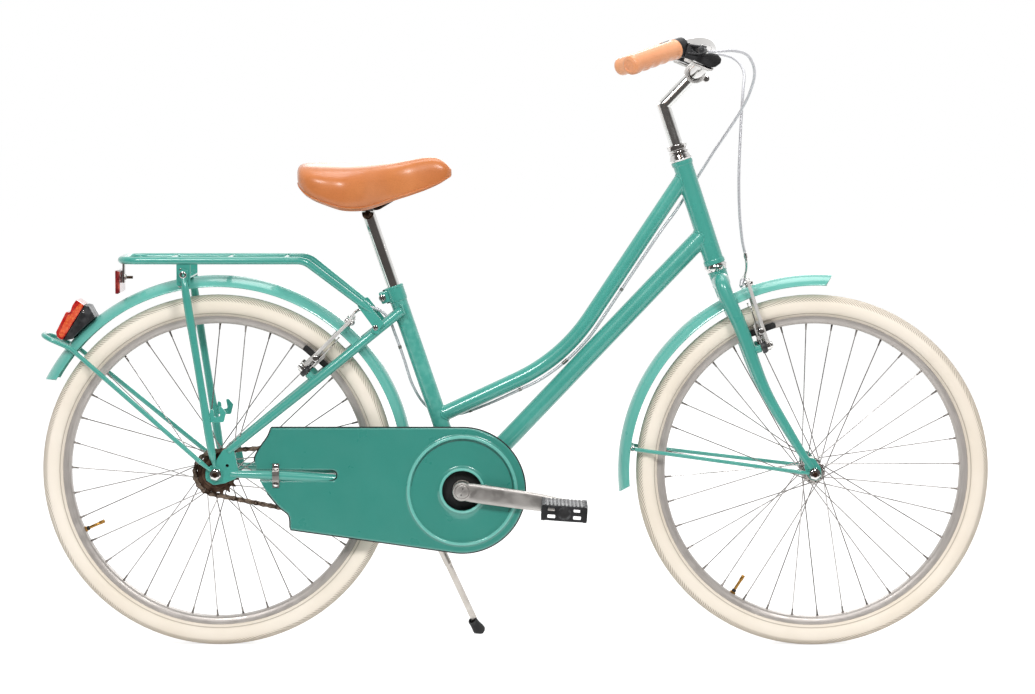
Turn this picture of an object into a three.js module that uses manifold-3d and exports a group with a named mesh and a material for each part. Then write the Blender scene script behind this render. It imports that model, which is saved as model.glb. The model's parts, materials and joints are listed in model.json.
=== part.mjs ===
// A step-through Dutch city bike: 24 inch wheels, V-brakes, closed chain case, rear rack and side stand.
// Millimetres: +X forward, +Y to the rider's left, +Z up, origin on the ground midway between the hubs.
import * as THREE from 'three';
import { mergeVertices } from 'three/addons/utils/BufferGeometryUtils.js';
import Module from 'manifold-3d';

const wasm = await Module();
wasm.setup();

// Driving dimensions

// Fits
const clearance = 0.3;
const weldTolerance = 1e-4;
const facetTolerance = 0.02;
const overrun = 5;

// Wheels
const wheelbase = 993;
const tyreRadius = 295;
const tyreHeight = 35.5;
const tyreWidth = 47;
const treadWidth = 26;
const rimDepth = 13;
const rimWidth = 25;
const rimWall = 2;
const rimFloorWidth = 16;
const spokeRadius = 0.9;
const spokeStaggerWidth = 1.3;
const rimStaggerWidth = 2;
const valveLength = 36;
const valveRadius = 3;
const hubFlangeThickness = 4.8;
const hubFlangeOffset = 34;
const hubCoreRadius = 13;

// Axles
const frontDropoutSpacing = 100;
const rearDropoutSpacing = 112;
const dropoutThickness = 5;
const axleRadius = 4.8;
const locknutRadius = 8;
const locknutLength = 5;
const axleNutRadius = 8.5;
const axleNutLength = 8;
const stayEyeThickness = 2;
const rackEyeThickness = 3;

// Frame tubes
const crankDrop = 27.9;
const crankToTyreGap = 114.4;
const shellRadius = 20;
const shellWidth = 68;
const shellWall = 3;
const seatTubeLength = 356;
const seatTubeRadius = 14.3;
const headTubeLength = 180;
const headTubeRadius = 16.5;
const headTubeWall = 2.5;
const downTubeRadius = 15.9;
const upperTubeRadius = 13;
const tubeWall = 1.5;
const upperTubeHeadDrop = 23;
const downTubeHeadRise = 53;
const upperTubeSeatRise = 125;
const upperTubeElbowReach = 270.9;
const upperTubeElbowRise = 27.1;
const upperTubeBendRadius = 300;

// Steering
const rakeLength = 47.8;
const forkHeadHeight = 85.4;
const steererRadius = 12.7;
const bladeTopRadius = 12.5;
const bladeTipRadius = 6.5;
const bladeTopSpread = 41;
const cupHeight = 12;
const cupRadius = 17.5;
const locknutStackHeight = 16;
const stemRadius = 11.1;
const stemInsertionLength = 70;
const stemRise = 68;
const stemReach = 66;
const stemReachRise = 35;
const barRadius = 11.1;
const barClampRadius = 17;
const barClampWidth = 36;

// Handlebar
const barHalfSpan = 272;
const barRise = 60;
const barSweep = 117;
const gripLength = 112;
const gripRadius = 15.5;

// Drive
const chainPitchLength = 12.7;
const chainringTeeth = 44;
const sprocketTeeth = 18;
const chainlineOffset = 43;
const chainInnerWidth = 4;
const chainPlateThickness = 2.4;
const chainPlateHeight = 8;
const rollerRadius = 3.8;
const sprocketThickness = 3;
const crankLength = 170;
const crankArmThickness = 12;
const crankArmPlane = 62;
const spindleRadius = 8;
const pedalLength = 76;
const pedalWidth = 90;
const pedalHeight = 27;
const restingCrankAngle = 8;

// Mudguards and rack
const rearMudguardGap = 32;
const frontMudguardGap = 30;
const mudguardWidth = 54;
const mudguardDepth = 17;
const mudguardThickness = 1.2;
const rackRadius = 6.25;
const rackHalfWidth = 60;
const rackRise = 27.1;
const rackTailLength = 156.5;
const rackDeckLength = 148.5;

// Saddle
const saddleLength = 254;
const saddleWidth = 200;
const saddleHeight = 88;
const saddleSetback = 115.1;
const saddleRise = 94.1;
const seatPostRadius = 11.1;
const seatPostRise = 128;
const seatPostInsertionLength = 90;

// Angles, degrees
const headAngle = 71.8;
const seatAngle = 71.1;
const kickstandTilt = 5;

// Counts
const wheelFacets = 36;
const spokeCount = 36;
const crossAngle = 60;
const tubeSides = 10;
const smallSides = 8;
const wireSides = 6;

// Colours and finishes
const paint = new THREE.MeshStandardMaterial({ color: 0x4ba894, roughness: 0.25, metalness: 0.1 });
const chrome = new THREE.MeshStandardMaterial({ color: 0xd8d8d8, roughness: 0.1, metalness: 1 });
const alloy = new THREE.MeshStandardMaterial({ color: 0xa9a49e, roughness: 0.35, metalness: 1 });
const tyreRubber = new THREE.MeshStandardMaterial({ color: 0xf0e1cd, roughness: 0.8, metalness: 0 });
const tanLeather = new THREE.MeshStandardMaterial({ color: 0xdc874b, roughness: 0.45, metalness: 0 });
const blackPlastic = new THREE.MeshStandardMaterial({ color: 0x1c1c1e, roughness: 0.5, metalness: 0 });
const chainSteel = new THREE.MeshStandardMaterial({ color: 0x4a3d33, roughness: 0.5, metalness: 0.8 });
const redLens = new THREE.MeshStandardMaterial({ color: 0xd8201c, roughness: 0.15, metalness: 0 });
const cableHousing = new THREE.MeshStandardMaterial({ color: 0xdcdcdc, roughness: 0.4, metalness: 0.1 });

// Vectors and angles
const at = (x, y, z) => new THREE.Vector3(x, y, z);
const sideways = at(0, 1, 0);
const radians = THREE.MathUtils.degToRad;
const along = (from, direction, distance) => from.clone().addScaledVector(direction, distance);
const between = (from, to, share) => from.clone().lerp(to, share);
const flipped = (point) => at(point.x, -point.y, point.z);
// The corner radius that keeps a polygonal bore clear of a shaft.
const boreAround = (shaftRadius, sides) => (shaftRadius + clearance) / Math.cos(Math.PI / sides);

// Solids

// A closed geometry as a solid, turned so that its faces point outwards.
function solid(geometry) {
  const bare = geometry.clone();
  bare.deleteAttribute('normal');
  bare.deleteAttribute('uv');
  const merged = mergeVertices(bare, weldTolerance);
  const corners = merged.index.array;
  const triangles = [];
  for (let i = 0; i < corners.length; i += 3) {
    const [a, b, c] = [corners[i], corners[i + 1], corners[i + 2]];
    if (a !== b && b !== c && c !== a) triangles.push([a, b, c]);
  }
  const make = (faces) => new wasm.Manifold(new wasm.Mesh({
    numProp: 3,
    vertProperties: new Float32Array(merged.attributes.position.array),
    triVerts: new Uint32Array(faces.flat()),
  }));
  const made = make(triangles);
  return made.volume() < 0 ? make(triangles.map(([a, b, c]) => [a, c, b])) : made;
}

function geometryOf(made) {
  const mesh = made.asOriginal().simplify(facetTolerance).getMesh();
  const geometry = new THREE.BufferGeometry();
  geometry.setAttribute('position', new THREE.BufferAttribute(new Float32Array(mesh.vertProperties), 3));
  geometry.setIndex(new THREE.BufferAttribute(new Uint32Array(mesh.triVerts), 1));
  const faceted = geometry.toNonIndexed();
  faceted.computeVertexNormals();
  return faceted;
}

const joined = (...solids) => solids.flat().reduce((whole, next) => whole.add(next));
const cutBy = (whole, ...tools) => tools.flat().reduce((left, tool) => left.subtract(tool), whole);

function placed(geometry, origin, zAxis, xAxis) {
  const z = zAxis.clone().normalize();
  const y = z.clone().cross(xAxis).normalize();
  const x = y.clone().cross(z);
  return solid(geometry.clone().applyMatrix4(new THREE.Matrix4().makeBasis(x, y, z).setPosition(origin)));
}

const mirrored = (made) => solid(geometryOf(made).applyMatrix4(new THREE.Matrix4().makeScale(1, -1, 1)));

// A turned piece: the profile is a list of [radius, distance along the axis].
function turned(profile, from, direction, sides) {
  const points = profile.map(([radius, distance]) => new THREE.Vector2(radius, distance));
  const lathe = new THREE.LatheGeometry(points, sides, Math.PI / sides);
  const turn = new THREE.Quaternion().setFromUnitVectors(sideways, direction.clone().normalize());
  return solid(lathe.applyQuaternion(turn).translate(from.x, from.y, from.z));
}

function rod(from, to, radius, sides = smallSides, endRadius = radius) {
  const length = from.distanceTo(to);
  return turned([[0, 0], [radius, 0], [endRadius, length], [0, length]], from, to.clone().sub(from), sides);
}

function pipe(from, to, radius, wall, sides = tubeSides) {
  const length = from.distanceTo(to);
  const bore = radius - wall;
  const profile = [[bore, 0], [radius, 0], [radius, length], [bore, length], [bore, 0]];
  return turned(profile, from, to.clone().sub(from), sides);
}

// A path through given stations, with a ring at each of them.
class Route extends THREE.Curve {
  constructor(stations) {
    super();
    this.stations = stations;
    this.steps = stations.length - 1;
  }

  getPoint(share) {
    const step = Math.min(Math.floor(share * this.steps), this.steps - 1);
    return between(this.stations[step], this.stations[step + 1], share * this.steps - step);
  }

  getPointAt(share) {
    return this.getPoint(share);
  }

  getTangent(share) {
    const step = Math.round(share * this.steps);
    const here = this.stations[step];
    const arriving = here.clone().sub(this.stations[Math.max(step - 1, 0)]).normalize();
    const leaving = this.stations[Math.min(step + 1, this.steps)].clone().sub(here).normalize();
    return arriving.add(leaving).normalize();
  }

  getTangentAt(share) {
    return this.getTangent(share);
  }
}

// Stations of a path whose corners are rounded; the steps are those of a right angle.
function rounded(points, bendRadius, bendSteps) {
  const stations = [points[0]];
  for (let i = 1; i < points.length - 1; i++) {
    const [before, corner, after] = [points[i - 1], points[i], points[i + 1]];
    const arriving = corner.clone().sub(before).normalize();
    const leaving = after.clone().sub(corner).normalize();
    const turn = arriving.angleTo(leaving);
    const run = bendRadius * Math.tan(turn / 2);
    const steps = Math.max(1, Math.round(bendSteps * turn * 2 / Math.PI));
    const [start, end] = [along(corner, arriving, -run), along(corner, leaving, run)];
    const bend = new THREE.QuadraticBezierCurve3(start, corner, end);
    stations.push(...bend.getPoints(steps));
  }
  stations.push(points[points.length - 1]);
  return stations;
}

const smooth = (points, steps) => new THREE.CatmullRomCurve3(points, false, 'centripetal').getPoints(steps);

// A tube of one size along its stations.
function bent(stations, radius, sides = smallSides, bore = 0) {
  const section = new THREE.Shape().absarc(0, 0, radius, 0, 2 * Math.PI);
  if (bore) section.holes.push(new THREE.Path().absarc(0, 0, bore, 0, 2 * Math.PI));
  const route = new Route(stations);
  const extrusion = { extrudePath: route, steps: route.steps, curveSegments: sides / 2, bevelEnabled: false };
  return solid(new THREE.ExtrudeGeometry(section, extrusion));
}

// A closed solid through a row of matching outlines, with flat ends.
function loft(rings) {
  const count = rings[0].length;
  const positions = rings.flat().flatMap((point) => [point.x, point.y, point.z]);
  const faces = [];
  for (let ring = 0; ring < rings.length - 1; ring++) {
    for (let i = 0; i < count; i++) {
      const [a, b] = [ring * count + i, ring * count + ((i + 1) % count)];
      faces.push([a, b, b + count], [a, b + count, a + count]);
    }
  }
  for (const [ring, reversed] of [[0, true], [rings.length - 1, false]]) {
    for (const [a, b, c] of endFaces(rings[ring])) {
      const face = [a, b, c].map((i) => i + ring * count);
      faces.push(reversed ? face.reverse() : face);
    }
  }
  const geometry = new THREE.BufferGeometry();
  geometry.setAttribute('position', new THREE.Float32BufferAttribute(positions, 3));
  geometry.setIndex(faces.flat());
  return solid(geometry);
}

// The triangles that close a flat outline, turning the same way round as it does.
function endFaces(outline) {
  const normal = at(0, 0, 0);
  outline.forEach((point, i) => normal.add(point.clone().cross(outline[(i + 1) % outline.length])));
  normal.normalize();
  const across = outline[1].clone().sub(outline[0]).normalize();
  const up = normal.clone().cross(across);
  const flat = outline.map((point) => new THREE.Vector2(point.dot(across), point.dot(up)));
  return THREE.ShapeUtils.triangulateShape(flat, []).map(([a, b, c]) => {
    const turn = flat[b].clone().sub(flat[a]).cross(flat[c].clone().sub(flat[a]));
    return turn > 0 ? [a, b, c] : [a, c, b];
  });
}

// A round tube whose radius changes along its stations.
function tapered(stations, radii, sides = smallSides) {
  const route = new Route(stations);
  const frames = route.computeFrenetFrames(route.steps, false);
  return loft(stations.map((centre, i) => Array.from({ length: sides }, (_, side) => {
    const angle = (2 * Math.PI * side) / sides;
    const wide = along(centre, frames.normals[i], radii[i] * Math.cos(angle));
    return along(wide, frames.binormals[i], radii[i] * Math.sin(angle));
  })));
}

// A plate with an outline in the X-Z plane, from one Y to another.
function plate(outline, from, to, holes = []) {
  const shape = new THREE.Shape(outline.map(([x, z]) => new THREE.Vector2(x, z)));
  shape.holes.push(...holes);
  const extrusion = { depth: Math.abs(to - from), bevelEnabled: false, curveSegments: tubeSides / 2 };
  const geometry = new THREE.ExtrudeGeometry(shape, extrusion);
  return solid(geometry.rotateX(Math.PI / 2).translate(0, Math.max(from, to), 0));
}

const hole = (x, z, radius) => new THREE.Path().absarc(x, z, radius, 0, 2 * Math.PI);

// How far along a line, as a share of it, a point lies at a given distance from a centre.
function shareAtDistance(from, to, centre, distance) {
  const run = to.clone().sub(from);
  const start = from.clone().sub(centre);
  const half = run.dot(start) / run.lengthSq();
  return Math.sqrt(half ** 2 + (distance ** 2 - start.lengthSq()) / run.lengthSq()) - half;
}

function block(centre, size) {
  return solid(new THREE.BoxGeometry(size.x, size.y, size.z).translate(centre.x, centre.y, centre.z));
}

const group = new THREE.Group();

function add(name, made, material) {
  const mesh = new THREE.Mesh(made instanceof THREE.BufferGeometry ? made : geometryOf(made), material);
  mesh.name = name;
  group.add(mesh);
  return mesh;
}

// Main places

const rimRadius = tyreRadius - tyreHeight;
const rearMudguardRadius = tyreRadius + rearMudguardGap;
const frontMudguardRadius = tyreRadius + frontMudguardGap;
const forkLength = tyreRadius + forkHeadHeight;
const wheelHeight = tyreRadius * Math.cos(Math.PI / wheelFacets);
const crankHeight = wheelHeight - crankDrop;
const rearHub = at(-wheelbase / 2, 0, wheelHeight);
const frontHub = at(wheelbase / 2, 0, wheelHeight);

const pitchRadius = (teeth) => chainPitchLength / (2 * Math.sin(Math.PI / teeth));
const chainringRadius = pitchRadius(chainringTeeth);
const sprocketRadius = pitchRadius(sprocketTeeth);
// The even count of links that puts the crank axle nearest to its place ahead of the tyre.
const chainLinks = 2 * Math.round(
  (tyreRadius + crankToTyreGap) / chainPitchLength + (chainringTeeth + sprocketTeeth) / 4,
);
const chainRun = solveChainRun();
const crankAxle = at(rearHub.x + Math.sqrt(chainRun.centres ** 2 - crankDrop ** 2), 0, crankHeight);

// The distance between the axles at which the chain closes on its count of links.
function solveChainRun() {
  let centres = chainPitchLength * chainLinks / 2;
  let wrap = 0;
  let span = 0;
  for (let pass = 0; pass < 40; pass++) {
    wrap = Math.asin((chainringRadius - sprocketRadius) / centres);
    const wrapped = (0.5 + wrap / Math.PI) * chainringTeeth + (0.5 - wrap / Math.PI) * sprocketTeeth;
    span = chainPitchLength * (chainLinks - wrapped) / 2;
    centres = Math.hypot(span, chainringRadius - sprocketRadius);
  }
  return { centres, wrap, span };
}

// Steering frame: u runs forward, square to the steering axis, and w up along it from the rake's foot.
const steerUp = at(-Math.cos(radians(headAngle)), 0, Math.sin(radians(headAngle)));
const steerForward = at(Math.sin(radians(headAngle)), 0, Math.cos(radians(headAngle)));
const steerFoot = along(frontHub, steerForward, -rakeLength);
const onSteering = (u, y, w) => along(along(steerFoot, steerForward, u), steerUp, w).setY(y);
const headBottom = onSteering(0, 0, forkLength);
const headTop = onSteering(0, 0, forkLength + headTubeLength);

const seatUp = at(-Math.cos(radians(seatAngle)), 0, Math.sin(radians(seatAngle)));
const seatTubeTop = along(crankAxle, seatUp, seatTubeLength);

// A point beside a wheel, at an angle from forward towards up.
function onWheel(hub, angle, radius, y) {
  return at(hub.x + radius * Math.cos(angle), y, hub.z + radius * Math.sin(angle));
}

// Wheels

const rimInnerRadius = rimRadius - rimDepth;
const beadHeight = 6;
const rimHalf = rimWidth / 2;
const rimFloorRadius = rimInnerRadius + rimWall * 2;
// Half the gap between the rim's walls, which lean in towards its floor.
const rimInnerHalf = (radius) => THREE.MathUtils.mapLinear(
  radius,
  rimFloorRadius,
  rimRadius,
  rimFloorWidth / 2 - rimWall,
  rimHalf - rimWall,
);

function tyre() {
  const bead = rimRadius - beadHeight + clearance;
  const belly = rimRadius + 0.48 * (tyreRadius - rimRadius);
  const outside = [
    [bead, rimInnerHalf(bead) - 2 * clearance],
    [rimRadius + clearance, rimInnerHalf(rimRadius) - clearance],
    [belly, tyreWidth / 2],
    [tyreRadius, treadWidth / 2],
  ];
  const profile = [...outside, ...outside.toReversed().map(([radius, y]) => [radius, -y]), outside[0]];
  return turned(profile, at(0, 0, 0), sideways, wheelFacets);
}

function rim(valveAngle) {
  const half = [
    [rimFloorRadius, rimInnerHalf(rimFloorRadius)],
    [rimRadius, rimInnerHalf(rimRadius)],
    [rimRadius, rimHalf],
    [rimInnerRadius, rimFloorWidth / 2],
  ];
  const profile = [...half, ...half.toReversed().map(([radius, y]) => [radius, -y]), half[0]];
  const ring = turned(profile, at(0, 0, 0), sideways, wheelFacets);
  const centre = at(0, 0, 0);
  const valveRoot = onWheel(centre, valveAngle, rimInnerRadius + rimWall, 0);
  const valveTip = onWheel(centre, valveAngle, rimInnerRadius - valveLength, 0);
  return joined(ring, rod(valveRoot, valveTip, valveRadius, wireSides));
}

// A hub with its flanges, and the spokes laced to them: half lead, half trail, each across three others.
function lacedHub(hub, valveAngle) {
  const flange = (side, face) => side * hubFlangeOffset + face * hubFlangeThickness / 2;
  const bore = boreAround(axleRadius, tubeSides);
  const profile = [
    [bore, hub.right],
    [hub.rightRadius, hub.right],
    [hub.rightRadius, flange(-1, -1)],
    [hub.flangeRadius, flange(-1, -1)],
    [hub.flangeRadius, flange(-1, 1)],
    [hubCoreRadius, flange(-1, 1)],
    [hubCoreRadius, flange(1, -1)],
    [hub.flangeRadius, flange(1, -1)],
    [hub.flangeRadius, flange(1, 1)],
    [hub.leftRadius, flange(1, 1)],
    [hub.leftRadius, hub.left],
    [bore, hub.left],
    [bore, hub.right],
  ];
  const centre = at(0, 0, 0);
  const spokes = [];
  const spokeEnd = rimInnerRadius * Math.cos(Math.PI / wheelFacets) - clearance;
  const spokeStep = (2 * Math.PI) / spokeCount;
  for (const side of [-1, 1]) {
    for (let i = 0; i < spokeCount / 2; i++) {
      const lead = i % 2 ? -1 : 1;
      const turn = valveAngle + spokeStep * (2 * i + (side > 0 ? 1.5 : 0.5));
      const hubY = side * hubFlangeOffset + lead * spokeStaggerWidth;
      const hubEnd = onWheel(centre, turn, hub.spokeHoleRadius, hubY);
      const rimEnd = onWheel(centre, turn + lead * radians(crossAngle), spokeEnd, side * rimStaggerWidth);
      spokes.push(rod(hubEnd, rimEnd, spokeRadius, 3));
    }
  }
  return joined(turned(profile, centre, sideways, tubeSides), spokes);
}

// An axle with its inner locknuts and outer nuts, which grip what lies between them on each side.
function axle(spacing, gripRight, gripLeft) {
  const inner = spacing / 2 - clearance;
  const side = (grip) => {
    const nut = spacing / 2 + grip + clearance;
    return [
      [axleRadius, inner - locknutLength],
      [locknutRadius, inner - locknutLength],
      [locknutRadius, inner],
      [axleRadius, inner],
      [axleRadius, nut],
      [axleNutRadius, nut],
      [axleNutRadius, nut + axleNutLength],
      [axleRadius, nut + axleNutLength],
      [axleRadius, nut + axleNutLength + axleRadius],
      [0, nut + axleNutLength + axleRadius],
    ];
  };
  const right = side(gripRight).toReversed().map(([radius, y]) => [radius, -y]);
  return turned([...right, ...side(gripLeft)], at(0, 0, 0), sideways, wireSides);
}

const frontValveAngle = radians(237.6);
const rearValveAngle = radians(204.1);
const frontGrip = dropoutThickness + stayEyeThickness + clearance;
const rearGrip = dropoutThickness + rackEyeThickness + stayEyeThickness + 2 * clearance;
const freewheelSeatRadius = 12;
const hubEndInset = locknutLength + 2 * clearance;

const frontHubSpec = {
  flangeRadius: 19,
  spokeHoleRadius: 16,
  leftRadius: hubCoreRadius,
  rightRadius: hubCoreRadius,
  left: frontDropoutSpacing / 2 - hubEndInset,
  right: hubEndInset - frontDropoutSpacing / 2,
};
const rearHubSpec = {
  flangeRadius: 24,
  spokeHoleRadius: 21,
  leftRadius: hubCoreRadius,
  rightRadius: freewheelSeatRadius,
  left: rearDropoutSpacing / 2 - hubEndInset,
  right: hubEndInset - rearDropoutSpacing / 2,
};

add('rear_tyre', tyre(), tyreRubber).position.copy(rearHub);
add('rear_rim', rim(rearValveAngle), alloy).position.copy(rearHub);
add('rear_hub', lacedHub(rearHubSpec, rearValveAngle), chrome).position.copy(rearHub);
add('rear_axle', axle(rearDropoutSpacing, rearGrip, rearGrip), chrome).position.copy(rearHub);
add('front_tyre', tyre(), tyreRubber).position.copy(frontHub);
add('front_rim', rim(frontValveAngle), alloy).position.copy(frontHub);
add('front_hub', lacedHub(frontHubSpec, frontValveAngle), chrome).position.copy(frontHub);
add('front_axle', axle(frontDropoutSpacing, frontGrip, frontGrip), chrome).position.copy(frontHub);

// Main frame

const headTube = pipe(headBottom, headTop, headTubeRadius, headTubeWall, 2 * smallSides);
const envelope = (from, to, radius) => rod(from, to, boreAround(radius, 2 * smallSides), 2 * smallSides);
const headEnvelope = envelope(onSteering(0, 0, 0), along(headTop, steerUp, headTubeLength), headTubeRadius);
const shellEnvelope = envelope(
  along(crankAxle, sideways, -shellWidth),
  along(crankAxle, sideways, shellWidth),
  shellRadius,
);
const seatEnvelope = envelope(crankAxle, along(seatTubeTop, seatUp, seatTubeLength), seatTubeRadius);
const onHeadTube = (rise) => along(headBottom, steerUp, rise);

const downTubeHead = onHeadTube(downTubeHeadRise);
const downTube = cutBy(
  pipe(crankAxle, downTubeHead, downTubeRadius, tubeWall),
  headEnvelope,
  shellEnvelope,
  seatEnvelope,
);

const upperTubeHead = onHeadTube(headTubeLength - upperTubeHeadDrop);
// The elbow keeps its place beside the down tube.
const downTubeRun = downTubeHead.clone().sub(crankAxle).normalize();
const downTubeUp = downTubeRun.clone().cross(sideways);
const upperTubeElbow = along(along(crankAxle, downTubeRun, upperTubeElbowReach), downTubeUp, upperTubeElbowRise);
const upperTubeFoot = along(crankAxle, seatUp, upperTubeSeatRise);
const upperTubeStations = rounded([upperTubeHead, upperTubeElbow, upperTubeFoot], upperTubeBendRadius, 16);
const upperTube = cutBy(
  bent(upperTubeStations, upperTubeRadius, tubeSides),
  headEnvelope,
  seatEnvelope,
);

const clampBoltRadius = 3;
const clampEarLength = 16;
const clampEarWidth = 9;
const clampEarHeight = 20;
const clampSlot = 3;
const clampBoltSetback = 23.6;
const clampBoltDrop = 13;
const seatBack = at(-seatUp.z, 0, seatUp.x);
const clampBolt = along(along(seatTubeTop, seatUp, -clampBoltDrop), seatBack, clampBoltSetback);

// The seat tube, with the slotted and eared lug that clamps the seat post.
function seatTube() {
  const lugBottom = along(seatTubeTop, seatUp, -clampEarHeight - clampBoltRadius);
  const lug = rod(lugBottom, seatTubeTop, seatTubeRadius + tubeWall, tubeSides);
  const ears = placed(
    new THREE.BoxGeometry(clampEarLength, 2 * clampEarWidth, clampEarHeight),
    between(clampBolt, along(seatTubeTop, seatUp, -clampBoltDrop), 0.2),
    seatUp,
    at(1, 0, 0),
  );
  const slot = placed(
    new THREE.BoxGeometry(2 * clampBoltSetback, clampSlot, 2 * clampEarHeight),
    clampBolt,
    seatUp,
    at(1, 0, 0),
  );
  const boltHole = rod(
    along(clampBolt, sideways, -shellWidth),
    along(clampBolt, sideways, shellWidth),
    boreAround(clampBoltRadius, smallSides),
  );
  const postBore = rod(
    crankAxle,
    along(seatTubeTop, seatUp, overrun),
    boreAround(seatPostRadius, tubeSides),
    tubeSides,
  );
  const outside = joined(rod(crankAxle, seatTubeTop, seatTubeRadius, tubeSides), lug, ears);
  return cutBy(outside, postBore, shellEnvelope, slot, boltHole);
}

// The bolt through the lug's ears, with a round head at each end.
function seatClampBolt() {
  const headRadius = 5;
  const headLength = 5;
  const reach = clampEarWidth + clearance;
  const half = [
    [clampBoltRadius, reach],
    [headRadius, reach],
    [headRadius, reach + headLength],
    [0, reach + headLength],
  ];
  const profile = [...half.toReversed().map(([radius, y]) => [radius, -y]), ...half];
  return turned(profile, clampBolt, sideways, wireSides);
}

// The bottom bracket shell, with a bearing cup closing each end around the spindle.
function bottomBracketShell() {
  const cupDepth = 12;
  const half = shellWidth / 2;
  const wide = shellRadius - shellWall;
  const bore = boreAround(spindleRadius, tubeSides);
  const profile = [
    [bore, -half],
    [shellRadius, -half],
    [shellRadius, half],
    [bore, half],
    [bore, half - cupDepth],
    [wide, half - cupDepth],
    [wide, cupDepth - half],
    [bore, cupDepth - half],
    [bore, -half],
  ];
  return turned(profile, crankAxle, sideways, tubeSides);
}

add('head_tube', headTube, paint);
add('upper_tube', upperTube, paint);
add('down_tube', downTube, paint);
add('seat_tube', seatTube(), paint);
add('seat_clamp_bolt', seatClampBolt(), chrome);
add('bottom_bracket_shell', bottomBracketShell(), paint);

// Rear triangle

const stayRadius = 8;
const stayTipRadius = 6;
const chainStayWaistRadius = 7;
const rearDropoutPlane = rearDropoutSpacing / 2 + dropoutThickness / 2;
const dropoutReach = 34;
const bridgeRadius = 6;
const bridgeGap = 23.5;
const bossRadius = 5;
const brakePivotRise = 27;
const brakeTrackRadius = rimRadius - rimDepth / 2;

// Places along the stays, from the rear hub to the bottom bracket or the seat tube.
const chainStay = [
  at(rearHub.x + dropoutReach * 0.75, rearDropoutPlane - stayTipRadius * 0.2, wheelHeight),
  at(
    rearHub.x + 0.25 * chainRun.centres,
    rearDropoutPlane - stayTipRadius * 0.3,
    wheelHeight - 0.1 * crankDrop,
  ),
  at(rearHub.x + 0.5 * chainRun.centres, shellWidth * 0.66, wheelHeight - 0.36 * crankDrop),
  at(rearHub.x + 0.66 * chainRun.centres, shellWidth * 0.5, wheelHeight - 0.55 * crankDrop),
  at(rearHub.x + 0.79 * chainRun.centres, shellWidth * 0.47, wheelHeight - 0.75 * crankDrop),
  at(rearHub.x + 0.96 * chainRun.centres, shellWidth * 0.36, wheelHeight - crankDrop),
];
const chainStayRadii = [
  stayTipRadius,
  stayRadius,
  stayRadius,
  chainStayWaistRadius,
  chainStayWaistRadius,
  stayRadius,
];
const seatStayFoot = at(rearHub.x + 0.63 * dropoutReach, 0, wheelHeight + 1.12 * dropoutReach);
const seatStayHead = along(crankAxle, seatUp, seatTubeLength * 0.88);
const onSeatStay = (share, spread) => between(seatStayFoot, seatStayHead, share).setY(spread);
const seatStayTopSpread = seatTubeRadius + stayRadius - 2 * clearance;
const seatStay = [
  onSeatStay(0, rearDropoutPlane - stayTipRadius * 0.2),
  onSeatStay(0.5, seatStayTopSpread * 2.2),
  onSeatStay(0.78, seatStayTopSpread * 1.72),
  onSeatStay(0.9, seatStayTopSpread * 1.3),
  onSeatStay(1, seatStayTopSpread),
];
const seatStayRadii = [stayTipRadius, stayRadius, stayRadius, stayRadius, stayRadius];

// The place on a stay at a given X.
function stayAt(stay, x) {
  const end = stay.findIndex((place, i) => i > 0 && (x <= place.x || i === stay.length - 1));
  const [a, b] = [stay[end - 1], stay[end]];
  return between(a, b, (x - a.x) / (b.x - a.x));
}

const chainStayAt = (x) => stayAt(chainStay, x);
const onStay = (stay, share) => stayAt(stay, THREE.MathUtils.lerp(stay[0].x, stay[stay.length - 1].x, share));
const chainStayShare = (share) => onStay(chainStay, share);
const seatStayShare = (share) => onStay(seatStay, share);
// The upper bridge passes just above the mudguard.
const bridgeDistance = rearMudguardRadius + bridgeRadius + bridgeGap;
const upperBridgeShare = shareAtDistance(seatStayFoot, seatStayHead, rearHub, bridgeDistance);

function rearDropout() {
  const shares = [
    [-0.5, -0.3],
    [-0.1, -0.55],
    [0.45, -0.45],
    [1.05, -0.2],
    [1.1, 0.2],
    [0.9, 1.2],
    [0.4, 1.25],
    [-0.1, 0.5],
    [-0.5, 0.25],
  ];
  const outline = shares.map(([x, z]) => [rearHub.x + x * dropoutReach, rearHub.z + z * dropoutReach]);
  const axleHole = hole(rearHub.x, rearHub.z, boreAround(axleRadius, tubeSides));
  return plate(outline, rearDropoutSpacing / 2, rearDropoutSpacing / 2 + dropoutThickness, [axleHole]);
}

// V-brakes: the pivot lies on the stay or blade, inside the rim's braking track.
const brakeArmLength = 115;
const brakeArmPlane = 26;
const bossLength = 22;
const brakePivotSpread = 43;
const brakePivotDistance = brakeTrackRadius - brakePivotRise;
const rearBrakeLean = radians(5.5);
const seatStayRun = seatStayHead.clone().sub(seatStayFoot);
const rearBrakeTilt = Math.atan2(seatStayRun.z, seatStayRun.x) + rearBrakeLean;
const rearBrakeUp = at(Math.cos(rearBrakeTilt), 0, Math.sin(rearBrakeTilt));
const rearBrakeOut = at(-Math.sin(rearBrakeTilt), 0, Math.cos(rearBrakeTilt));
const besideStay = (point) => along(point, rearBrakeOut, brakeArmPlane);
const rearBrakePivot = between(
  besideStay(seatStayFoot),
  besideStay(seatStayHead),
  shareAtDistance(besideStay(seatStayFoot), besideStay(seatStayHead), rearHub, brakePivotDistance),
);
const frontBrakeForward = 36.7;
const frontBrakeRise = Math.sqrt(brakePivotDistance ** 2 - (rakeLength - frontBrakeForward) ** 2);
const frontBrakePivot = onSteering(frontBrakeForward, 0, frontBrakeRise);

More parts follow.
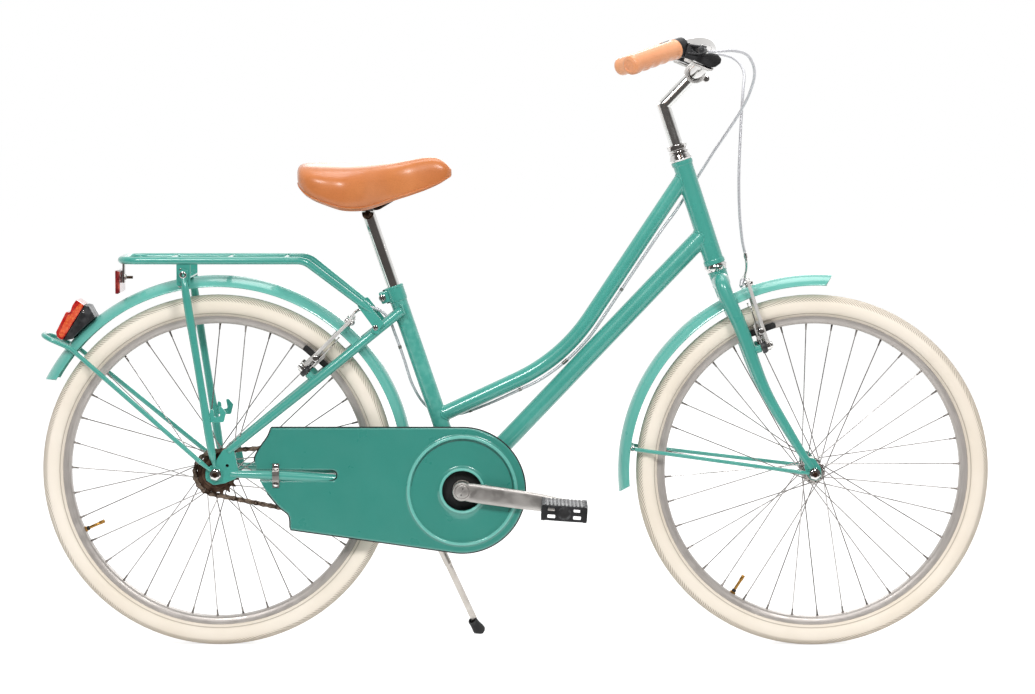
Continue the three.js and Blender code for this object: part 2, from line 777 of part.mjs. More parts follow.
function rearTriangle() {
  const side = joined(
    tapered(chainStay, chainStayRadii),
    tapered(seatStay, seatStayRadii),
    rearDropout(),
    rod(
      along(rearBrakePivot, rearBrakeOut, -brakeArmPlane).setY(brakePivotSpread),
      along(rearBrakePivot, rearBrakeOut, bossLength / 2).setY(brakePivotSpread),
      bossRadius,
      wireSides,
    ),
  );
  const upperBridge = seatStayShare(upperBridgeShare);
  const lowerBridge = chainStayShare(0.86);
  const bridges = [upperBridge, lowerBridge].map((end) => rod(flipped(end), end, bridgeRadius, wireSides));
  return cutBy(joined(side, mirrored(side), bridges), seatEnvelope, shellEnvelope);
}

add('rear_triangle', rearTriangle(), paint);

// Headset

function upperCup() {
  const bore = boreAround(steererRadius, tubeSides);
  const base = clearance;
  const profile = [
    [bore, base],
    [cupRadius, base],
    [cupRadius + tubeWall, base + cupHeight * 0.3],
    [cupRadius, base + cupHeight * 0.6],
    [cupRadius - tubeWall, base + cupHeight],
    [bore, base + cupHeight],
    [bore, base],
  ];
  return turned(profile, headTop, steerUp, tubeSides);
}

function lowerCup() {
  const bore = boreAround(steererRadius, tubeSides);
  const base = clearance;
  const profile = [
    [bore, base],
    [cupRadius, base],
    [cupRadius + tubeWall, base + cupHeight * 0.4],
    [cupRadius - tubeWall, base + cupHeight],
    [bore, base + cupHeight],
    [bore, base],
  ];
  return turned(profile, headBottom, steerUp.clone().negate(), tubeSides);
}

// The ridged locknut stack above the upper cup.
function headsetLocknut() {
  const bore = boreAround(steererRadius, tubeSides);
  const base = cupHeight + 2 * clearance;
  const nutRadius = cupRadius - tubeWall;
  const neckRadius = nutRadius - tubeWall;
  const profile = [
    [bore, base],
    [nutRadius, base],
    [nutRadius, base + locknutStackHeight * 0.35],
    [neckRadius, base + locknutStackHeight * 0.45],
    [nutRadius, base + locknutStackHeight * 0.55],
    [nutRadius, base + locknutStackHeight],
    [bore, base + locknutStackHeight],
    [bore, base],
  ];
  return turned(profile, headTop, steerUp, tubeSides);
}

add('headset_upper_cup', upperCup(), chrome);
add('headset_lower_cup', lowerCup(), chrome);
add('headset_locknut', headsetLocknut(), chrome);

// Fork

const crownTop = forkLength - cupHeight - 2 * clearance;

// Each blade leaves the steerer sideways at the crown, drops beside the wheel and sweeps forward to the axle.
const bladeStations = [
  [0, 0.1, 0.962],
  [0, 0.62, 0.957],
  [0, 0.9, 0.935],
  [0, 1, 0.895],
  [0.14, 1.05, 0.73],
  [0.26, 1.12, 0.43],
  [0.6, 1.2, 0.22],
  [0.84, 1.27, 0.09],
  [0.96, 1.29, 0.03],
].map(([rakeShare, spreadShare, heightShare]) => onSteering(
  rakeLength * rakeShare,
  bladeTopSpread * spreadShare,
  crownTop * heightShare,
));
const bladeRadiusShares = [0, 0, 0, 0, 0.1, 0.45, 0.75, 0.95, 1];

function fork() {
  const radii = bladeRadiusShares.map((share) => THREE.MathUtils.lerp(bladeTopRadius, bladeTipRadius, share));
  const blade = tapered(bladeStations, radii);
  const dropoutShares = [
    [-0.35, -0.1],
    [0, -0.38],
    [0.35, -0.1],
    [0.3, 0.3],
    [0, 0.75],
    [-0.5, 0.85],
    [-0.5, 0.3],
  ];
  const outline = dropoutShares.map(([x, z]) => [
    frontHub.x + x * dropoutReach,
    frontHub.z + z * dropoutReach,
  ]);
  const axleHole = hole(frontHub.x, frontHub.z, boreAround(axleRadius, tubeSides));
  const dropoutFace = frontDropoutSpacing / 2;
  const dropout = plate(outline, dropoutFace, dropoutFace + dropoutThickness, [axleHole]);
  const boss = rod(
    along(frontBrakePivot, steerForward, -brakeArmPlane).setY(brakePivotSpread),
    along(frontBrakePivot, steerForward, bossLength / 2).setY(brakePivotSpread),
    bossRadius,
    wireSides,
  );
  const side = joined(blade, dropout, boss);
  const steererTop = forkLength + headTubeLength + cupHeight + locknutStackHeight;
  const onAxis = (height) => onSteering(0, 0, height);
  const crownFoot = onAxis(crownTop - 2 * bladeTopRadius);
  const crown = rod(crownFoot, onAxis(crownTop), bladeTopRadius + tubeWall, tubeSides);
  const steerer = rod(onAxis(crownTop - bladeTopRadius), onAxis(steererTop), steererRadius, tubeSides);
  const bore = rod(
    onSteering(0, 0, crownTop),
    onSteering(0, 0, steererTop + overrun),
    boreAround(stemRadius, tubeSides),
    tubeSides,
  );
  return cutBy(joined(side, mirrored(side), crown, steerer), bore);
}

add('fork', fork(), paint);

// Mudguards

const mudguardFolds = 5;
const mudguardCrownRadius = ((mudguardWidth / 2) ** 2 + mudguardDepth ** 2) / (2 * mudguardDepth);
const mudguardSpread = Math.asin(mudguardWidth / 2 / mudguardCrownRadius);
// The flat fold along the middle lies this much inside the crown.
const mudguardFlatDrop = mudguardCrownRadius * (1 - Math.cos(mudguardSpread / mudguardFolds));
const rearMudguardAngles = [radians(3), radians(152)];
const frontMudguardAngles = [radians(84.6), radians(186.3)];

// A crowned strip that follows the tyre.
function mudguard(hub, radius, [start, end], steps) {
  const across = (turn, arcRadius) => Array.from({ length: mudguardFolds + 1 }, (_, i) => {
    const bend = THREE.MathUtils.lerp(-mudguardSpread, mudguardSpread, i / mudguardFolds);
    const reach = radius - mudguardCrownRadius + arcRadius * Math.cos(bend);
    return onWheel(hub, turn, reach, arcRadius * Math.sin(bend));
  });
  return loft(Array.from({ length: steps + 1 }, (_, step) => {
    const turn = THREE.MathUtils.lerp(start, end, step / steps);
    const inside = across(turn, mudguardCrownRadius - mudguardThickness);
    return [...across(turn, mudguardCrownRadius), ...inside.toReversed()];
  }));
}

const mudguardEdgeRadius = (radius) => radius - mudguardDepth;

add('rear_mudguard', mudguard(rearHub, rearMudguardRadius, rearMudguardAngles, 16), paint);
add('front_mudguard', mudguard(frontHub, frontMudguardRadius, frontMudguardAngles, 11), paint);

// Mudguard stays

const frontStayRadius = 3.5;
const rearStayRadius = 4;
const stayEyeRadius = 11;
const stayEyeJoinShare = 0.92;

// A flat eye on the axle that a stay grows out of.
function stayEye(hub, face, thickness, radius) {
  const eye = rod(at(hub.x, face, hub.z), at(hub.x, face + thickness, hub.z), radius, tubeSides);
  const bore = rod(
    at(hub.x, face - thickness, hub.z),
    at(hub.x, face + 2 * thickness, hub.z),
    boreAround(axleRadius, tubeSides),
    tubeSides,
  );
  return { eye, bore };
}

const frontStayAngle = radians(172.7);
const frontStayFace = frontDropoutSpacing / 2 + dropoutThickness + clearance;

// Two legs from the axle, joined by a strap that runs round the inside of the mudguard.
function frontMudguardStay() {
  const { eye, bore } = stayEye(frontHub, frontStayFace, stayEyeThickness, stayEyeRadius);
  const strapRadius = mudguardEdgeRadius(frontMudguardRadius) - frontStayRadius - 3 * clearance;
  const legSpread = mudguardWidth / 2 + frontStayRadius + clearance;
  const legY = frontStayFace + frontStayRadius;
  const legStart = onWheel(frontHub, frontStayAngle, stayEyeRadius * stayEyeJoinShare, legY);
  const legKnee = onWheel(frontHub, frontStayAngle, stayEyeRadius * 2, legY);
  const legEnd = onWheel(frontHub, frontStayAngle, strapRadius, legSpread);
  const side = joined(eye, bent([legStart, legKnee, legEnd], frontStayRadius, wireSides));
  const strap = rod(flipped(legEnd), legEnd, frontStayRadius * 0.7, wireSides);
  return cutBy(joined(side, mirrored(side), strap), bore, mirrored(bore));
}

const rearStayFace = rearDropoutSpacing / 2 + dropoutThickness + rackEyeThickness + 2 * clearance;
const rearStayAngle = radians(139.6);
const rearStayEdge = onWheel(rearHub, rearStayAngle, rearMudguardRadius - mudguardDepth / 2, 0);
const rearLoopReach = 48;
const rearLoopRise = 21;
const rearLoopRadius = 28;

// One long loop from axle to axle that passes round the back of the mudguard.
function rearMudguardStay() {
  const { eye, bore } = stayEye(rearHub, rearStayFace, stayEyeThickness, stayEyeRadius);
  const spread = mudguardWidth / 2 + rearStayRadius + clearance;
  const legY = rearStayFace + rearStayRadius;
  const half = [
    onWheel(rearHub, rearStayAngle, stayEyeRadius * stayEyeJoinShare, legY),
    onWheel(rearHub, rearStayAngle, stayEyeRadius * 3, legY),
    rearStayEdge.clone().setY(spread),
    at(rearStayEdge.x - rearLoopReach, spread, rearStayEdge.z + rearLoopRise),
  ];
  const stations = rounded([...half, ...half.toReversed().map(flipped)], rearLoopRadius, 4);
  return cutBy(joined(bent(stations, rearStayRadius, wireSides), eye, mirrored(eye)), bore, mirrored(bore));
}

add('front_mudguard_stay', frontMudguardStay(), paint);
add('rear_mudguard_stay', rearMudguardStay(), paint);

// Rear rack

const rackHeight = rearHub.z + rearMudguardRadius + rackRise;
const rackRear = rearHub.x - rackTailLength;
const rackBend = rearHub.x + rackDeckLength;
const rackCornerRadius = 34;
const rackFrontSetback = 23.5;
const rackFrontRise = 43.9;
const rackFrontSpread = 44;
const rackFront = onSeatStay(upperBridgeShare, 0).add(at(-rackFrontSetback, 0, rackFrontRise));
const crossbarRadius = 4.5;
const crossbarSpacing = 93.5;
const crossbarForward = 20.2;
const crossbarPlaces = [-1, 0, 1].map((i) => rearHub.x + crossbarForward + i * crossbarSpacing);
const rackPlateThickness = 3;
const rackPlateLength = 23;
const rackPlateDrop = 42;
const rackLegSetback = 51;
const rackLegDrop = 23;
const rackLegTop = at(rearHub.x - rackLegSetback, 0, rackHeight - rackLegDrop);
const reflectorHeight = 40;
const reflectorWidth = 80;
const reflectorThickness = 8;
const reflectorDrop = 37;
const reflectorZ = rackHeight - reflectorDrop;

// The carrier: rails in one loop, crossbars, the channel over the mudguard, front plates and hanger.
function rearRack() {
  const half = [
    rackFront.clone().setY(rackFrontSpread),
    at(rackBend, rackHalfWidth, rackHeight),
    at(rackRear, rackHalfWidth, rackHeight),
  ];
  const rails = bent(rounded([...half, ...half.toReversed().map(flipped)], rackCornerRadius, 3), rackRadius);
  const bars = crossbarPlaces.map((x) => rod(
    at(x, -rackHalfWidth, rackHeight),
    at(x, rackHalfWidth, rackHeight),
    crossbarRadius,
    wireSides,
  ));
  const cheekCentre = at(rackLegTop.x, rackHalfWidth, rackHeight - rackPlateDrop / 2);
  const cheek = block(cheekCentre, at(rackPlateLength, rackPlateThickness, rackPlateDrop));
  const mudguardTop = rearHub.z + Math.sqrt(rearMudguardRadius ** 2 - rackLegSetback ** 2);
  const strapZ = mudguardTop + rackPlateThickness;
  const strapSize = at(rackPlateLength, 2 * rackHalfWidth, rackPlateThickness);
  const strap = block(at(rackLegTop.x, 0, strapZ), strapSize);
  const stayFace = onSeatStay(upperBridgeShare, 0);
  const plateWidth = rackPlateLength / 2;
  const frontPlate = plate([
    [rackFront.x - plateWidth, rackFront.z],
    [rackFront.x + plateWidth * 0.4, rackFront.z + plateWidth * 0.7],
    [stayFace.x + plateWidth, stayFace.z + plateWidth],
    [stayFace.x, stayFace.z - plateWidth * 0.6],
    [stayFace.x - plateWidth, stayFace.z + plateWidth * 0.2],
  ], rackFrontSpread - rackPlateThickness, rackFrontSpread);
  const hanger = block(
    at(rackRear, 0, (rackHeight + reflectorZ) / 2),
    at(rackPlateThickness, 2 * rackPlateLength / 3, rackHeight - reflectorZ + rackRadius),
  );
  return joined(rails, bars, cheek, mirrored(cheek), strap, frontPlate, mirrored(frontPlate), hanger);
}

// A pannier hook plate: a foot on the leg and two horns that point up.
const hookSize = 28;
const hookRise = 88;
const hookRoot = along(rearHub, rackLegTop.clone().sub(rearHub).normalize(), hookRise);

// One leg of the rack, from the channel's bolt down to an eye on the axle.
function rackLeg() {
  const face = rearDropoutSpacing / 2 + dropoutThickness + clearance;
  const { eye, bore } = stayEye(rearHub, face, rackEyeThickness, stayEyeRadius);
  const foot = at(rearHub.x, face + rackEyeThickness / 2, rearHub.z);
  const ankle = between(foot, rackLegTop, 0.1).setY(face + rackRadius);
  const topPlate = rackHalfWidth + rackPlateThickness / 2 + clearance;
  const shoulder = between(foot, rackLegTop, 0.93).setY(topPlate + rackRadius);
  const top = rackLegTop.clone().setY(topPlate + rackPlateThickness / 2);
  const tube = tapered(
    [foot, between(foot, ankle, 0.5).setY(face + rackEyeThickness / 2), ankle, shoulder, top],
    [rackEyeThickness / 2, rackEyeThickness / 2, rackRadius, rackRadius, rackPlateThickness / 2],
    wireSides,
  );
  const boltEye = rod(
    top.clone().setY(topPlate),
    top.clone().setY(topPlate + rackPlateThickness),
    rackRadius * 1.3,
    wireSides,
  );
  const hookShares = [
    [-0.1, 0],
    [1, 0],
    [1.15, 0.6],
    [0.85, 0.95],
    [0.7, 0.9],
    [0.8, 0.35],
    [0.45, 0.3],
    [0.4, 0.75],
    [0.2, 0.8],
    [0.15, 0.3],
    [-0.1, 0.3],
  ];
  const hook = plate(
    hookShares.map(([x, z]) => [hookRoot.x + x * hookSize, hookRoot.z + z * hookSize]),
    face + rackRadius - rackPlateThickness / 2,
    face + rackRadius + rackPlateThickness / 2,
  );
  return cutBy(joined(tube, eye, boltEye, hook), bore);
}

add('rear_rack', rearRack(), paint);
const leftRackLeg = rackLeg();
add('left_rack_leg', leftRackLeg, paint);
add('right_rack_leg', mirrored(leftRackLeg), paint);
add('rear_reflector', block(
  at(rackRear - rackPlateThickness / 2 - clearance - reflectorThickness / 2, 0, reflectorZ),
  at(reflectorThickness, reflectorWidth, reflectorHeight),
), redLens);

// Tail light, in its own frame on the mudguard: along it towards the rear, and out from it.

const tailLightAngle = radians(132.7);
const tailLightWidth = 52;
const tailLightLength = 53;
const tailLightHousingShares = [[-0.5, 0], [0.5, 0], [0.76, 0.15], [-0.52, 0.5], [-0.6, 0.38]];
const tailLightLensShares = [
  [-0.52, 0.51],
  [-0.45, 0.81],
  [-0.23, 0.76],
  [-0.03, 0.65],
  [0.05, 0.75],
  [0.72, 0.5],
  [0.81, 0.36],
  [0.76, 0.16],
];
const tailLightSeatRadius = rearMudguardRadius - mudguardFlatDrop + clearance;

function tailLightPiece(shares, width) {
  const down = at(-Math.sin(tailLightAngle), 0, Math.cos(tailLightAngle));
  const out = at(Math.cos(tailLightAngle), 0, Math.sin(tailLightAngle));
  const seat = along(rearHub, out, tailLightSeatRadius);
  const place = ([s, t]) => along(along(seat, down, s * tailLightLength), out, t * tailLightLength);
  const outline = shares.map(place);
  return loft([-width / 2, width / 2].map((y) => outline.map((point) => point.clone().setY(y))));
}

const housing = tailLightPiece(tailLightHousingShares, tailLightWidth);
const mudguardEnvelope = solid(new THREE.CylinderGeometry(
  tailLightSeatRadius,
  tailLightSeatRadius,
  2 * tailLightWidth,
  4 * wheelFacets,
)).translate([rearHub.x, 0, rearHub.z]);
add('tail_light_housing', cutBy(housing, mudguardEnvelope), blackPlastic);
add('tail_light_lens', tailLightPiece(tailLightLensShares, tailLightWidth + 2 * tubeWall), redLens);

// Stem and handlebar

const stemBase = forkLength + headTubeLength + cupHeight + locknutStackHeight;
const stemBend = onSteering(0, 0, stemBase + stemRise);
const barCentre = onSteering(stemReach, 0, stemBase + stemRise + stemReachRise);

// The quill, its swan neck, the clamp round the bar and the wedge bolt's end.
function stem() {
  const neck = between(stemBend, barCentre, 0.85);
  const stations = rounded([onSteering(0, 0, stemBase - stemInsertionLength), stemBend, neck], stemRadius * 1.6, 3);
  const clamp = rod(
    along(barCentre, sideways, -barClampWidth / 2),
    along(barCentre, sideways, barClampWidth / 2),
    barClampRadius,
    tubeSides,
  );
  const boltDrop = at(stemReach, 0, -stemReachRise).normalize();
  const bolt = along(barCentre, boltDrop, barClampRadius + stemRadius / 3);
  const lug = rod(along(bolt, sideways, -stemRadius), along(bolt, sideways, stemRadius), stemRadius * 0.55);
  const bore = rod(
    along(barCentre, sideways, -barClampWidth),
    along(barCentre, sideways, barClampWidth),
    boreAround(barRadius + tubeWall, tubeSides),
    tubeSides,
  );
  return cutBy(joined(bent(stations, stemRadius, tubeSides), clamp, lug), bore);
}

// Places along the right half of the bar, as shares of its sweep, half span and rise from the clamp.
const barShares = [
  [0, 0.08, 0],
  [0.06, 0.2, 0.15],
  [0.17, 0.32, 0.55],
  [0.22, 0.4, 0.84],
  [0.18, 0.48, 0.95],
  [0.06, 0.55, 0.9],
  [-0.09, 0.6, 0.79],
];
const gripStart = onBar(-0.22, 0.65, 0.72);
const gripEnd = onBar(-1, 1, 0.18);

function onBar(sweepShare, spanShare, riseShare) {
  return at(barCentre.x + sweepShare * barSweep, barHalfSpan * spanShare, barCentre.z + riseShare * barRise);
}

const gripDirection = gripEnd.clone().sub(gripStart).normalize();

const barEnd = along(gripEnd, gripDirection, -gripRadius / 2);
const barStations = [...smooth([...barShares.map((shares) => onBar(...shares)), gripStart], 8), barEnd];

function handlebar() {
  const swollen = barRadius + tubeWall;
  const collar = rod(
    along(barCentre, sideways, -barClampWidth * 0.6),
    along(barCentre, sideways, barClampWidth * 0.6),
    swollen,
    tubeSides,
  );
  return joined(bent([...barStations.toReversed().map(flipped), ...barStations], barRadius), collar);
}

// A grip with finger grooves underneath.
function grip() {
  const count = 10;
  const under = gripDirection.clone().cross(sideways).normalize();
  const down = under.z > 0 ? under.negate() : under;
  const out = down.clone().cross(gripDirection).normalize();
  const rings = Array.from({ length: count + 1 }, (_, i) => {
    const centre = along(gripEnd, gripDirection, -gripLength * (1 - i / count));
    const flare = i === 0 ? 0.06 : 0;
    const dome = i === count ? 0.82 : 1;
    return Array.from({ length: smallSides }, (_, side) => {
      const angle = (2 * Math.PI * side) / smallSides;
      const groove = i > 1 && i < count && i % 2 ? 0.12 * Math.max(0, Math.cos(angle)) : 0;
      const radius = gripRadius * dome * (1 + flare - groove);
      return along(along(centre, down, radius * Math.cos(angle)), out, radius * Math.sin(angle));
    });
  });
  const bore = rod(
    along(gripStart, gripDirection, -gripLength),
    along(gripEnd, gripDirection, -gripRadius / 2 + clearance),
    boreAround(barRadius, smallSides),
  );
  return cutBy(loft(rings), bore);
}

add('stem', stem(), chrome);
add('handlebar', handlebar(), chrome);
const leftGrip = grip();
add('left_grip', leftGrip, tanLeather);
add('right_grip', mirrored(leftGrip), tanLeather);

// Brake levers

const leverClampWidth = 18;
const leverClampRadius = 16;
const leverReach = 36;
const leverThickness = 9;
const leverBladeLength = 88;
const leverPinRadius = 2.5;
const leverSlot = leverThickness + 2 * clearance;
const leverCheek = 3.5;
const barrelRadius = 4.5;
const barrelLength = 16;
const clampCentre = along(gripEnd, gripDirection, -gripLength - leverClampWidth / 2 - clearance);
const leverForward = at(1, 0, -0.12).normalize();
const leverPin = along(along(clampCentre, leverForward, leverReach), sideways, leverClampWidth * 0.35);
const leverUp = leverForward.clone().cross(sideways).normalize();
const barrelRoot = along(clampCentre, leverForward, leverReach * 0.8);
const barrelStart = along(barrelRoot, sideways, -leverClampWidth * 0.8);
const barrelBend = along(barrelStart, sideways, -barrelLength * 0.55);
const barrelEnd = along(barrelBend, leverForward, barrelLength * 0.85);

// The clamp ring, the fork that holds the lever and the barrel that the cable leaves by.
function leverClamp() {
  const ringStart = along(clampCentre, gripDirection, -leverClampWidth / 2);
  const ringEnd = along(clampCentre, gripDirection, leverClampWidth / 2);
  const ring = rod(ringStart, ringEnd, leverClampRadius);
  const slabHeight = leverThickness + 2 * leverCheek + 2 * clearance;
  const slab = placed(
    new THREE.BoxGeometry(leverReach, leverClampWidth * 1.5, slabHeight),
    along(clampCentre, leverForward, leverReach * 0.66),
    leverUp,
    leverForward,
  );
  const slot = placed(
    new THREE.BoxGeometry(leverReach, leverClampWidth * 2, leverSlot),
    along(along(clampCentre, leverForward, leverReach * 1.05), sideways, leverClampWidth * 0.5),
    leverUp,
    leverForward,
  );
  const pinHole = rod(
    along(leverPin, leverUp, -slabHeight),
    along(leverPin, leverUp, slabHeight),
    boreAround(leverPinRadius, wireSides),
    wireSides,
  );
  const barrel = rod(barrelStart, barrelEnd, barrelRadius, wireSides);
  const barRoom = bent(barStations, boreAround(barRadius, smallSides));
  return cutBy(joined(ring, slab, barrel), barRoom, slot, pinHole);
}

// The lever blade, curved along the grip, with its pivot pin and ball end.
function brakeLever() {
  const outward = gripDirection.clone().setZ(0).normalize();
  const blade = smooth([
    leverPin,
    along(along(leverPin, sideways, leverBladeLength * 0.3), leverForward, leverReach * 0.12),
    along(along(leverPin, sideways, leverBladeLength * 0.65), outward, leverReach * 0.1),
    along(along(leverPin, sideways, leverBladeLength), outward, leverReach * 0.2),
  ], 4);
  const radii = blade.map((_, i) => leverThickness / 2 * (1 - 0.18 * (i / (blade.length - 1))));
  const end = blade[blade.length - 1];
  const ballShape = new THREE.SphereGeometry(leverThickness * 0.62, wireSides, wireSides / 2);
  const ball = solid(ballShape.translate(end.x, end.y, end.z));
  const eyeStart = along(leverPin, leverUp, -leverThickness / 2);
  const eye = rod(eyeStart, along(leverPin, leverUp, leverThickness / 2), leverThickness * 0.7, wireSides);
  const pinReach = leverThickness / 2 + leverCheek + clearance;
  const pinStart = along(leverPin, leverUp, -pinReach);
  const pin = rod(pinStart, along(leverPin, leverUp, pinReach), leverPinRadius, wireSides);
  return joined(tapered(blade, radii, wireSides), ball, eye, pin);
}

const leftClamp = leverClamp();
const leftLever = brakeLever();
add('left_lever_clamp', leftClamp, blackPlastic);
add('right_lever_clamp', mirrored(leftClamp), blackPlastic);
add('left_brake_lever', leftLever, blackPlastic);
add('right_brake_lever', mirrored(leftLever), blackPlastic);

// V-brake arms, in their own frame: X out from the blade, Y away from the wheel, Z up along the arm.

const brakeHubRadius = 8;
const brakeHubLength = 15;
const brakeArmWidth = 12;
const brakeArmThickness = 6;
const padLength = 52;
const padHeight = 10;
const padThickness = 10;
const padGap = 1.9;
const padStudRadius = 3.5;
const padInner = rimHalf + padGap;

// One arm with its pivot barrel, pad stud and pad; the pad sits square to the rim.
function brakeArm(padRise, padDirection, padUp) {
  const barrel = rod(at(-brakeHubLength / 2, 0, 0), at(brakeHubLength / 2, 0, 0), brakeHubRadius);
  const shares = [
    [0.5, 0.05],
    [0.62, 0.25],
    [0.4, 0.6],
    [0.2, 1],
    [-0.45, 1.02],
    [-0.4, 0.6],
    [-0.5, 0.25],
    [-0.5, 0.05],
  ];
  const outline = shares.map(([y, z]) => [y * brakeArmWidth, z * brakeArmLength]);
  const armPlate = (x) => outline.map(([y, z]) => at(x, y, z));
  const arm = loft([armPlate(-brakeArmThickness / 2), armPlate(brakeArmThickness / 2)]);
  const padY = padInner + padThickness / 2 - brakePivotSpread;
  const padSize = new THREE.BoxGeometry(padLength, padThickness, padHeight);
  const pad = placed(padSize, at(0, padY, padRise), padUp, padDirection);
  const stud = rod(at(0, padY, padRise), at(0, brakeArmWidth * 0.8, padRise), padStudRadius, wireSides);
  const bolt = rod(
    at(-brakeArmThickness, -brakeArmWidth * 0.1, brakeArmLength * 0.94),
    at(brakeArmThickness * 1.6, -brakeArmWidth * 0.1, brakeArmLength * 0.94),
    brakeArmWidth * 0.4,
    wireSides,
  );
  const bossHole = rod(at(-brakeArmPlane, 0, 0), at(brakeArmPlane, 0, 0), boreAround(bossRadius, smallSides));
  return cutBy(joined(barrel, arm, pad, stud, bolt), bossHole);
}

// A brake: two mirrored arms on one pivot height, with their pads on the rim's braking track.
function addBrake(name, hub, pivot, out, up) {
  const armTop = along(pivot, up, brakeArmLength);
  const padRise = brakeArmLength * shareAtDistance(pivot, armTop, hub, brakeTrackRadius);
  const radial = along(pivot, up, padRise).sub(hub).normalize();
  const tangent = sideways.clone().cross(radial);
  const local = (vector) => at(vector.dot(out), 0, vector.dot(up));
  const arm = geometryOf(brakeArm(padRise, local(tangent), local(radial)));
  for (const [side, prefix] of [[1, 'left'], [-1, 'right']]) {
    const mesh = add(`${prefix}_${name}_brake_arm`, arm, chrome);
    const turn = new THREE.Matrix4().makeBasis(out, at(0, side, 0), up);
    mesh.applyMatrix4(turn.setPosition(pivot.clone().setY(side * brakePivotSpread)));
  }
}

addBrake('front', frontHub, frontBrakePivot, steerForward, steerUp);
addBrake('rear', rearHub, rearBrakePivot, rearBrakeOut, rearBrakeUp);

// Chain

const chainLean = Math.atan2(rearHub.z - crankAxle.z, crankAxle.x - rearHub.x);

// The chain's pins, in the order of its travel, in the X-Z plane about the crank axle.
function chainPins() {
  const ringStep = (2 * Math.PI) / chainringTeeth;
  const sprocketStep = (2 * Math.PI) / sprocketTeeth;
  const top = Math.PI / 2 + chainRun.wrap - chainLean;
  const bottom = -Math.PI / 2 - chainRun.wrap - chainLean;
  const ringArc = (Math.PI + 2 * chainRun.wrap) / ringStep;
  const sprocketArc = (Math.PI - 2 * chainRun.wrap) / sprocketStep;
  const spanCount = chainRun.span / chainPitchLength;
  const tangentPoint = (centre, angle, radius) => onWheel(centre, angle, radius, 0);
  return Array.from({ length: chainLinks }, (_, link) => {
    if (link <= ringArc) return tangentPoint(crankAxle, top - link * ringStep, chainringRadius);
    if (link <= ringArc + spanCount) {
      const share = (link - ringArc) / spanCount;
      const from = tangentPoint(crankAxle, bottom, chainringRadius);
      return between(from, tangentPoint(rearHub, bottom, sprocketRadius), share);
    }
    if (link <= ringArc + spanCount + sprocketArc) {
      const turned = (link - ringArc - spanCount) * sprocketStep;
      return tangentPoint(rearHub, bottom - turned, sprocketRadius);
    }
    const share = (link - ringArc - spanCount - sprocketArc) / spanCount;
    const from = tangentPoint(rearHub, top, sprocketRadius);
    return between(from, tangentPoint(crankAxle, top, chainringRadius), share);
  });
}

// The whole chain as one body: two rows of side plates that narrow inwards, joined by a roller at each pin.
function chain() {
  const pins = chainPins();
  const positions = [];
  const faces = [];
  const inner = chainInnerWidth / 2;
  const outer = inner + chainPlateThickness;
  const put = (point, y) => positions.push(point.x, y - chainlineOffset, point.z) / 3 - 1;
  const rows = pins.map((pin, i) => {
    const [last, next] = [pins[(i + pins.length - 1) % pins.length], pins[(i + 1) % pins.length]];
    const travel = next.clone().sub(last).normalize();
    const rise = at(-travel.z, 0, travel.x);
    return [-1, 1].map((side) => ({
      top: put(along(pin, rise, chainPlateHeight / 2), side * outer),
      bottom: put(along(pin, rise, -chainPlateHeight / 2), side * outer),
      back: put(along(pin, travel, -rollerRadius), side * inner),
      front: put(along(pin, travel, rollerRadius), side * inner),
    }));
  });
  const face = (flip, a, b, c, d) => {
    for (const triangle of [[a, b, c], [a, c, d]]) faces.push(flip ? triangle.toReversed() : triangle);
  };
  rows.forEach((row, i) => {
    const before = rows[(i + rows.length - 1) % rows.length];
    row.forEach((here, side) => {
      const last = before[side];
      face(side === 1, last.top, last.bottom, here.bottom, here.top);
      face(side === 1, last.front, last.top, here.top, here.back);
      face(side === 1, last.bottom, last.front, here.back, here.bottom);
    });
    const [near, far] = row;
    face(false, near.top, far.top, far.back, near.back);
    face(false, near.front, far.front, far.top, near.top);
    face(false, near.bottom, far.bottom, far.front, near.front);
    face(false, near.back, far.back, far.bottom, near.bottom);
  });
  const geometry = new THREE.BufferGeometry();
  geometry.setAttribute('position', new THREE.Float32BufferAttribute(positions, 3));
  geometry.setIndex(faces.flat());
  return solid(geometry);
}

// A toothed wheel whose gullets hold the chain's rollers; phase is the angle of one gullet.
function toothedWheel(teeth, radius, phase, boreRadius) {
  const step = (2 * Math.PI) / teeth;
  const root = radius - rollerRadius - clearance * 1.5;
  const tip = radius + rollerRadius * 0.7;
  const gulletShare = 0.22;
  const outline = [];
  for (let tooth = 0; tooth < teeth; tooth++) {
    const turn = phase + tooth * step;
    for (const [share, reach] of [[-gulletShare, root], [gulletShare, root], [0.5, tip]]) {
      const angle = turn + share * step;
      outline.push([reach * Math.cos(angle), reach * Math.sin(angle)]);
    }
  }
  const face = -chainlineOffset - sprocketThickness / 2;
  return plate(outline, face, face + sprocketThickness, [hole(0, 0, boreRadius)]);
}

const ringPhase = Math.PI / 2 + chainRun.wrap - chainLean;
const spanLinks = chainRun.span / chainPitchLength;
const sprocketPhase = ringPhase + (spanLinks - Math.floor(spanLinks) - 1) * -((2 * Math.PI) / sprocketTeeth);

add('chain', chain(), chainSteel);
const bossBore = boreAround(spindleRadius, tubeSides);
const chainring = toothedWheel(chainringTeeth, chainringRadius, ringPhase, bossBore);
add('chainring', chainring, alloy).position.set(crankAxle.x, 0, crankAxle.z);
const freewheelRadius = 27;
const freewheelLength = 12;

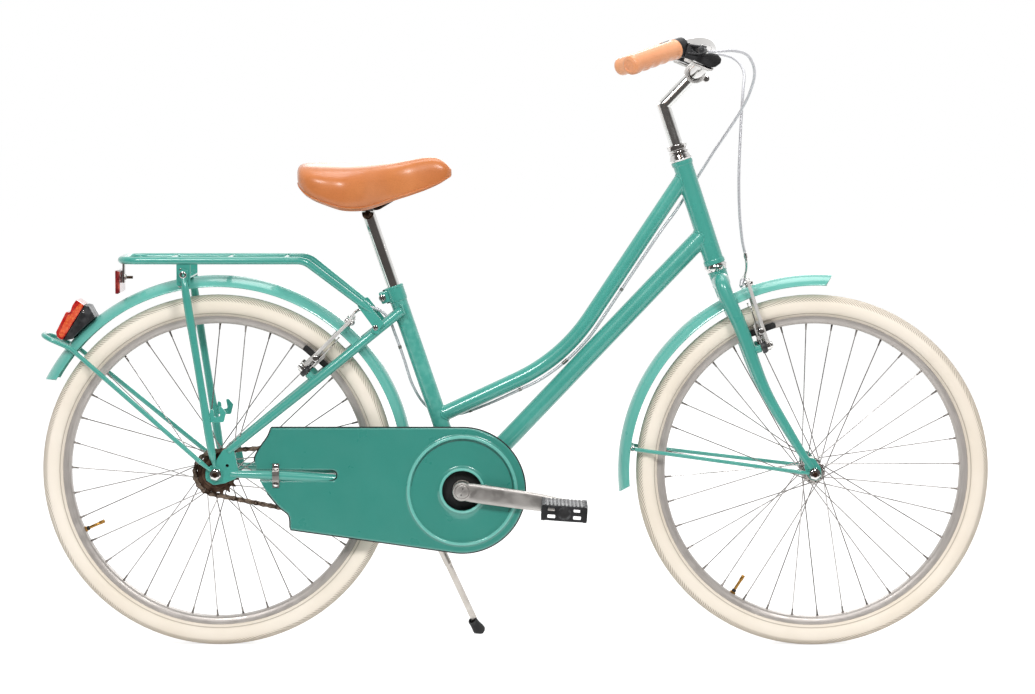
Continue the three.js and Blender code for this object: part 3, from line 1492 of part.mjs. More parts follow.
function freewheel() {
  const seatBore = boreAround(freewheelSeatRadius, tubeSides);
  const teeth = toothedWheel(sprocketTeeth, sprocketRadius, sprocketPhase, seatBore);
  const face = -chainlineOffset + sprocketThickness / 2;
  const body = turned([
    [seatBore, face],
    [freewheelRadius, face],
    [freewheelRadius, face - freewheelLength * 0.7],
    [freewheelSeatRadius + 2 * rackEyeThickness, face - freewheelLength * 0.75],
    [seatBore, face - freewheelLength * 0.75],
    [seatBore, face],
  ], at(0, 0, 0), sideways, tubeSides);
  return joined(teeth, body);
}

add('freewheel_sprocket', freewheel(), chainSteel).position.copy(rearHub);

// Cranks and pedals

const crankBossRadius = 16;
const crankEyeRadius = 12;
const pedalAxleRadius = 4.5;
const pedalGap = 8;
const pedalStart = crankArmPlane + crankArmThickness + pedalGap;
const crankDirection = at(Math.cos(radians(restingCrankAngle)), 0, -Math.sin(radians(restingCrankAngle)));
const spindleReach = crankArmPlane + crankArmThickness;

// The spindle, stopping short of each arm's outer face.
function crankSpindle() {
  const reach = spindleReach - crankArmThickness * 0.3;
  return rod(along(crankAxle, sideways, -reach), along(crankAxle, sideways, reach), spindleRadius, tubeSides);
}

// An arm on +Y along the resting crank direction, with a boss on the spindle and the pedal's axle.
function crankArm(direction, bossStart) {
  const eyeCentre = along(crankAxle, direction, crankLength);
  const across = at(-direction.z, 0, direction.x);
  const section = (share, halfWidth, y) => {
    const centre = along(crankAxle, direction, crankLength * share).setY(y);
    const half = crankArmThickness / 2;
    return [[-1, -0.6], [-0.6, -1], [0.6, -1], [1, -0.6], [1, 0.6], [0.6, 1], [-0.6, 1], [-1, 0.6]]
      .map(([s, t]) => along(along(centre, across, s * halfWidth), sideways, t * half));
  };
  const middle = crankArmPlane + crankArmThickness / 2;
  const arm = loft([
    section(0, crankBossRadius * 0.8, middle),
    section(0.2, crankBossRadius * 0.72, middle),
    section(0.6, crankEyeRadius * 0.8, middle),
    section(1, crankEyeRadius * 0.85, middle),
  ]);
  const bossEnd = crankAxle.clone().setY(spindleReach);
  const boss = rod(crankAxle.clone().setY(bossStart), bossEnd, crankBossRadius, tubeSides);
  const eyeEnd = eyeCentre.clone().setY(spindleReach);
  const eye = rod(eyeCentre.clone().setY(crankArmPlane), eyeEnd, crankEyeRadius);
  const pedalPin = rod(
    eyeCentre.clone().setY(crankArmPlane + clearance),
    eyeCentre.clone().setY(pedalStart + pedalWidth * 0.8),
    pedalAxleRadius,
  );
  const spindleBore = rod(
    at(crankAxle.x, 0, crankAxle.z),
    at(crankAxle.x, spindleReach - crankArmThickness * 0.3 + clearance, crankAxle.z),
    boreAround(spindleRadius, tubeSides),
    tubeSides,
  );
  return cutBy(joined(arm, boss, eye, pedalPin), spindleBore);
}

// A cage pedal on +Y: a barrel on the crank's axle, two toothed treads and the end plates that join them.
function pedal() {
  const treadThickness = 11;
  const barHalf = pedalHeight / 2;
  const from = pedalStart;
  const to = pedalStart + pedalWidth;
  const treads = [-1, 1].map((side) => {
    const x = side * (pedalLength - treadThickness) / 2;
    const notches = 3;
    const outline = [];
    const toothShares = [[0.08, 1], [0.62, 1], [0.7, 0.72], [0.98, 0.72]];
    for (let i = 0; i < notches; i++) {
      outline.push(...toothShares.map(([y, z]) => [(i + y) / notches, z]));
    }
    const whole = [...outline, ...outline.toReversed().map(([y, z]) => [y, -z])];
    const face = (shift) => whole.map(([y, z]) => at(x + shift, from + y * pedalWidth, z * barHalf));
    return loft([face(-treadThickness / 2), face(treadThickness / 2)]);
  });
  const plateThickness = 6;
  const plateInset = plateThickness * 0.5 + pedalWidth * 0.02;
  const plates = [from + plateInset, to - plateInset]
    .map((y) => block(at(0, y, 0), at(pedalLength - treadThickness, plateThickness, pedalHeight * 0.6)));
  const barrelRadius = pedalHeight * 0.36;
  const barrel = rod(at(0, from, 0), at(0, to - plateThickness, 0), barrelRadius);
  const boreEnd = at(0, from + pedalWidth * 0.8 + clearance, 0);
  const bore = rod(at(0, 0, 0), boreEnd, boreAround(pedalAxleRadius, tubeSides), tubeSides);
  return cutBy(joined(treads, plates, barrel), bore);
}

// The crank case's hole lets the right arm's longer boss reach the chainring.
const leftArm = crankArm(crankDirection.clone().negate(), shellWidth / 2 + shellWall);
const rightArm = mirrored(crankArm(crankDirection, chainlineOffset + sprocketThickness / 2 + clearance));
add('crank_spindle', crankSpindle(), chrome);
add('left_crank', leftArm, alloy);
add('right_crank', rightArm, alloy);
const leftPedal = pedal();
add('left_pedal', leftPedal, blackPlastic).position.copy(along(crankAxle, crankDirection, -crankLength));
const rightPedal = mirrored(leftPedal);
add('right_pedal', rightPedal, blackPlastic).position.copy(along(crankAxle, crankDirection, crankLength));

// Chain case

const caseFace = 58;
const caseDepth = 20;
const caseWall = 1.5;
const caseRadius = 104.5;
const caseRingRadius = 90;
const caseHoleRadius = 28.6;
const caseArcSteps = 20;
const caseDish = 3;
const caseTailReach = 286;
const caseLean = radians(8.1);
const caseSlotReach = 120;
const caseClipSetback = 34;
const caseTail = crankAxle.x - 1.2 * caseTailReach;
const caseSlotHalf = stayRadius + 2 * clearance;
// The case's tail edge from top to bottom, as shares of its reach and radius from the crank axle.
const caseTailShares = [
  [-1.105, 1],
  [-1.126, 0.86],
  [-1.163, 0.715],
  [-1.201, 0.53],
  [-1.203, 0.4],
  [-1.17, 0.17],
  [-1.14, -0.01],
  [-1.06, -0.27],
  [-1.007, -0.4],
  [-0.998, -0.625],
];

// Its outline, or with an inset that of the hollow inside, which runs on past the open tail.
function caseOutline(inset) {
  const radius = caseRadius - inset;
  const tail = caseTailShares.map(([x, z]) => [
    crankAxle.x + x * caseTailReach - (inset ? overrun : 0),
    crankAxle.z + z * radius,
  ]);
  const stop = -Math.PI / 2 - caseLean;
  const arc = Array.from({ length: caseArcSteps + 1 }, (_, i) => {
    const angle = THREE.MathUtils.lerp(stop, Math.PI / 2, i / caseArcSteps);
    return [crankAxle.x + radius * Math.cos(angle), crankAxle.z + radius * Math.sin(angle)];
  });
  return [...arc, ...tail];
}

// A thin shell, open towards the wheel: cover, rim wall, raised ring, lip of the hole and the stay's slot.
function chainCase() {
  const outside = plate(caseOutline(0), -caseFace, -caseFace + caseDepth);
  const inside = plate(caseOutline(caseWall), -caseFace + caseWall, -caseFace + caseDepth + overrun);
  const ridge = turned([
    [caseRingRadius - 3 * caseWall, -caseFace + caseWall / 2],
    [caseRingRadius - caseWall, -caseFace - caseWall],
    [caseRingRadius + caseWall, -caseFace - caseWall],
    [caseRingRadius + 3 * caseWall, -caseFace + caseWall / 2],
    [caseRingRadius - 3 * caseWall, -caseFace + caseWall / 2],
  ], crankAxle, sideways, 2 * smallSides);
  const lip = turned([
    [caseHoleRadius, -caseFace + caseWall],
    [caseHoleRadius, -caseFace - caseDish],
    [caseHoleRadius + caseDish, -caseFace - caseDish],
    [caseHoleRadius + 3 * caseDish, -caseFace + caseWall / 2],
    [caseHoleRadius, -caseFace + caseWall],
  ], crankAxle, sideways, 2 * smallSides);
  const opening = rod(
    at(crankAxle.x, -2 * caseFace, crankAxle.z),
    crankAxle,
    caseHoleRadius,
    2 * smallSides,
  );
  const slotEnd = caseTail + caseSlotReach + 2 * stayRadius;
  const slotCentre = chainStayShare(0.2);
  const slot = block(
    at(slotEnd - caseTailReach / 2, -caseFace, slotCentre.z),
    at(caseTailReach, 2 * caseDepth, 2 * caseSlotHalf),
  );
  const stayRoom = mirrored(tapered(chainStay, chainStayRadii.map((radius) => radius + 3 * clearance)));
  return cutBy(joined(cutBy(outside, inside), ridge, lip), opening, slot, stayRoom);
}

add('chain_case', chainCase(), paint);

// A saddle clip that holds the case to the chainstay, with a screw above and below.
function chainCaseClip() {
  const width = 14;
  const screwRadius = 3.5;
  const reach = caseSlotHalf + screwRadius;
  const middle = chainStayAt(caseTail + caseClipSetback);
  const face = caseFace + clearance;
  const ends = [-1, 1].map((side) => Math.abs(chainStayAt(middle.x + side * width / 2).y));
  const outer = Math.max(...ends) + stayRadius + clearance;
  const strap = block(
    at(middle.x, -(outer + tubeWall / 2), middle.z),
    at(width, tubeWall, 2 * caseSlotHalf),
  );
  const legs = [-1, 1].map((side) => block(
    at(middle.x, -(outer + tubeWall + face) / 2, middle.z + side * (caseSlotHalf + tubeWall / 2)),
    at(width, outer + tubeWall - face, tubeWall),
  ));
  const tabs = [-1, 1].map((side) => block(
    at(middle.x, -(face + tubeWall / 2), middle.z + side * (reach + screwRadius / 2)),
    at(width, tubeWall, 3 * screwRadius),
  ));
  const screws = [-1, 1].map((side) => rod(
    at(middle.x, -face - 2 * tubeWall, middle.z + side * (reach + screwRadius / 2)),
    at(middle.x, -face, middle.z + side * (reach + screwRadius / 2)),
    screwRadius,
  ));
  return joined(strap, legs, tabs, screws);
}

add('chain_case_clip', chainCaseClip(), chrome);

// Saddle

const saddlePivot = along(seatTubeTop, seatUp, seatPostRise);
const saddleRear = saddlePivot.x - saddleSetback;
const saddleCrown = saddlePivot.z + saddleRise;

// Cross-sections from rear to nose: place along the length, half width, and top and bottom below the crown.
const saddleSections = [
  [0, 0.5, 0.2, 0.42],
  [0.03, 0.8, 0.13, 0.62],
  [0.1, 0.95, 0.115, 0.78],
  [0.2, 1, 0.115, 0.9],
  [0.3, 0.98, 0.12, 0.99],
  [0.42, 0.82, 0.12, 1],
  [0.52, 0.6, 0.115, 0.93],
  [0.62, 0.4, 0.1, 0.83],
  [0.72, 0.29, 0.06, 0.74],
  [0.82, 0.25, 0.01, 0.64],
  [0.9, 0.23, 0.01, 0.54],
  [0.96, 0.2, 0.1, 0.44],
  [1, 0.1, 0.24, 0.36],
];
// Half of a cross-section from the crown down the side and in underneath: shares of half width and depth.
const saddleHalfShares = [
  [0, 0],
  [0.45, 0.03],
  [0.78, 0.13],
  [0.96, 0.34],
  [1, 0.6],
  [0.95, 0.88],
  [0.82, 1],
  [0.7, 0.92],
  [0.4, 0.66],
  [0, 0.6],
];

function saddle() {
  return loft(saddleSections.map(([place, width, top, bottom]) => {
    const x = saddleRear + place * saddleLength;
    const depth = (bottom - top) * saddleHeight;
    const crown = saddleCrown - top * saddleHeight;
    const point = (side, [y, z]) => at(x, side * y * width * saddleWidth / 2, crown - z * depth);
    const left = saddleHalfShares.map((shares) => point(1, shares));
    const right = saddleHalfShares.slice(1, -1).toReversed().map((shares) => point(-1, shares));
    return [...left, ...right];
  }));
}

const railRadius = 3.5;
const railSpread = 22;
const knuckleRadius = 9;
const knuckleWidth = 26;

// The rails, bent up into the shell at both ends, and the cheeks that clamp them to the post's knuckle.
function saddleRails() {
  const rise = (share) => saddlePivot.z + knuckleRadius + share * saddleHeight;
  const rail = rounded([
    at(saddleRear + 0.1 * saddleLength, railSpread * 1.5, rise(0.383)),
    at(saddleRear + 0.18 * saddleLength, railSpread, rise(0.05)),
    at(saddleRear + 0.62 * saddleLength, railSpread, rise(0)),
    at(saddleRear + 0.83 * saddleLength, railSpread * 0.35, rise(0.515)),
  ], 4 * railRadius, 4);
  const cheekY = knuckleWidth / 2 + clearance;
  const cheekEnd = along(saddlePivot, sideways, cheekY + railRadius * 2);
  const cheek = rod(along(saddlePivot, sideways, cheekY), cheekEnd, knuckleRadius * 1.3);
  const riser = block(
    at(saddlePivot.x, (cheekY + railSpread + railRadius) / 2, saddlePivot.z + knuckleRadius * 0.6),
    at(knuckleRadius * 2, railSpread + railRadius - cheekY, knuckleRadius),
  );
  const side = joined(bent(rail, railRadius, wireSides), cheek, riser);
  const yokeX = saddleRear + 0.2 * saddleLength;
  const yokeEnd = at(yokeX, railSpread * 1.25, rise(0.04));
  const yoke = rod(flipped(yokeEnd), yokeEnd, railRadius * 1.5, wireSides);
  const boltEnd = along(saddlePivot, sideways, cheekY + railRadius);
  boltEnd.z += knuckleRadius + clearance + railRadius * 1.4;
  const bridge = rod(flipped(boltEnd), boltEnd, railRadius * 1.2, wireSides);
  return joined(side, mirrored(side), yoke, bridge);
}

// The post, with the cross knuckle that the saddle tilts about.
function seatPost() {
  const foot = along(seatTubeTop, seatUp, -seatPostInsertionLength);
  const post = rod(foot, saddlePivot, seatPostRadius, tubeSides);
  const knuckle = rod(
    along(saddlePivot, sideways, -knuckleWidth / 2),
    along(saddlePivot, sideways, knuckleWidth / 2),
    knuckleRadius,
    tubeSides,
  );
  return joined(post, knuckle);
}

add('seat_post', seatPost(), chrome);
const rails = saddleRails();
add('saddle_rails', rails, blackPlastic);
add('saddle', saddle(), tanLeather);

// Side stand

const standRadius = 5.5;
const standKnuckleRadius = 9;
const standKnuckleWidth = 16;
const standPinRadius = 4;
const standAxis = at(0, Math.cos(radians(kickstandTilt)), Math.sin(radians(kickstandTilt)));
const standRise = at(0, -standAxis.z, standAxis.y);
const standSetback = 80;
const standSpread = 38;
const standFootForward = 106;
const standFootSpread = 103;
const standKneeForward = 68;
const standKneeSpread = 50;
const standKneeHeight = 70;
const standFootRadius = 10;
const standFootHeight = 28;
const standPlateThickness = 6;
const standPlateLength = 45;
const standPivotX = crankAxle.x - standSetback;
const standStayUnder = chainStayAt(standPivotX + standPlateLength / 2).z - stayRadius;
const standPlateTop = standStayUnder - clearance;
const standPivot = at(
  standPivotX,
  standSpread,
  standPlateTop - standPlateThickness - standKnuckleRadius - 2 * clearance,
);
const standKnee = at(standPivotX + standKneeForward, standKneeSpread, standKneeHeight);
const standFoot = at(standPivotX + standFootForward, standFootSpread, standRadius);

// The plate under the chainstays, with the two ears that hold the stand's pivot.
function kickstandMount() {
  const earThickness = standPlateThickness / 2;
  const inner = standKnuckleWidth / 2 + clearance;
  const left = standPivot.y + inner + 2 * earThickness;
  const right = -chainStayAt(standPivotX).y;
  const base = block(
    at(standPivotX, (left + right) / 2, standPlateTop - standPlateThickness / 2),
    at(standPlateLength, left - right, standPlateThickness),
  );
  const ears = [-1, 1].map((side) => {
    const disc = rod(
      along(standPivot, standAxis, side * inner),
      along(standPivot, standAxis, side * (inner + earThickness)),
      standKnuckleRadius,
    );
    const neckHeight = standPlateTop - standPivot.z - standPlateThickness / 2;
    const neckWidth = 2 * standKnuckleRadius * Math.cos(Math.PI / smallSides);
    const neck = placed(
      new THREE.BoxGeometry(neckWidth, earThickness, neckHeight),
      along(along(standPivot, standAxis, side * (inner + earThickness / 2)), standRise, neckHeight / 2),
      standRise,
      at(1, 0, 0),
    );
    return joined(disc, neck);
  });
  const pinReach = inner + earThickness / 2;
  const pinStart = along(standPivot, standAxis, -pinReach);
  const pin = rod(pinStart, along(standPivot, standAxis, pinReach), standPinRadius);
  return joined(base, ears, pin);
}

function kickstandLeg() {
  const stations = rounded([
    standPivot.clone(),
    standKnee,
    standFoot,
  ], 6 * standRadius, 3);
  const knuckle = rod(
    along(standPivot, standAxis, -standKnuckleWidth / 2),
    along(standPivot, standAxis, standKnuckleWidth / 2),
    standKnuckleRadius,
    tubeSides,
  );
  const bore = rod(
    along(standPivot, standAxis, -standKnuckleWidth),
    along(standPivot, standAxis, standKnuckleWidth),
    boreAround(standPinRadius, tubeSides),
    tubeSides,
  );
  return cutBy(joined(bent(stations, standRadius), knuckle), bore);
}

const standLeg = kickstandLeg();

// The rubber foot, a cup round the leg's end that stands flat on the ground.
function kickstandFoot() {
  const direction = standKnee.clone().sub(standFoot).normalize();
  const top = along(standFoot, direction, standFootHeight);
  const outer = tapered(
    [along(standFoot, direction, -2 * standRadius), standFoot, top],
    [standFootRadius, standFootRadius, standFootRadius * 0.8],
  );
  const ground = block(
    at(standFoot.x, standFoot.y, -standFootHeight),
    at(4 * standFootHeight, 4 * standFootHeight, 2 * standFootHeight),
  );
  const socket = rod(
    along(standFoot, direction, -clearance),
    along(top, direction, standFootHeight),
    boreAround(standRadius, tubeSides),
    tubeSides,
  );
  return cutBy(outer, ground, socket);
}

add('kickstand_mount', kickstandMount(), paint);
add('kickstand_leg', standLeg, chrome);
add('kickstand_foot', kickstandFoot(), blackPlastic);

// Brake cables, routed by hand in the bike's frame.

const cableRadius = 2.5;
const barrelDirection = barrelEnd.clone().sub(barrelStart).normalize();
const cableStart = [
  along(barrelEnd, barrelDirection, clearance),
  along(barrelEnd, barrelDirection, barrelLength / 2),
];

// From the right lever, past the left of the head tube, under the upper tube and up behind the seat tube.
const rearCableRoute = [
  [352, -150, 992],
  [378, -118, 984],
  [391, -84, 958],
  [386, -48, 925],
  [372, -14, 892],
  [352, 12, 858],
  [330, 25, 824],
  [309, 29, 790],
  [288, 26, 758],
  [268, 12, 728],
  [246, 2, 699],
  [194, 0, 622],
  [141, 0, 542],
  [124, 0, 518],
  [104, 0, 496],
  [83, 0, 476],
  [60, 0, 458],
  [35, 0, 442],
  [8, 2, 429],
  [-50, 10, 402],
  [-98, 22, 385],
  [-128, 27, 384],
  [-152, 22, 402],
  [-172, 8, 436],
  [-186, 0, 480],
  [-200, 0, 520],
  [-214, 0, 552],
  [-236, 0, 566],
  [-262, 8, 563],
];

// From the left lever, round in front of the head tube and down to the front brake's noodle.
const frontCableRoute = [
  [352, 150, 988],
  [374, 112, 978],
  [384, 74, 958],
  [381, 44, 930],
  [377, 22, 890],
  [374, 10, 840],
  [372, 4, 780],
  [374, 8, 720],
  [380, 18, 672],
  [387, 24, 640],
];

function cable(start, route) {
  const points = [...start.slice(1), ...route.map(([x, y, z]) => at(x, y, z))];
  return bent([start[0], ...smooth(points, Math.round(points.length * 1.2))], cableRadius, wireSides);
}

add('rear_brake_cable', cable(cableStart.map(flipped), rearCableRoute), cableHousing);
add('front_brake_cable', cable(cableStart, frontCableRoute), cableHousing);

export default group;
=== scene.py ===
# Looks of the step-through city bike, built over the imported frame.
# Lengths are millimetres until a mesh is made.
import json
import math
import bmesh
import bpy
from mathutils import Matrix, Vector


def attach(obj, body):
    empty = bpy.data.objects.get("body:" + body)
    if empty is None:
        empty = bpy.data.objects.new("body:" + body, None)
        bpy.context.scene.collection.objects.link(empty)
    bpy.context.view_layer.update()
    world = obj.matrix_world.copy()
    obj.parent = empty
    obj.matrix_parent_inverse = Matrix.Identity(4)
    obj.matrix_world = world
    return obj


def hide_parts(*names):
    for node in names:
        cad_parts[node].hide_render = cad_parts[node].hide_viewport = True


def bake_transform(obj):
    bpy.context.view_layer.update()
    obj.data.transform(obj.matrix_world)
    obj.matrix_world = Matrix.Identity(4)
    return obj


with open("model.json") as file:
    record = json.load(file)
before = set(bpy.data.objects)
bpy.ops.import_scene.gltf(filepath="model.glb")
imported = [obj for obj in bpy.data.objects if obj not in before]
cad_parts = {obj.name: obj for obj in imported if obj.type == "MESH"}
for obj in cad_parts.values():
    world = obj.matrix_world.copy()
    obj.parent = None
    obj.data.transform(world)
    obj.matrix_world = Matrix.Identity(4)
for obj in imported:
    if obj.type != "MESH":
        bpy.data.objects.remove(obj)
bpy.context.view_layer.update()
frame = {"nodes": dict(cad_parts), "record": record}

MM = 0.001
SIDE = Vector((0, 1, 0))
FORWARD = Vector((1, 0, 0))
UP = Vector((0, 0, 1))


# Vectors and paths

def at(x, y, z):
    return Vector((x, y, z))


def flip(point):
    return at(point.x, -point.y, point.z)


def mix(a, b, share):
    return a + (b - a) * share


def polar(centre, degrees, radius, y=0.0):
    turn = math.radians(degrees)
    return at(centre.x + radius * math.cos(turn), y, centre.z + radius * math.sin(turn))


def hand(side):
    return "left" if side > 0 else "right"


def bent(start, corner, end, steps):
    """The Bezier arc that rounds a corner."""
    shares = [i / steps for i in range(steps + 1)]
    return [start * (1 - t) ** 2 + corner * (2 * t * (1 - t)) + end * t * t for t in shares]


def rounded(points, radius, steps=10):
    """A polyline with its corners rounded by Bezier arcs."""
    out = [points[0]]
    for before, corner, after in zip(points, points[1:], points[2:]):
        a, b = (corner - before).normalized(), (after - corner).normalized()
        turn = a.angle(b)
        if turn < 0.02:
            out.append(corner)
            continue
        run = min(radius * math.tan(turn / 2), 0.49 * (corner - before).length,
                  0.49 * (after - corner).length)
        out += bent(corner - a * run, corner, corner + b * run, steps)
    return out + [points[-1]]


def smooth(points, steps=6):
    """A centripetal Catmull-Rom curve; points may carry a radius as a fourth value."""
    points = [Vector(p) for p in points]
    full = [points[0] * 2 - points[1]] + points + [points[-1] * 2 - points[-2]]
    out = []
    for p0, p1, p2, p3 in zip(full, full[1:], full[2:], full[3:]):
        gaps = [max((q - p).length, 1e-6) ** 0.5 for p, q in ((p0, p1), (p1, p2), (p2, p3))]
        m1 = (p1 - p0) / gaps[0] - (p2 - p0) / (gaps[0] + gaps[1]) + (p2 - p1) / gaps[1]
        m2 = (p2 - p1) / gaps[1] - (p3 - p1) / (gaps[1] + gaps[2]) + (p3 - p2) / gaps[2]
        m1, m2 = m1 * gaps[1], m2 * gaps[1]
        for i in range(steps):
            t = i / steps
            a = 2 * t ** 3 - 3 * t ** 2 + 1
            out.append(p1 * a + m1 * (t ** 3 - 2 * t ** 2 + t) + p2 * (1 - a) + m2 * (t ** 3 - t ** 2))
    return out + [points[-1]]


def split_radii(points):
    return [Vector(p[:3]) for p in points], [p[3] for p in points]


def frames(path):
    """Tangent, normal and binormal at each point, without twist."""
    tangents = []
    for i in range(len(path)):
        a, b = path[max(i - 1, 0)], path[min(i + 1, len(path) - 1)]
        tangents.append((b - a).normalized())
    normal = tangents[0].orthogonal().normalized()
    if abs(tangents[0].y) < 0.8:
        normal = (SIDE - tangents[0] * tangents[0].y).normalized()
    out = []
    for i, tangent in enumerate(tangents):
        if i:
            normal = tangents[i - 1].rotation_difference(tangent) @ normal
        normal = (normal - tangent * normal.dot(tangent)).normalized()
        out.append((tangent, normal, tangent.cross(normal)))
    return out


# Shells: (points, faces, uvs)

def skin(rings, loop=False, caps=True, run=None, across=None):
    """A surface through matching rings; run and across are distances for its UVs."""
    rows, count = len(rings), len(rings[0])
    points = [p for ring in rings for p in ring]
    faces, uvs = [], []
    run = run or list(range(rows + 1))
    across = across or [k / count for k in range(count + 1)]
    for i in range(rows if loop else rows - 1):
        j = (i + 1) % rows
        for k in range(count):
            m = (k + 1) % count
            faces.append((i * count + k, i * count + m, j * count + m, j * count + k))
            uvs.append(((across[k], run[i]), (across[k + 1], run[i]), (across[k + 1], run[i + 1]),
                        (across[k], run[i + 1])))
    if caps and not loop:
        for row in (0, rows - 1):
            faces.append(tuple(row * count + k for k in range(count)))
            uvs.append(((0, 0),) * count)
    return points, faces, uvs


def circle(centre, x, y, radius, sides):
    turns = [2 * math.pi * k / sides for k in range(sides)]
    return [centre + x * (radius * math.cos(t)) + y * (radius * math.sin(t)) for t in turns]


def lathe(profile, origin, axis, sides=48, loop=False, x=None):
    """A turned shell from (radius, distance along the axis)."""
    z = axis.normalized()
    x = x or z.orthogonal().normalized()
    y = z.cross(x) if abs(z.y) < 0.99 or x != FORWARD else UP
    rings = [circle(origin + z * h, x, y, max(r, 0.01), sides) for r, h in profile]
    run = [0.0]
    for (r0, h0), (r1, h1) in zip(profile, profile[1:] + profile[:1]):
        run.append(run[-1] + math.hypot(r1 - r0, h1 - h0) * MM)
    reach = max(r for r, _ in profile) * 2 * math.pi * MM
    return skin(rings, loop=loop, caps=not loop, run=run,
                across=[reach * k / sides for k in range(sides + 1)])


def rod(a, b, radius, sides=20, edge=0.6, end_radius=None):
    """A turned pin with eased ends."""
    r2 = radius if end_radius is None else end_radius
    length = (b - a).length
    e = min(edge, radius * 0.6, length * 0.4)
    profile = [(0, 0), (radius - e, 0), (radius - 0.3 * e, 0.3 * e), (radius, e)]
    profile += [(r2, length - e), (r2 - 0.3 * e, length - 0.3 * e), (r2 - e, length), (0, length)]
    return lathe(profile, a, b - a, sides)


def tube(path, radius, sides=20, bulge=0.0):
    """A tube along a path, with one radius or one per point; bulge rounds its ends."""
    radii = list(radius) if isinstance(radius, (list, tuple)) else [radius] * len(path)
    marks = list(zip(path, radii, frames(path)))

    def dome(mark, way, turns):
        p, r, axes = mark
        return [(p + axes[0] * way * r * bulge * math.sin(math.radians(a)), r * math.cos(math.radians(a)),
                 axes)
                for a in turns]
    if bulge:
        marks = dome(marks[0], -1, (82, 60, 32)) + marks + dome(marks[-1], 1, (32, 60, 82))
    rings = [circle(p, n, b, r, sides) for p, r, (_, n, b) in marks]
    run = [0.0]
    for before, mark in zip(marks, marks[1:]):
        run.append(run[-1] + (mark[0] - before[0]).length * MM)
    around = 2 * math.pi * max(radii) * MM
    return skin(rings, run=run + [run[-1]], across=[around * k / sides for k in range(sides + 1)])


def from_bmesh(bm):
    bm.verts.index_update()
    shell = [v.co.copy() for v in bm.verts], [tuple(v.index for v in f.verts) for f in bm.faces], None
    bm.free()
    return shell


def box(centre, size, bevel=0.8, x=FORWARD, z=UP, segments=2):
    """A block with eased edges."""
    bm = bmesh.new()
    bmesh.ops.create_cube(bm, size=1.0)
    bmesh.ops.scale(bm, vec=size, verts=bm.verts)
    reach = min(bevel, 0.45 * min(size))
    bmesh.ops.bevel(bm, geom=bm.edges[:], offset=reach, segments=segments, profile=0.6, affect="EDGES")
    z = z.normalized()
    y = z.cross(x).normalized()
    bm.transform(Matrix.Translation(centre) @ Matrix((y.cross(z), y, z)).transposed().to_4x4())
    return from_bmesh(bm)


def plate(outline, thickness, place, bevel=0.5, holes=(), segments=2):
    """An outline with holes, thickened both ways about its plane; place maps (s, t, height) to a point."""
    bm = bmesh.new()
    edges = []
    for loop in [outline, *holes]:
        verts = [bm.verts.new((s, t, -thickness / 2)) for s, t in loop]
        edges += [bm.edges.new((a, b)) for a, b in zip(verts, verts[1:] + verts[:1])]
    if holes:
        bmesh.ops.triangle_fill(bm, edges=edges, use_beauty=True)
    else:
        bm.faces.new(verts)
    grown = bmesh.ops.extrude_face_region(bm, geom=bm.faces[:])
    bmesh.ops.translate(bm, verts=[g for g in grown["geom"] if isinstance(g, bmesh.types.BMVert)],
                        vec=(0, 0, thickness))
    bmesh.ops.recalc_face_normals(bm, faces=bm.faces[:])
    if bevel:
        rims = [e for e in bm.edges if e.is_manifold and e.calc_face_angle() > 0.9]
        bmesh.ops.bevel(bm, geom=rims, offset=min(bevel, thickness * 0.45), segments=segments, profile=0.6,
                        affect="EDGES")
    for v in bm.verts:
        v.co = place(*v.co)
    return from_bmesh(bm)


def ring2d(x, z, radius, sides=28):
    turns = [2 * math.pi * k / sides for k in range(sides)]
    return [(x + radius * math.cos(t), z + radius * math.sin(t)) for t in turns]


def eased(outline, radius, steps=4):
    """A closed 2-D outline with rounded corners."""
    out = []
    count = len(outline)
    for i, corner in enumerate(outline):
        c = Vector(corner)
        before, after = Vector(outline[i - 1]), Vector(outline[(i + 1) % count])
        a, b = (c - before), (after - c)
        turn = a.angle(b)
        run = min(radius * math.tan(turn / 2), 0.45 * a.length, 0.45 * b.length)
        start, end = c - a.normalized() * run, c + b.normalized() * run
        out += [(q.x, q.y) for q in bent(start, c, end, steps)]
    return out


def sized(marks, size, origin=Vector((0, 0, 0))):
    """An outline given in shares of a size, laid round a point of the X-Z plane."""
    return [(origin.x + x * size, origin.z + z * size) for x, z in marks]


def upright(y):
    """Places plates in the X-Z plane at one y."""
    return lambda s, t, h: at(s, y + h, t)


def hexnut(origin, axis, radius, height, chamfer=0.8):
    body = [(0, 0), (radius - 0.2, 0), (radius, chamfer * 0.4), (radius, height - chamfer),
            (radius - chamfer * 1.4, height), (0, height)]
    return lathe(body, origin, axis, 6)


def screw(origin, axis, radius, height, socket=0.5, dome=0.25):
    """A round head with a socket."""
    s = radius * socket
    profile = [(0, 0), (radius, 0), (radius, height * (1 - dome)),
               (radius * 0.93, height * (1 - dome * 0.35)), (radius * 0.75, height)]
    profile += [(s + 0.2, height), (s, height - 0.3), (s, height * 0.35), (0, height * 0.3)]
    return lathe(profile, origin, axis, 24)


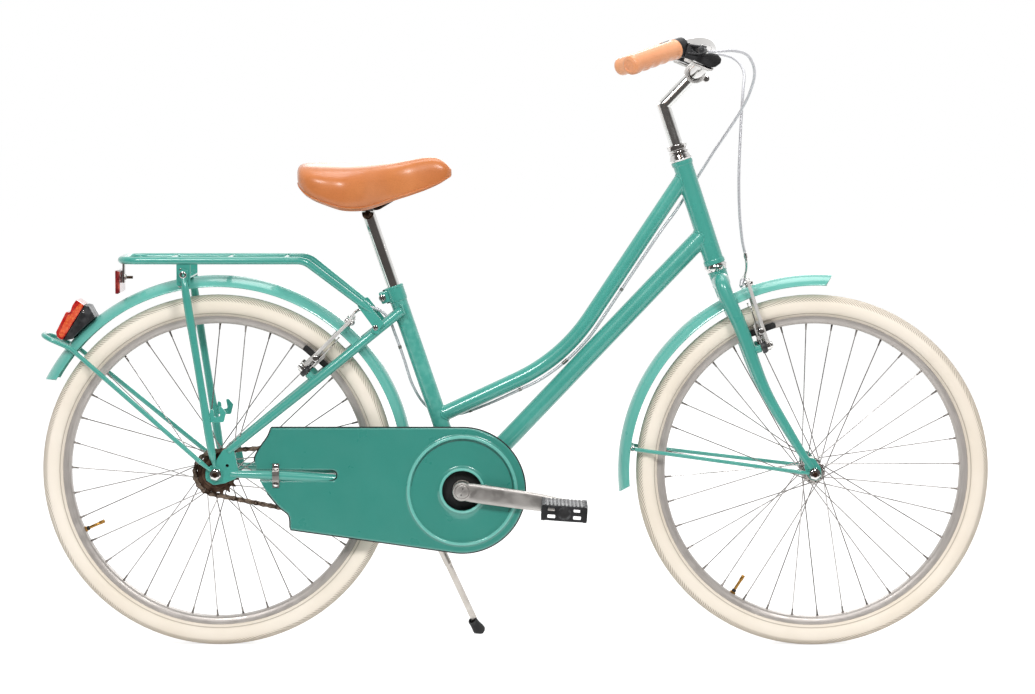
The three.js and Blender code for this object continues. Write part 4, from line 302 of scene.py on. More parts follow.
def weld(origin, axis, radius, far_origin, far_axis, far_radius, bead=1.7, sides=72):
    """The bead where a tube meets another tube's wall."""
    axis, far_axis = axis.normalized(), far_axis.normalized()
    x = axis.orthogonal().normalized()
    y = axis.cross(x)
    path = []
    for k in range(sides):
        t = 2 * math.pi * k / sides
        p = origin + x * (radius * math.cos(t)) + y * (radius * math.sin(t)) - far_origin
        p, d = p - far_axis * p.dot(far_axis), axis - far_axis * axis.dot(far_axis)
        a, b, c = d.dot(d), 2 * p.dot(d), p.dot(p) - far_radius ** 2
        root = b * b - 4 * a * c
        reach = (-b - math.sqrt(max(root, 0))) / (2 * a)
        path.append(origin + x * (radius * math.cos(t)) + y * (radius * math.sin(t)) + axis * reach)
    rings = []
    for k, p in enumerate(path):
        tangent = (path[(k + 1) % sides] - path[k - 1]).normalized()
        n = tangent.cross(axis).normalized()
        size = bead * (1 + 0.12 * math.sin(k * 2.1))
        rings.append(circle(p, n, tangent.cross(n), size, 8))
    return skin(rings, loop=True)


class Piece:
    """Closed shells with their materials, gathered into one object."""

    def __init__(self, name, side=1, move=None):
        self.name, self.side, self.move = name, side, move
        self.points, self.faces, self.uvs, self.index, self.paints = [], [], [], [], []

    def put(self, shell, paint, mirror=None, move=None):
        points, faces, uvs = shell
        base = len(self.points)
        mirror = self.side < 0 if mirror is None else mirror
        move = move or self.move
        if move:
            points = [move(p) for p in points]
        self.points += [flip(p) if mirror else p for p in points]
        self.faces += [tuple(base + i for i in (reversed(face) if mirror else face)) for face in faces]
        uvs = uvs or [((0, 0),) * len(face) for face in faces]
        self.uvs += [tuple(reversed(corner)) if mirror else corner for corner in uvs]
        if paint not in self.paints:
            self.paints.append(paint)
        self.index += [self.paints.index(paint)] * len(faces)
        return self

    def both(self, shell, paint):
        return self.put(shell, paint, False).put(shell, paint, True)

    def pair(self, make, paint):
        """The same shell made on both sides, from +1 or -1."""
        return self.put(make(1), paint).put(make(-1), paint)

    def build(self, sharp=42.0, weight=True):
        mesh = bpy.data.meshes.new(self.name)
        mesh.from_pydata([p * MM for p in self.points], [], self.faces)
        mesh.polygons.foreach_set("material_index", self.index)
        layer = mesh.uv_layers.new(name="UVMap")
        layer.data.foreach_set("uv", [c for corners in self.uvs for uv in corners for c in uv])
        bm = bmesh.new()
        bm.from_mesh(mesh)
        bmesh.ops.recalc_face_normals(bm, faces=bm.faces[:])
        limit = math.radians(sharp)
        for face in bm.faces:
            face.smooth = True
        for edge in bm.edges:
            if not edge.is_manifold or edge.calc_face_angle() > limit:
                edge.smooth = False
        bm.to_mesh(mesh)
        bm.free()
        for paint in self.paints:
            mesh.materials.append(MATERIALS[paint])
        obj = bpy.data.objects.new(self.name, mesh)
        bpy.context.scene.collection.objects.link(obj)
        if weight:
            modifier = obj.modifiers.new("Weighted normals", "WEIGHTED_NORMAL")
            modifier.keep_sharp = True
        return obj

    def ride(self, body, *nodes, sharp=42.0, weight=True):
        obj = self.build(sharp, weight)
        if nodes:
            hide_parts(*nodes)
        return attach(obj, body)


# Materials

MATERIALS = {}


def tone(*shown):
    """A colour given as it shows on screen, 0 to 255."""
    shares = [c / 255 for c in shown]
    return tuple(c / 12.92 if c <= 0.04045 else ((c + 0.055) / 1.055) ** 2.4 for c in shares) + (1.0,)


def new_node(tree, kind, **values):
    """A node with its settings and sockets; an underscore in a socket's name stands for a space."""
    node = tree.nodes.new(kind)
    for key, value in values.items():
        if hasattr(node, key):
            setattr(node, key, value)
        else:
            node.inputs[key.replace("_", " ")].default_value = value
    return node


def new_material(name):
    material = bpy.data.materials.new(name)
    material.use_nodes = True
    return material


class Nodes:
    """Short calls for building a material; plain colours are given as they show on screen."""

    def __init__(self, name):
        MATERIALS[name] = new_material(name)
        self.tree = MATERIALS[name].node_tree
        self.shader = self.tree.nodes["Principled BSDF"]
        self.coords = self.new("ShaderNodeTexCoord")

    def new(self, kind, **values):
        return new_node(self.tree, kind, **values)

    def link(self, a, b):
        self.tree.links.new(a, b)

    def noise(self, scale, detail=3.0, space="Object", stretch=None):
        node = self.new("ShaderNodeTexNoise", Scale=scale, Detail=detail, Roughness=0.5)
        source = self.coords.outputs[space]
        if stretch:
            mapping = self.new("ShaderNodeMapping", Scale=stretch)
            self.link(source, mapping.inputs["Vector"])
            source = mapping.outputs["Vector"]
        self.link(source, node.inputs["Vector"])
        return node.outputs["Fac"]

    def cells(self, scale):
        node = self.new("ShaderNodeTexVoronoi", Scale=scale)
        self.link(self.coords.outputs["Object"], node.inputs["Vector"])
        return node.outputs["Distance"]

    def uv(self):
        """The distance round a ring of a skin, and the distance from ring to ring."""
        node = self.new("ShaderNodeSeparateXYZ")
        self.link(self.coords.outputs["UV"], node.inputs[0])
        return node.outputs["X"], node.outputs["Y"]

    def ranged(self, value, low, high, start=0.3, end=0.7):
        node = self.new("ShaderNodeMapRange")
        for i, number in enumerate((start, end, low, high)):
            node.inputs[i + 1].default_value = number
        self.link(value, node.inputs[0])
        return node.outputs[0]

    def cloud(self, scale, detail=4.0):
        return self.ranged(self.noise(scale, detail), 0.0, 1.0)

    def patchy(self, scale, low, high, detail=4.0):
        """A value that drifts between two others."""
        return self.ranged(self.noise(scale, detail), low, high)

    def math(self, operation, *values):
        node = self.new("ShaderNodeMath", operation=operation)
        for socket, value in zip(node.inputs, values):
            if isinstance(value, (int, float)):
                socket.default_value = value
            else:
                self.link(value, socket)
        return node.outputs[0]

    def times(self, a, b):
        return self.math("MULTIPLY", a, b)

    def apart(self, value, middle=0.5):
        """The distance of a value from a middle."""
        return self.math("ABSOLUTE", self.math("SUBTRACT", value, middle))

    def blend(self, share, a, b):
        node = self.new("ShaderNodeMix", data_type="RGBA")
        for slot, value in (("Factor_Float", share), ("A_Color", a), ("B_Color", b)):
            socket = next(s for s in node.inputs if s.identifier == slot)
            if isinstance(value, tuple):
                socket.default_value = tone(*value)
            else:
                self.link(value, socket)
        return next(s for s in node.outputs if s.identifier == "Result_Color")

    def bump(self, height, strength, distance, normal=None):
        node = self.new("ShaderNodeBump", Strength=strength, Distance=distance)
        self.link(height, node.inputs["Height"])
        if normal:
            self.link(normal, node.inputs["Normal"])
        return node.outputs["Normal"]

    def edge(self, start=0.53, end=0.6):
        """High on worn convex edges, broken up by noise."""
        pointed = self.ranged(self.new("ShaderNodeNewGeometry").outputs["Pointiness"], 0.0, 1.0, start, end)
        return self.times(pointed, self.ranged(self.noise(90.0), 0.0, 1.0, 0.4, 0.62))

    def set(self, **values):
        for key, value in values.items():
            self.shader.inputs[key.replace("_", " ")].default_value = value

    def finish(self, color, rough, normal):
        for socket, value in (("Base Color", color), ("Roughness", rough), ("Normal", normal)):
            self.link(value, self.shader.inputs[socket])


def metal(name, color, dark, rough, grain=420.0, depth=0.02, spots=None, edge_tone=None, share=1.0):
    """Plated or brushed metal: cloudy tone, fine grain, worn edges, and pits where spots is given."""
    n = Nodes(name)
    base = n.blend(n.cloud(14.0), dark, color)
    if spots:
        speck = n.ranged(n.noise(260.0, 2.0), 0.0, 1.0, 0.66, 0.74)
        base = n.blend(speck, base, spots)
    base = n.blend(n.edge(), base, edge_tone or color)
    n.set(Metallic=share)
    n.finish(base, n.patchy(40.0, rough * 0.75, rough * 1.35, 5.0),
             n.bump(n.noise(grain, 4.0), depth, 0.0004))


def plastic(name, color, dark, rough, depth=0.12, edge_tone=None):
    n = Nodes(name)
    base = n.blend(n.cloud(22.0), dark, color)
    base = n.blend(n.edge(), base, edge_tone or color)
    n.set(Specular_IOR_Level=0.45)
    n.finish(base, n.patchy(60.0, rough * 0.8, rough * 1.25), n.bump(n.noise(700.0), depth, 0.0003))


def enamel(name, low, high, speck, rubbed, wear):
    """Gloss enamel: pigment cloud, orange peel in the lacquer, paler where its edges are rubbed."""
    n = Nodes(name)
    base = n.blend(n.cloud(9.0), low, high)
    base = n.blend(n.ranged(n.noise(1800.0, 1.0), 0.0, 0.10, 0.45, 0.7), base, speck)
    base = n.blend(n.times(n.edge(0.545, 0.62), wear), base, rubbed)
    n.set(Coat_Weight=0.9, Coat_Roughness=0.035, Specular_IOR_Level=0.5, Coat_IOR=1.5)
    peel = n.bump(n.noise(260.0, 2.0), 0.035, 0.0006)
    n.finish(base, n.patchy(30.0, 0.26, 0.38), peel)
    n.link(peel, n.shader.inputs["Coat Normal"])


def leather(name, low, high):
    """Tan cover or grip: fine pebbled grain, darker in the creases, rubbed paler on the crowns."""
    n = Nodes(name)
    cells = n.cells(620.0)
    base = n.blend(n.cloud(16.0), low, high)
    base = n.blend(n.ranged(cells, 0.0, 0.18, 0.3, 0.9), base, (150, 80, 38))
    base = n.blend(n.times(n.edge(0.52, 0.6), 0.4), base, (232, 166, 112))
    n.set(Specular_IOR_Level=0.36, Coat_Weight=0.5, Coat_Roughness=0.24)
    crease = n.bump(cells, 0.16, 0.0005)
    n.finish(base, n.patchy(35.0, 0.3, 0.42), n.bump(n.noise(60.0), 0.08, 0.0012, crease))


def lens(name, color, deep, scale):
    """Moulded prisms under a glossy face."""
    n = Nodes(name)
    prisms = n.cells(scale)
    base = n.blend(n.ranged(prisms, 0.0, 1.0, 0.1, 0.75), color, deep)
    base = n.blend(n.edge(), base, (255, 120, 96))
    n.set(Coat_Weight=1.0, Coat_Roughness=0.03, Specular_IOR_Level=0.6, Subsurface_Weight=0.12,
          Subsurface_Radius=(0.004, 0.0006, 0.0004))
    n.finish(base, n.patchy(30.0, 0.14, 0.24, 3.0), n.bump(prisms, 0.06, 0.0005))


def rim_metal():
    """Brushed round the wheel, a little dulled in patches."""
    n = Nodes("rim")
    brushed = n.noise(900.0, 3.0, "UV", stretch=(0.02, 1.6, 1.0))
    base = n.blend(n.ranged(brushed, 0.0, 1.0), (172, 165, 160), (204, 198, 193))
    base = n.blend(n.patchy(9.0, 0.0, 0.25), base, (150, 142, 136))
    n.set(Metallic=0.45)
    n.finish(base, n.patchy(70.0, 0.28, 0.46), n.bump(brushed, 0.25, 0.0002))


def tyre_rubber():
    """Cream rubber: slanted tread ribs off the crown, fine lines on it, a bead line, a little road dust;
    the grooves and fine lines are painted darker, as painted shade.
    """
    n = Nodes("tread")
    across, run = n.uv()
    off = n.apart(run, TYRE_CROWN)
    slant = n.math("FRACT", n.times(n.math("ADD", across, n.times(off, 1.35)), 178.0))
    groove = n.ranged(n.apart(slant), 1.0, 0.0, 0.10, 0.22)
    zone = n.times(n.ranged(off, 0.0, 1.0, 0.0085, 0.0105), n.ranged(off, 1.0, 0.0, 0.0235, 0.0265))
    lines = n.ranged(n.apart(n.math("FRACT", n.times(off, 330.0))), 1.0, 0.0, 0.12, 0.24)
    crown = n.times(lines, n.ranged(off, 1.0, 0.0, 0.007, 0.0085))
    groove_and_shade = n.math("MAXIMUM", n.times(groove, zone), crown)
    bead = n.ranged(n.apart(off, TYRE_BEAD), 1.0, 0.0, 0.0007, 0.0014)
    base = n.blend(n.cloud(7.0, 5.0), (237, 225, 208), (246, 236, 222))
    # Painted shade: the grooves and the crown's fine lines are darkened.
    base = n.blend(n.times(groove_and_shade, 0.8), base, (122, 104, 78))
    base = n.blend(n.times(bead, 0.55), base, (150, 132, 112))
    dust = n.times(n.ranged(off, 1.0, 0.0, 0.004, 0.026), n.patchy(55.0, 0.0, 0.35, 5.0))
    base = n.blend(dust, base, (216, 203, 180))
    n.set(Specular_IOR_Level=0.25, Sheen_Weight=0.08)
    pressed = n.bump(n.math("SUBTRACT", 1.0, n.math("MAXIMUM", groove_and_shade, bead)), 0.7, 0.0008)
    n.finish(base, n.patchy(40.0, 0.62, 0.8), n.bump(n.noise(900.0), 0.15, 0.0002, pressed))


def cable_housing():
    """Silver braid lines wound round a pale core."""
    n = Nodes("cable")
    across, run = n.uv()
    wound = n.math("FRACT", n.math("ADD", n.times(run, 420.0), n.times(across, 64.0)))
    ridge = n.ranged(n.apart(wound), 0.0, 1.0, 0.05, 0.3)
    base = n.blend(ridge, (158, 158, 162), (230, 230, 234))
    base = n.blend(n.patchy(60.0, 0.0, 0.35), base, (196, 196, 200))
    n.set(Metallic=0.35, Coat_Weight=0.4, Coat_Roughness=0.12)
    n.finish(base, n.patchy(50.0, 0.3, 0.42, 3.0), n.bump(ridge, 0.3, 0.0003))


def build_materials():
    pale = (240, 238, 235)
    enamel("teal", (62, 155, 141), (70, 164, 150), (104, 196, 180), (140, 212, 198), 0.35)
    # The frame's teal painted lighter, as painted light: the mudguards and the chain case's highlight lines
    # take it.
    enamel("guard", (94, 178, 165), (106, 188, 175), (132, 206, 194), (150, 220, 208), 0.35)
    # The frame's teal painted darker, as painted shade on the chain case's upright face.
    enamel("case", (49, 136, 123), (53, 141, 128), (62, 152, 138), (118, 196, 182), 0.0)
    metal("chrome", (226, 224, 222), (206, 204, 202), 0.085, edge_tone=pale)
    metal("bright", (222, 219, 216), (198, 195, 192), 0.42, edge_tone=pale, share=0.45)
    metal("crank", (190, 186, 182), (168, 164, 160), 0.42, 900.0, 0.1, edge_tone=(210, 207, 202))
    metal("brushed", (232, 232, 230), (214, 214, 212), 0.2, edge_tone=pale)
    metal("satin", (176, 172, 168), (150, 146, 142), 0.3, 900.0, 0.08)
    metal("alloy", (206, 200, 193), (182, 175, 168), 0.4, 900.0, 0.1, edge_tone=(226, 222, 216))
    metal("spoke", (188, 184, 182), (140, 136, 134), 0.24)
    metal("nipple", (150, 144, 140), (118, 112, 108), 0.3)
    metal("brass", (196, 150, 78), (150, 108, 52), 0.28)
    metal("chain", (70, 56, 47), (34, 27, 23), 0.42, depth=0.25, spots=(30, 22, 18),
          edge_tone=(170, 150, 132))
    metal("steel", (74, 55, 45), (44, 33, 28), 0.5, depth=0.25, spots=(35, 25, 20),
          edge_tone=(150, 125, 105))
    metal("pin", (168, 150, 138), (110, 92, 80), 0.35, depth=0.1)
    metal("housing", (206, 206, 208), (160, 160, 164), 0.3, depth=0.15)
    plastic("black", (38, 38, 40), (24, 24, 26), 0.42, edge_tone=(92, 92, 94))
    plastic("rubber", (34, 33, 34), (22, 22, 23), 0.7, 0.3, (60, 60, 60))
    plastic("grey", (98, 98, 100), (74, 74, 76), 0.6, 0.3)
    plastic("thread", (205, 138, 84), (176, 108, 60), 0.7)
    # A dark teal used only for a painted shadow line on the chain case.
    plastic("shade", (34, 92, 83), (27, 80, 72), 0.5)
    plastic("dark", (24, 24, 25), (12, 12, 13), 0.6)
    rim_metal()
    tyre_rubber()
    leather("tan", (200, 117, 62), (216, 134, 77))
    # The saddle's tan painted lighter for the grips, as painted light.
    leather("grip", (234, 158, 110), (245, 176, 130))
    lens("lens", (212, 24, 20), (160, 10, 12), 240.0)
    lens("amber", (240, 120, 62), (214, 70, 34), 240.0)
    lens("reflector", (150, 24, 34), (98, 8, 16), 420.0)
    cable_housing()


# Main places

REAR, FRONT = at(-496.5, 0, 293.877), at(496.5, 0, 293.877)
CRANK = at(-88.08, 0, 265.977)
STEER_UP, STEER_OUT = at(-0.312335, 0, 0.949972), at(0.949972, 0, 0.312335)
SEAT_UP, SEAT_BACK = at(-0.323917, 0, 0.946085), at(-0.946085, 0, -0.323917)
FORK_LENGTH, HEAD_LENGTH = 380.4, 180.0
SEAT_TOP = CRANK + SEAT_UP * 356
SADDLE_PIVOT = SEAT_TOP + SEAT_UP * 128
REAR_GUARD, FRONT_GUARD = 327.0, 325.0
HEAD_RADIUS, DOWN_RADIUS, UPPER_RADIUS, SEAT_RADIUS, SHELL_RADIUS = 16.5, 15.9, 13, 14.3, 20
RAKE, CROWN_HEIGHT = 47.8, 367.8
CRANK_LENGTH = 170
REAR_VALVE, FRONT_VALVE = 204.1, 237.6


def on_steering(out, y, up):
    p = FRONT - STEER_OUT * RAKE + STEER_OUT * out + STEER_UP * up
    return at(p.x, y, p.z)


HEAD_LOW, HEAD_TOP = on_steering(0, 0, FORK_LENGTH), on_steering(0, 0, FORK_LENGTH + HEAD_LENGTH)

TYRE_HALF = [(10.2, 255.5), (11.9, 259.9), (14.0, 261.4), (18.6, 265.0), (22.2, 270.2), (23.5, 276.6),
             (22.5, 283.2), (19.4, 288.4), (14.5, 291.9), (7.5, 293.9), (0, 294.5)]
TYRE_SIDE = smooth([at(r, y, 0) for y, r in TYRE_HALF], 4)
TYRE_CROWN = sum((b - a).length for a, b in zip(TYRE_SIDE, TYRE_SIDE[1:])) * MM
TYRE_BEAD = 0.0478
build_materials()


# Wheels

def tyre(prefix, hub, body):
    half = [(p.x, p.y) for p in TYRE_SIDE]
    profile = [(r, -y) for r, y in half] + [(r, y) for r, y in half[-2::-1]]
    piece = Piece(prefix + "_tyre_rubber").put(lathe(profile, hub, SIDE, 160, loop=True, x=FORWARD),
                                               "tread")
    piece.ride(body, prefix + "_tyre", weight=False)


def rim(prefix, hub, valve, body):
    half = [(246.3, 0), (246.4, 4.5), (246.9, 8.0), (248.0, 9.9), (249.3, 10.7), (250.1, 11.5),
            (257.6, 12.5),
            (259.2, 12.7), (259.9, 12.0), (259.3, 11.0), (254.5, 9.6), (251.2, 7.5), (250.9, 0)]
    profile = half + [(r, -y) for r, y in half[-2:0:-1]]
    piece = Piece(prefix + "_rim_band").put(lathe(profile, hub, SIDE, 144, loop=True, x=FORWARD), "rim")
    base, tip = polar(hub, valve, 247), polar(hub, valve, 211)
    inward = (tip - base).normalized()
    piece.put(rod(base, base + inward * 8, 3.6), "rubber").put(hexnut(base + inward * 1, inward, 5.2, 3.0),
                                                               "brass")
    piece.put(rod(base + inward * 8, base + inward * 27, 2.5),
              "brass").put(rod(base + inward * 26, tip, 3.0), "brass")
    joint = polar(hub, valve + 180, 246.6)
    piece.put(box(joint, at(0.5, 24.0, 0.8), 0.1, x=(joint - hub).cross(SIDE).normalized(),
                  z=(joint - hub)), "dark")
    piece.ride(body, prefix + "_rim", weight=False)


def laced_hub(prefix, hub, valve, body, flange, hole, half, end_left, end_right):
    piece = Piece(prefix + "_hub_shell")
    core = 12.4

    def flanked(side, end, end_radius):
        return [(5.4, side * end), (end_radius - 0.8, side * end), (end_radius, side * (end - 0.8)),
                (end_radius, side * 37.6), (14.6, side * 36.6), (flange - 0.7, side * 35.9),
                (flange, side * 35.2),
                (flange, side * 32.8), (flange - 0.7, side * 32.1), (14.2, side * 31.2),
                (core, side * 28.5),
                (core - 1.6, side * 20)]
    profile = flanked(1, half, end_left) + flanked(-1, half, end_right)[::-1]
    piece.put(lathe(profile, hub, SIDE, 40), "satin")
    spokes = Piece(prefix + "_spokes")
    for side in (-1, 1):
        for i in range(18):
            lead = -1 if i % 2 else 1
            turn = valve + 10 * (2 * i + (1.5 if side > 0 else 0.5))
            face = side * 34 + lead * 2.7
            root = polar(hub, turn, hole, side * 34 - lead * 2.6)
            elbow = polar(hub, turn, hole + 0.3, face)
            end = polar(hub, turn + lead * 60, 245.5, side * 2)
            run = (end - elbow).normalized()
            spokes.put(tube([root, elbow - SIDE * lead * 0.7, elbow + run * 1.2, elbow + run * 8, end],
                            0.95, 8), "spoke")
            spokes.put(rod(root - SIDE * lead * 0.7, root + SIDE * lead * 0.4, 1.8, 10, 0.3), "spoke")
            spokes.put(tube([end - run * 10, end - run * 9.5, end - run * 3, end + run * 1.5],
                            [1.15, 1.4, 1.6, 2.2], 10), "nipple")
    spokes.ride(body, weight=False)
    piece.ride(body, prefix + "_hub")


def axle_set(prefix, hub, body, spacing, grip):
    inner, nut = spacing / 2 - 0.3, spacing / 2 + grip + 0.3
    piece = Piece(prefix + "_axle_set")
    piece.put(rod(at(hub.x, -nut - 12, hub.z), at(hub.x, nut + 12, hub.z), 4.6, 24, 0.8), "steel")
    for side in (-1, 1):
        out = SIDE * side
        piece.put(hexnut(hub + out * (inner - 5), out, 8.2, 5.0), "satin")
        piece.put(rod(hub + out * (nut - 0.1), hub + out * (nut + 1.5), 9.8, 32, 0.4), "chrome")
        piece.put(hexnut(hub + out * (nut + 1.5), out, 9.2, 6.8, 1.2), "chrome")
    piece.ride(body, prefix + "_axle")


for prefix, hub, valve, body in (("rear", REAR, REAR_VALVE, "rear_wheel"),
                                 ("front", FRONT, FRONT_VALVE, "front_wheel")):
    tyre(prefix, hub, body)
    rim(prefix, hub, valve, body)
laced_hub("rear", REAR, REAR_VALVE, "rear_wheel", 24, 21, 50.1, 13, 12)
laced_hub("front", FRONT, FRONT_VALVE, "front_wheel", 19, 16, 44.1, 13, 13)
axle_set("rear", REAR, "frame", 112, 5 + 3 + 2 + 0.6)
axle_set("front", FRONT, "steering", 100, 5 + 2 + 0.3)


# Main frame

DOWN_HEAD = HEAD_LOW + STEER_UP * 53
UPPER_HEAD = HEAD_LOW + STEER_UP * 157
down_run = (DOWN_HEAD - CRANK).normalized()
ELBOW = CRANK + down_run * 270.9 + down_run.cross(SIDE) * 27.1
UPPER_FOOT = CRANK + SEAT_UP * 125
upper_path = rounded([UPPER_HEAD, ELBOW, UPPER_FOOT], 300, 24)


def main_tubes():
    profile = [(12.8, -0.2), (17.6, -0.2), (18.1, 0.5), (18.1, 5.5), (17.4, 7.2), (16.5, 8.5),
               (16.5, 171.5),
               (17.4, 172.8), (18.1, 174.5), (18.1, 179.5), (17.6, 180.2), (12.8, 180.2)]
    first, last = upper_path[1] - upper_path[0], upper_path[-2] - upper_path[-1]
    head = Piece("head_tube_shell").put(lathe(profile, HEAD_LOW, STEER_UP, 48, loop=True), "teal")
    head.put(weld(DOWN_HEAD - down_run * 40, down_run, DOWN_RADIUS, HEAD_LOW, STEER_UP, HEAD_RADIUS),
             "teal")
    head.put(weld(upper_path[0] + first.normalized() * 40, -first, UPPER_RADIUS, HEAD_LOW, STEER_UP,
                  HEAD_RADIUS),
             "teal")
    head.ride("frame", "head_tube")
    down = Piece("down_tube_shell")
    down.put(tube([CRANK, mix(CRANK, DOWN_HEAD, 0.5), DOWN_HEAD], DOWN_RADIUS, 40), "teal")
    down.put(weld(CRANK + down_run * 50, -down_run, DOWN_RADIUS, CRANK, SIDE, SHELL_RADIUS), "teal")
    down.ride("frame", "down_tube")
    upper = Piece("upper_tube_shell").put(tube(upper_path, UPPER_RADIUS, 36), "teal")
    upper.put(weld(upper_path[-1] + last.normalized() * 40, -last, UPPER_RADIUS, CRANK, SEAT_UP,
                   SEAT_RADIUS), "teal")
    upper.ride("frame", "upper_tube")


BOLT = SEAT_TOP - SEAT_UP * 13 + SEAT_BACK * 23.6


def seat_tube():
    piece = Piece("seat_tube_shell")
    piece.put(tube([CRANK, SEAT_TOP - SEAT_UP * 3], SEAT_RADIUS, 40), "teal")
    piece.put(weld(CRANK + SEAT_UP * 60, -SEAT_UP, SEAT_RADIUS, CRANK, SIDE, SHELL_RADIUS), "teal")
    lug = [(11.6, -27), (14.6, -27), (15.5, -25.5), (15.8, -23), (15.8, -4), (16.4, -3.4), (16.4, -0.8),
           (15.7, 0), (11.6, 0)]
    piece.put(lathe(lug, SEAT_TOP, SEAT_UP, 48, loop=True), "teal")
    for side in (-1, 1):
        ear = mix(BOLT, SEAT_TOP - SEAT_UP * 13, 0.22) + SIDE * side * 5.3
        piece.put(box(ear, at(18, 7.2, 20), 2.6, x=SEAT_BACK, z=SEAT_UP, segments=3), "teal")
    # A dark slab in the lug's slot, painted shade for the gap between its ears.
    piece.put(box(BOLT + SEAT_BACK * -12, at(16, 3.2, 24), 0.2, x=SEAT_BACK, z=SEAT_UP), "dark")
    piece.ride("frame", "seat_tube")
    bolt = Piece("clamp_bolt_set").put(rod(BOLT - SIDE * 9.2, BOLT + SIDE * 9.2, 3.1), "chrome")
    bolt.put(rod(BOLT - SIDE * 9.9, BOLT - SIDE * 8.9, 6.0),
             "chrome").put(rod(BOLT + SIDE * 8.9, BOLT + SIDE * 9.9, 6.0), "chrome")
    bolt.put(screw(BOLT - SIDE * 9.8, -SIDE, 5.2, 4.6, 0.52), "chrome")
    bolt.put(hexnut(BOLT + SIDE * 9.8, SIDE, 5.8, 4.4), "chrome")
    bolt.ride("frame", "seat_clamp_bolt")


def bottom_bracket():
    half = [(8.6, 34.4), (15.8, 34.6), (16.6, 34.0), (17.4, 33.6), (19.4, 33.9), (20, 33.3)]
    piece = Piece("bottom_bracket")
    piece.put(lathe(half + [(r, -y) for r, y in half[::-1]], CRANK, SIDE, 48), "teal")
    piece.pair(lambda way: rod(CRANK + SIDE * 33.5 * way, CRANK + SIDE * 36.2 * way, 15.4, 40, 0.5),
               "steel")
    piece.ride("frame", "bottom_bracket_shell")


main_tubes()
seat_tube()
bottom_bracket()

CHAIN_STAY = [(-471, 57.3, 293.877, 6), (-394.157, 56.7, 291.087, 8), (-291.814, 44.88, 283.833, 8),
              (-226.314, 34, 278.532, 7), (-173.096, 31.96, 272.952, 7), (-103.503, 24.48, 265.977, 8)]
SEAT_STAY = [(-475.08, 57.3, 331.957, 6), (-332.318, 47.74, 447.162, 8), (-252.372, 37.324, 511.677, 8),
             (-218.109, 28.21, 539.326, 8), (-189.557, 21.7, 562.367, 8)]
STAY_FOOT, STAY_HEAD = at(-475.08, 0, 331.957), at(-189.557, 0, 562.367)


def stay_at(stay, x):
    for a, b in zip(stay, stay[1:]):
        if x <= b[0] or b is stay[-1]:
            return mix(Vector(a[:3]), Vector(b[:3]), (x - a[0]) / (b[0] - a[0]))


def share_at(a, b, centre, distance):
    run, start = b - a, a - centre
    half = run.dot(start) / run.length_squared
    return math.sqrt(half ** 2 + (distance ** 2 - start.length_squared) / run.length_squared) - half


UPPER_BRIDGE = stay_at(SEAT_STAY, mix(STAY_FOOT, STAY_HEAD,
                                      share_at(STAY_FOOT, STAY_HEAD, REAR, REAR_GUARD + 29.5)).x)
LOWER_BRIDGE = stay_at(CHAIN_STAY, -154.95)
REAR_OUT, REAR_UP = at(-0.699696, 0, 0.714441), at(0.714441, 0, 0.699696)
REAR_PIVOT, FRONT_PIVOT = at(-350.112, 43, 466.059), at(415.453, 43, 504.845)


def rear_triangle():
    piece = Piece("rear_triangle_shell")
    for stay in (CHAIN_STAY, SEAT_STAY):
        path, radii = split_radii(smooth(stay, 8))
        piece.both(tube(path, radii, 28, bulge=0.5), "teal")
    dropout = [(-0.5, -0.3), (-0.1, -0.55), (0.45, -0.45), (1.05, -0.2), (1.1, 0.2), (0.9, 1.2),
               (0.4, 1.25), (-0.1, 0.5), (-0.5, 0.25)]
    outline = eased(sized(dropout, 34, REAR), 9)
    piece.both(plate(outline, 5, upright(58.5), 0.9, [ring2d(REAR.x, REAR.z, 5.2),
                                                      ring2d(REAR.x + 19, REAR.z + 14, 2.6)]), "teal")
    for bridge in (UPPER_BRIDGE, LOWER_BRIDGE):
        piece.put(rod(flip(bridge), bridge, 6, 24), "teal")
    boss = REAR_PIVOT - REAR_OUT * 26
    piece.both(rod(boss, REAR_PIVOT - REAR_OUT * 8.5, 6.6, 20), "teal")
    piece.both(rod(REAR_PIVOT - REAR_OUT * 9, REAR_PIVOT + REAR_OUT * 11, 4.9), "steel")
    top, lower = stay_at(SEAT_STAY, -205), stay_at(CHAIN_STAY, -130)
    piece.both(weld(top, at(0.72, -0.12, 0.62), 8, CRANK, SEAT_UP, SEAT_RADIUS, 1.5, 48), "teal")
    piece.both(weld(lower, at(0.97, -0.11, -0.1), 8, CRANK, SIDE, SHELL_RADIUS, 1.5, 48), "teal")
    piece.ride("frame", "rear_triangle")


rear_triangle()


# Headset and fork

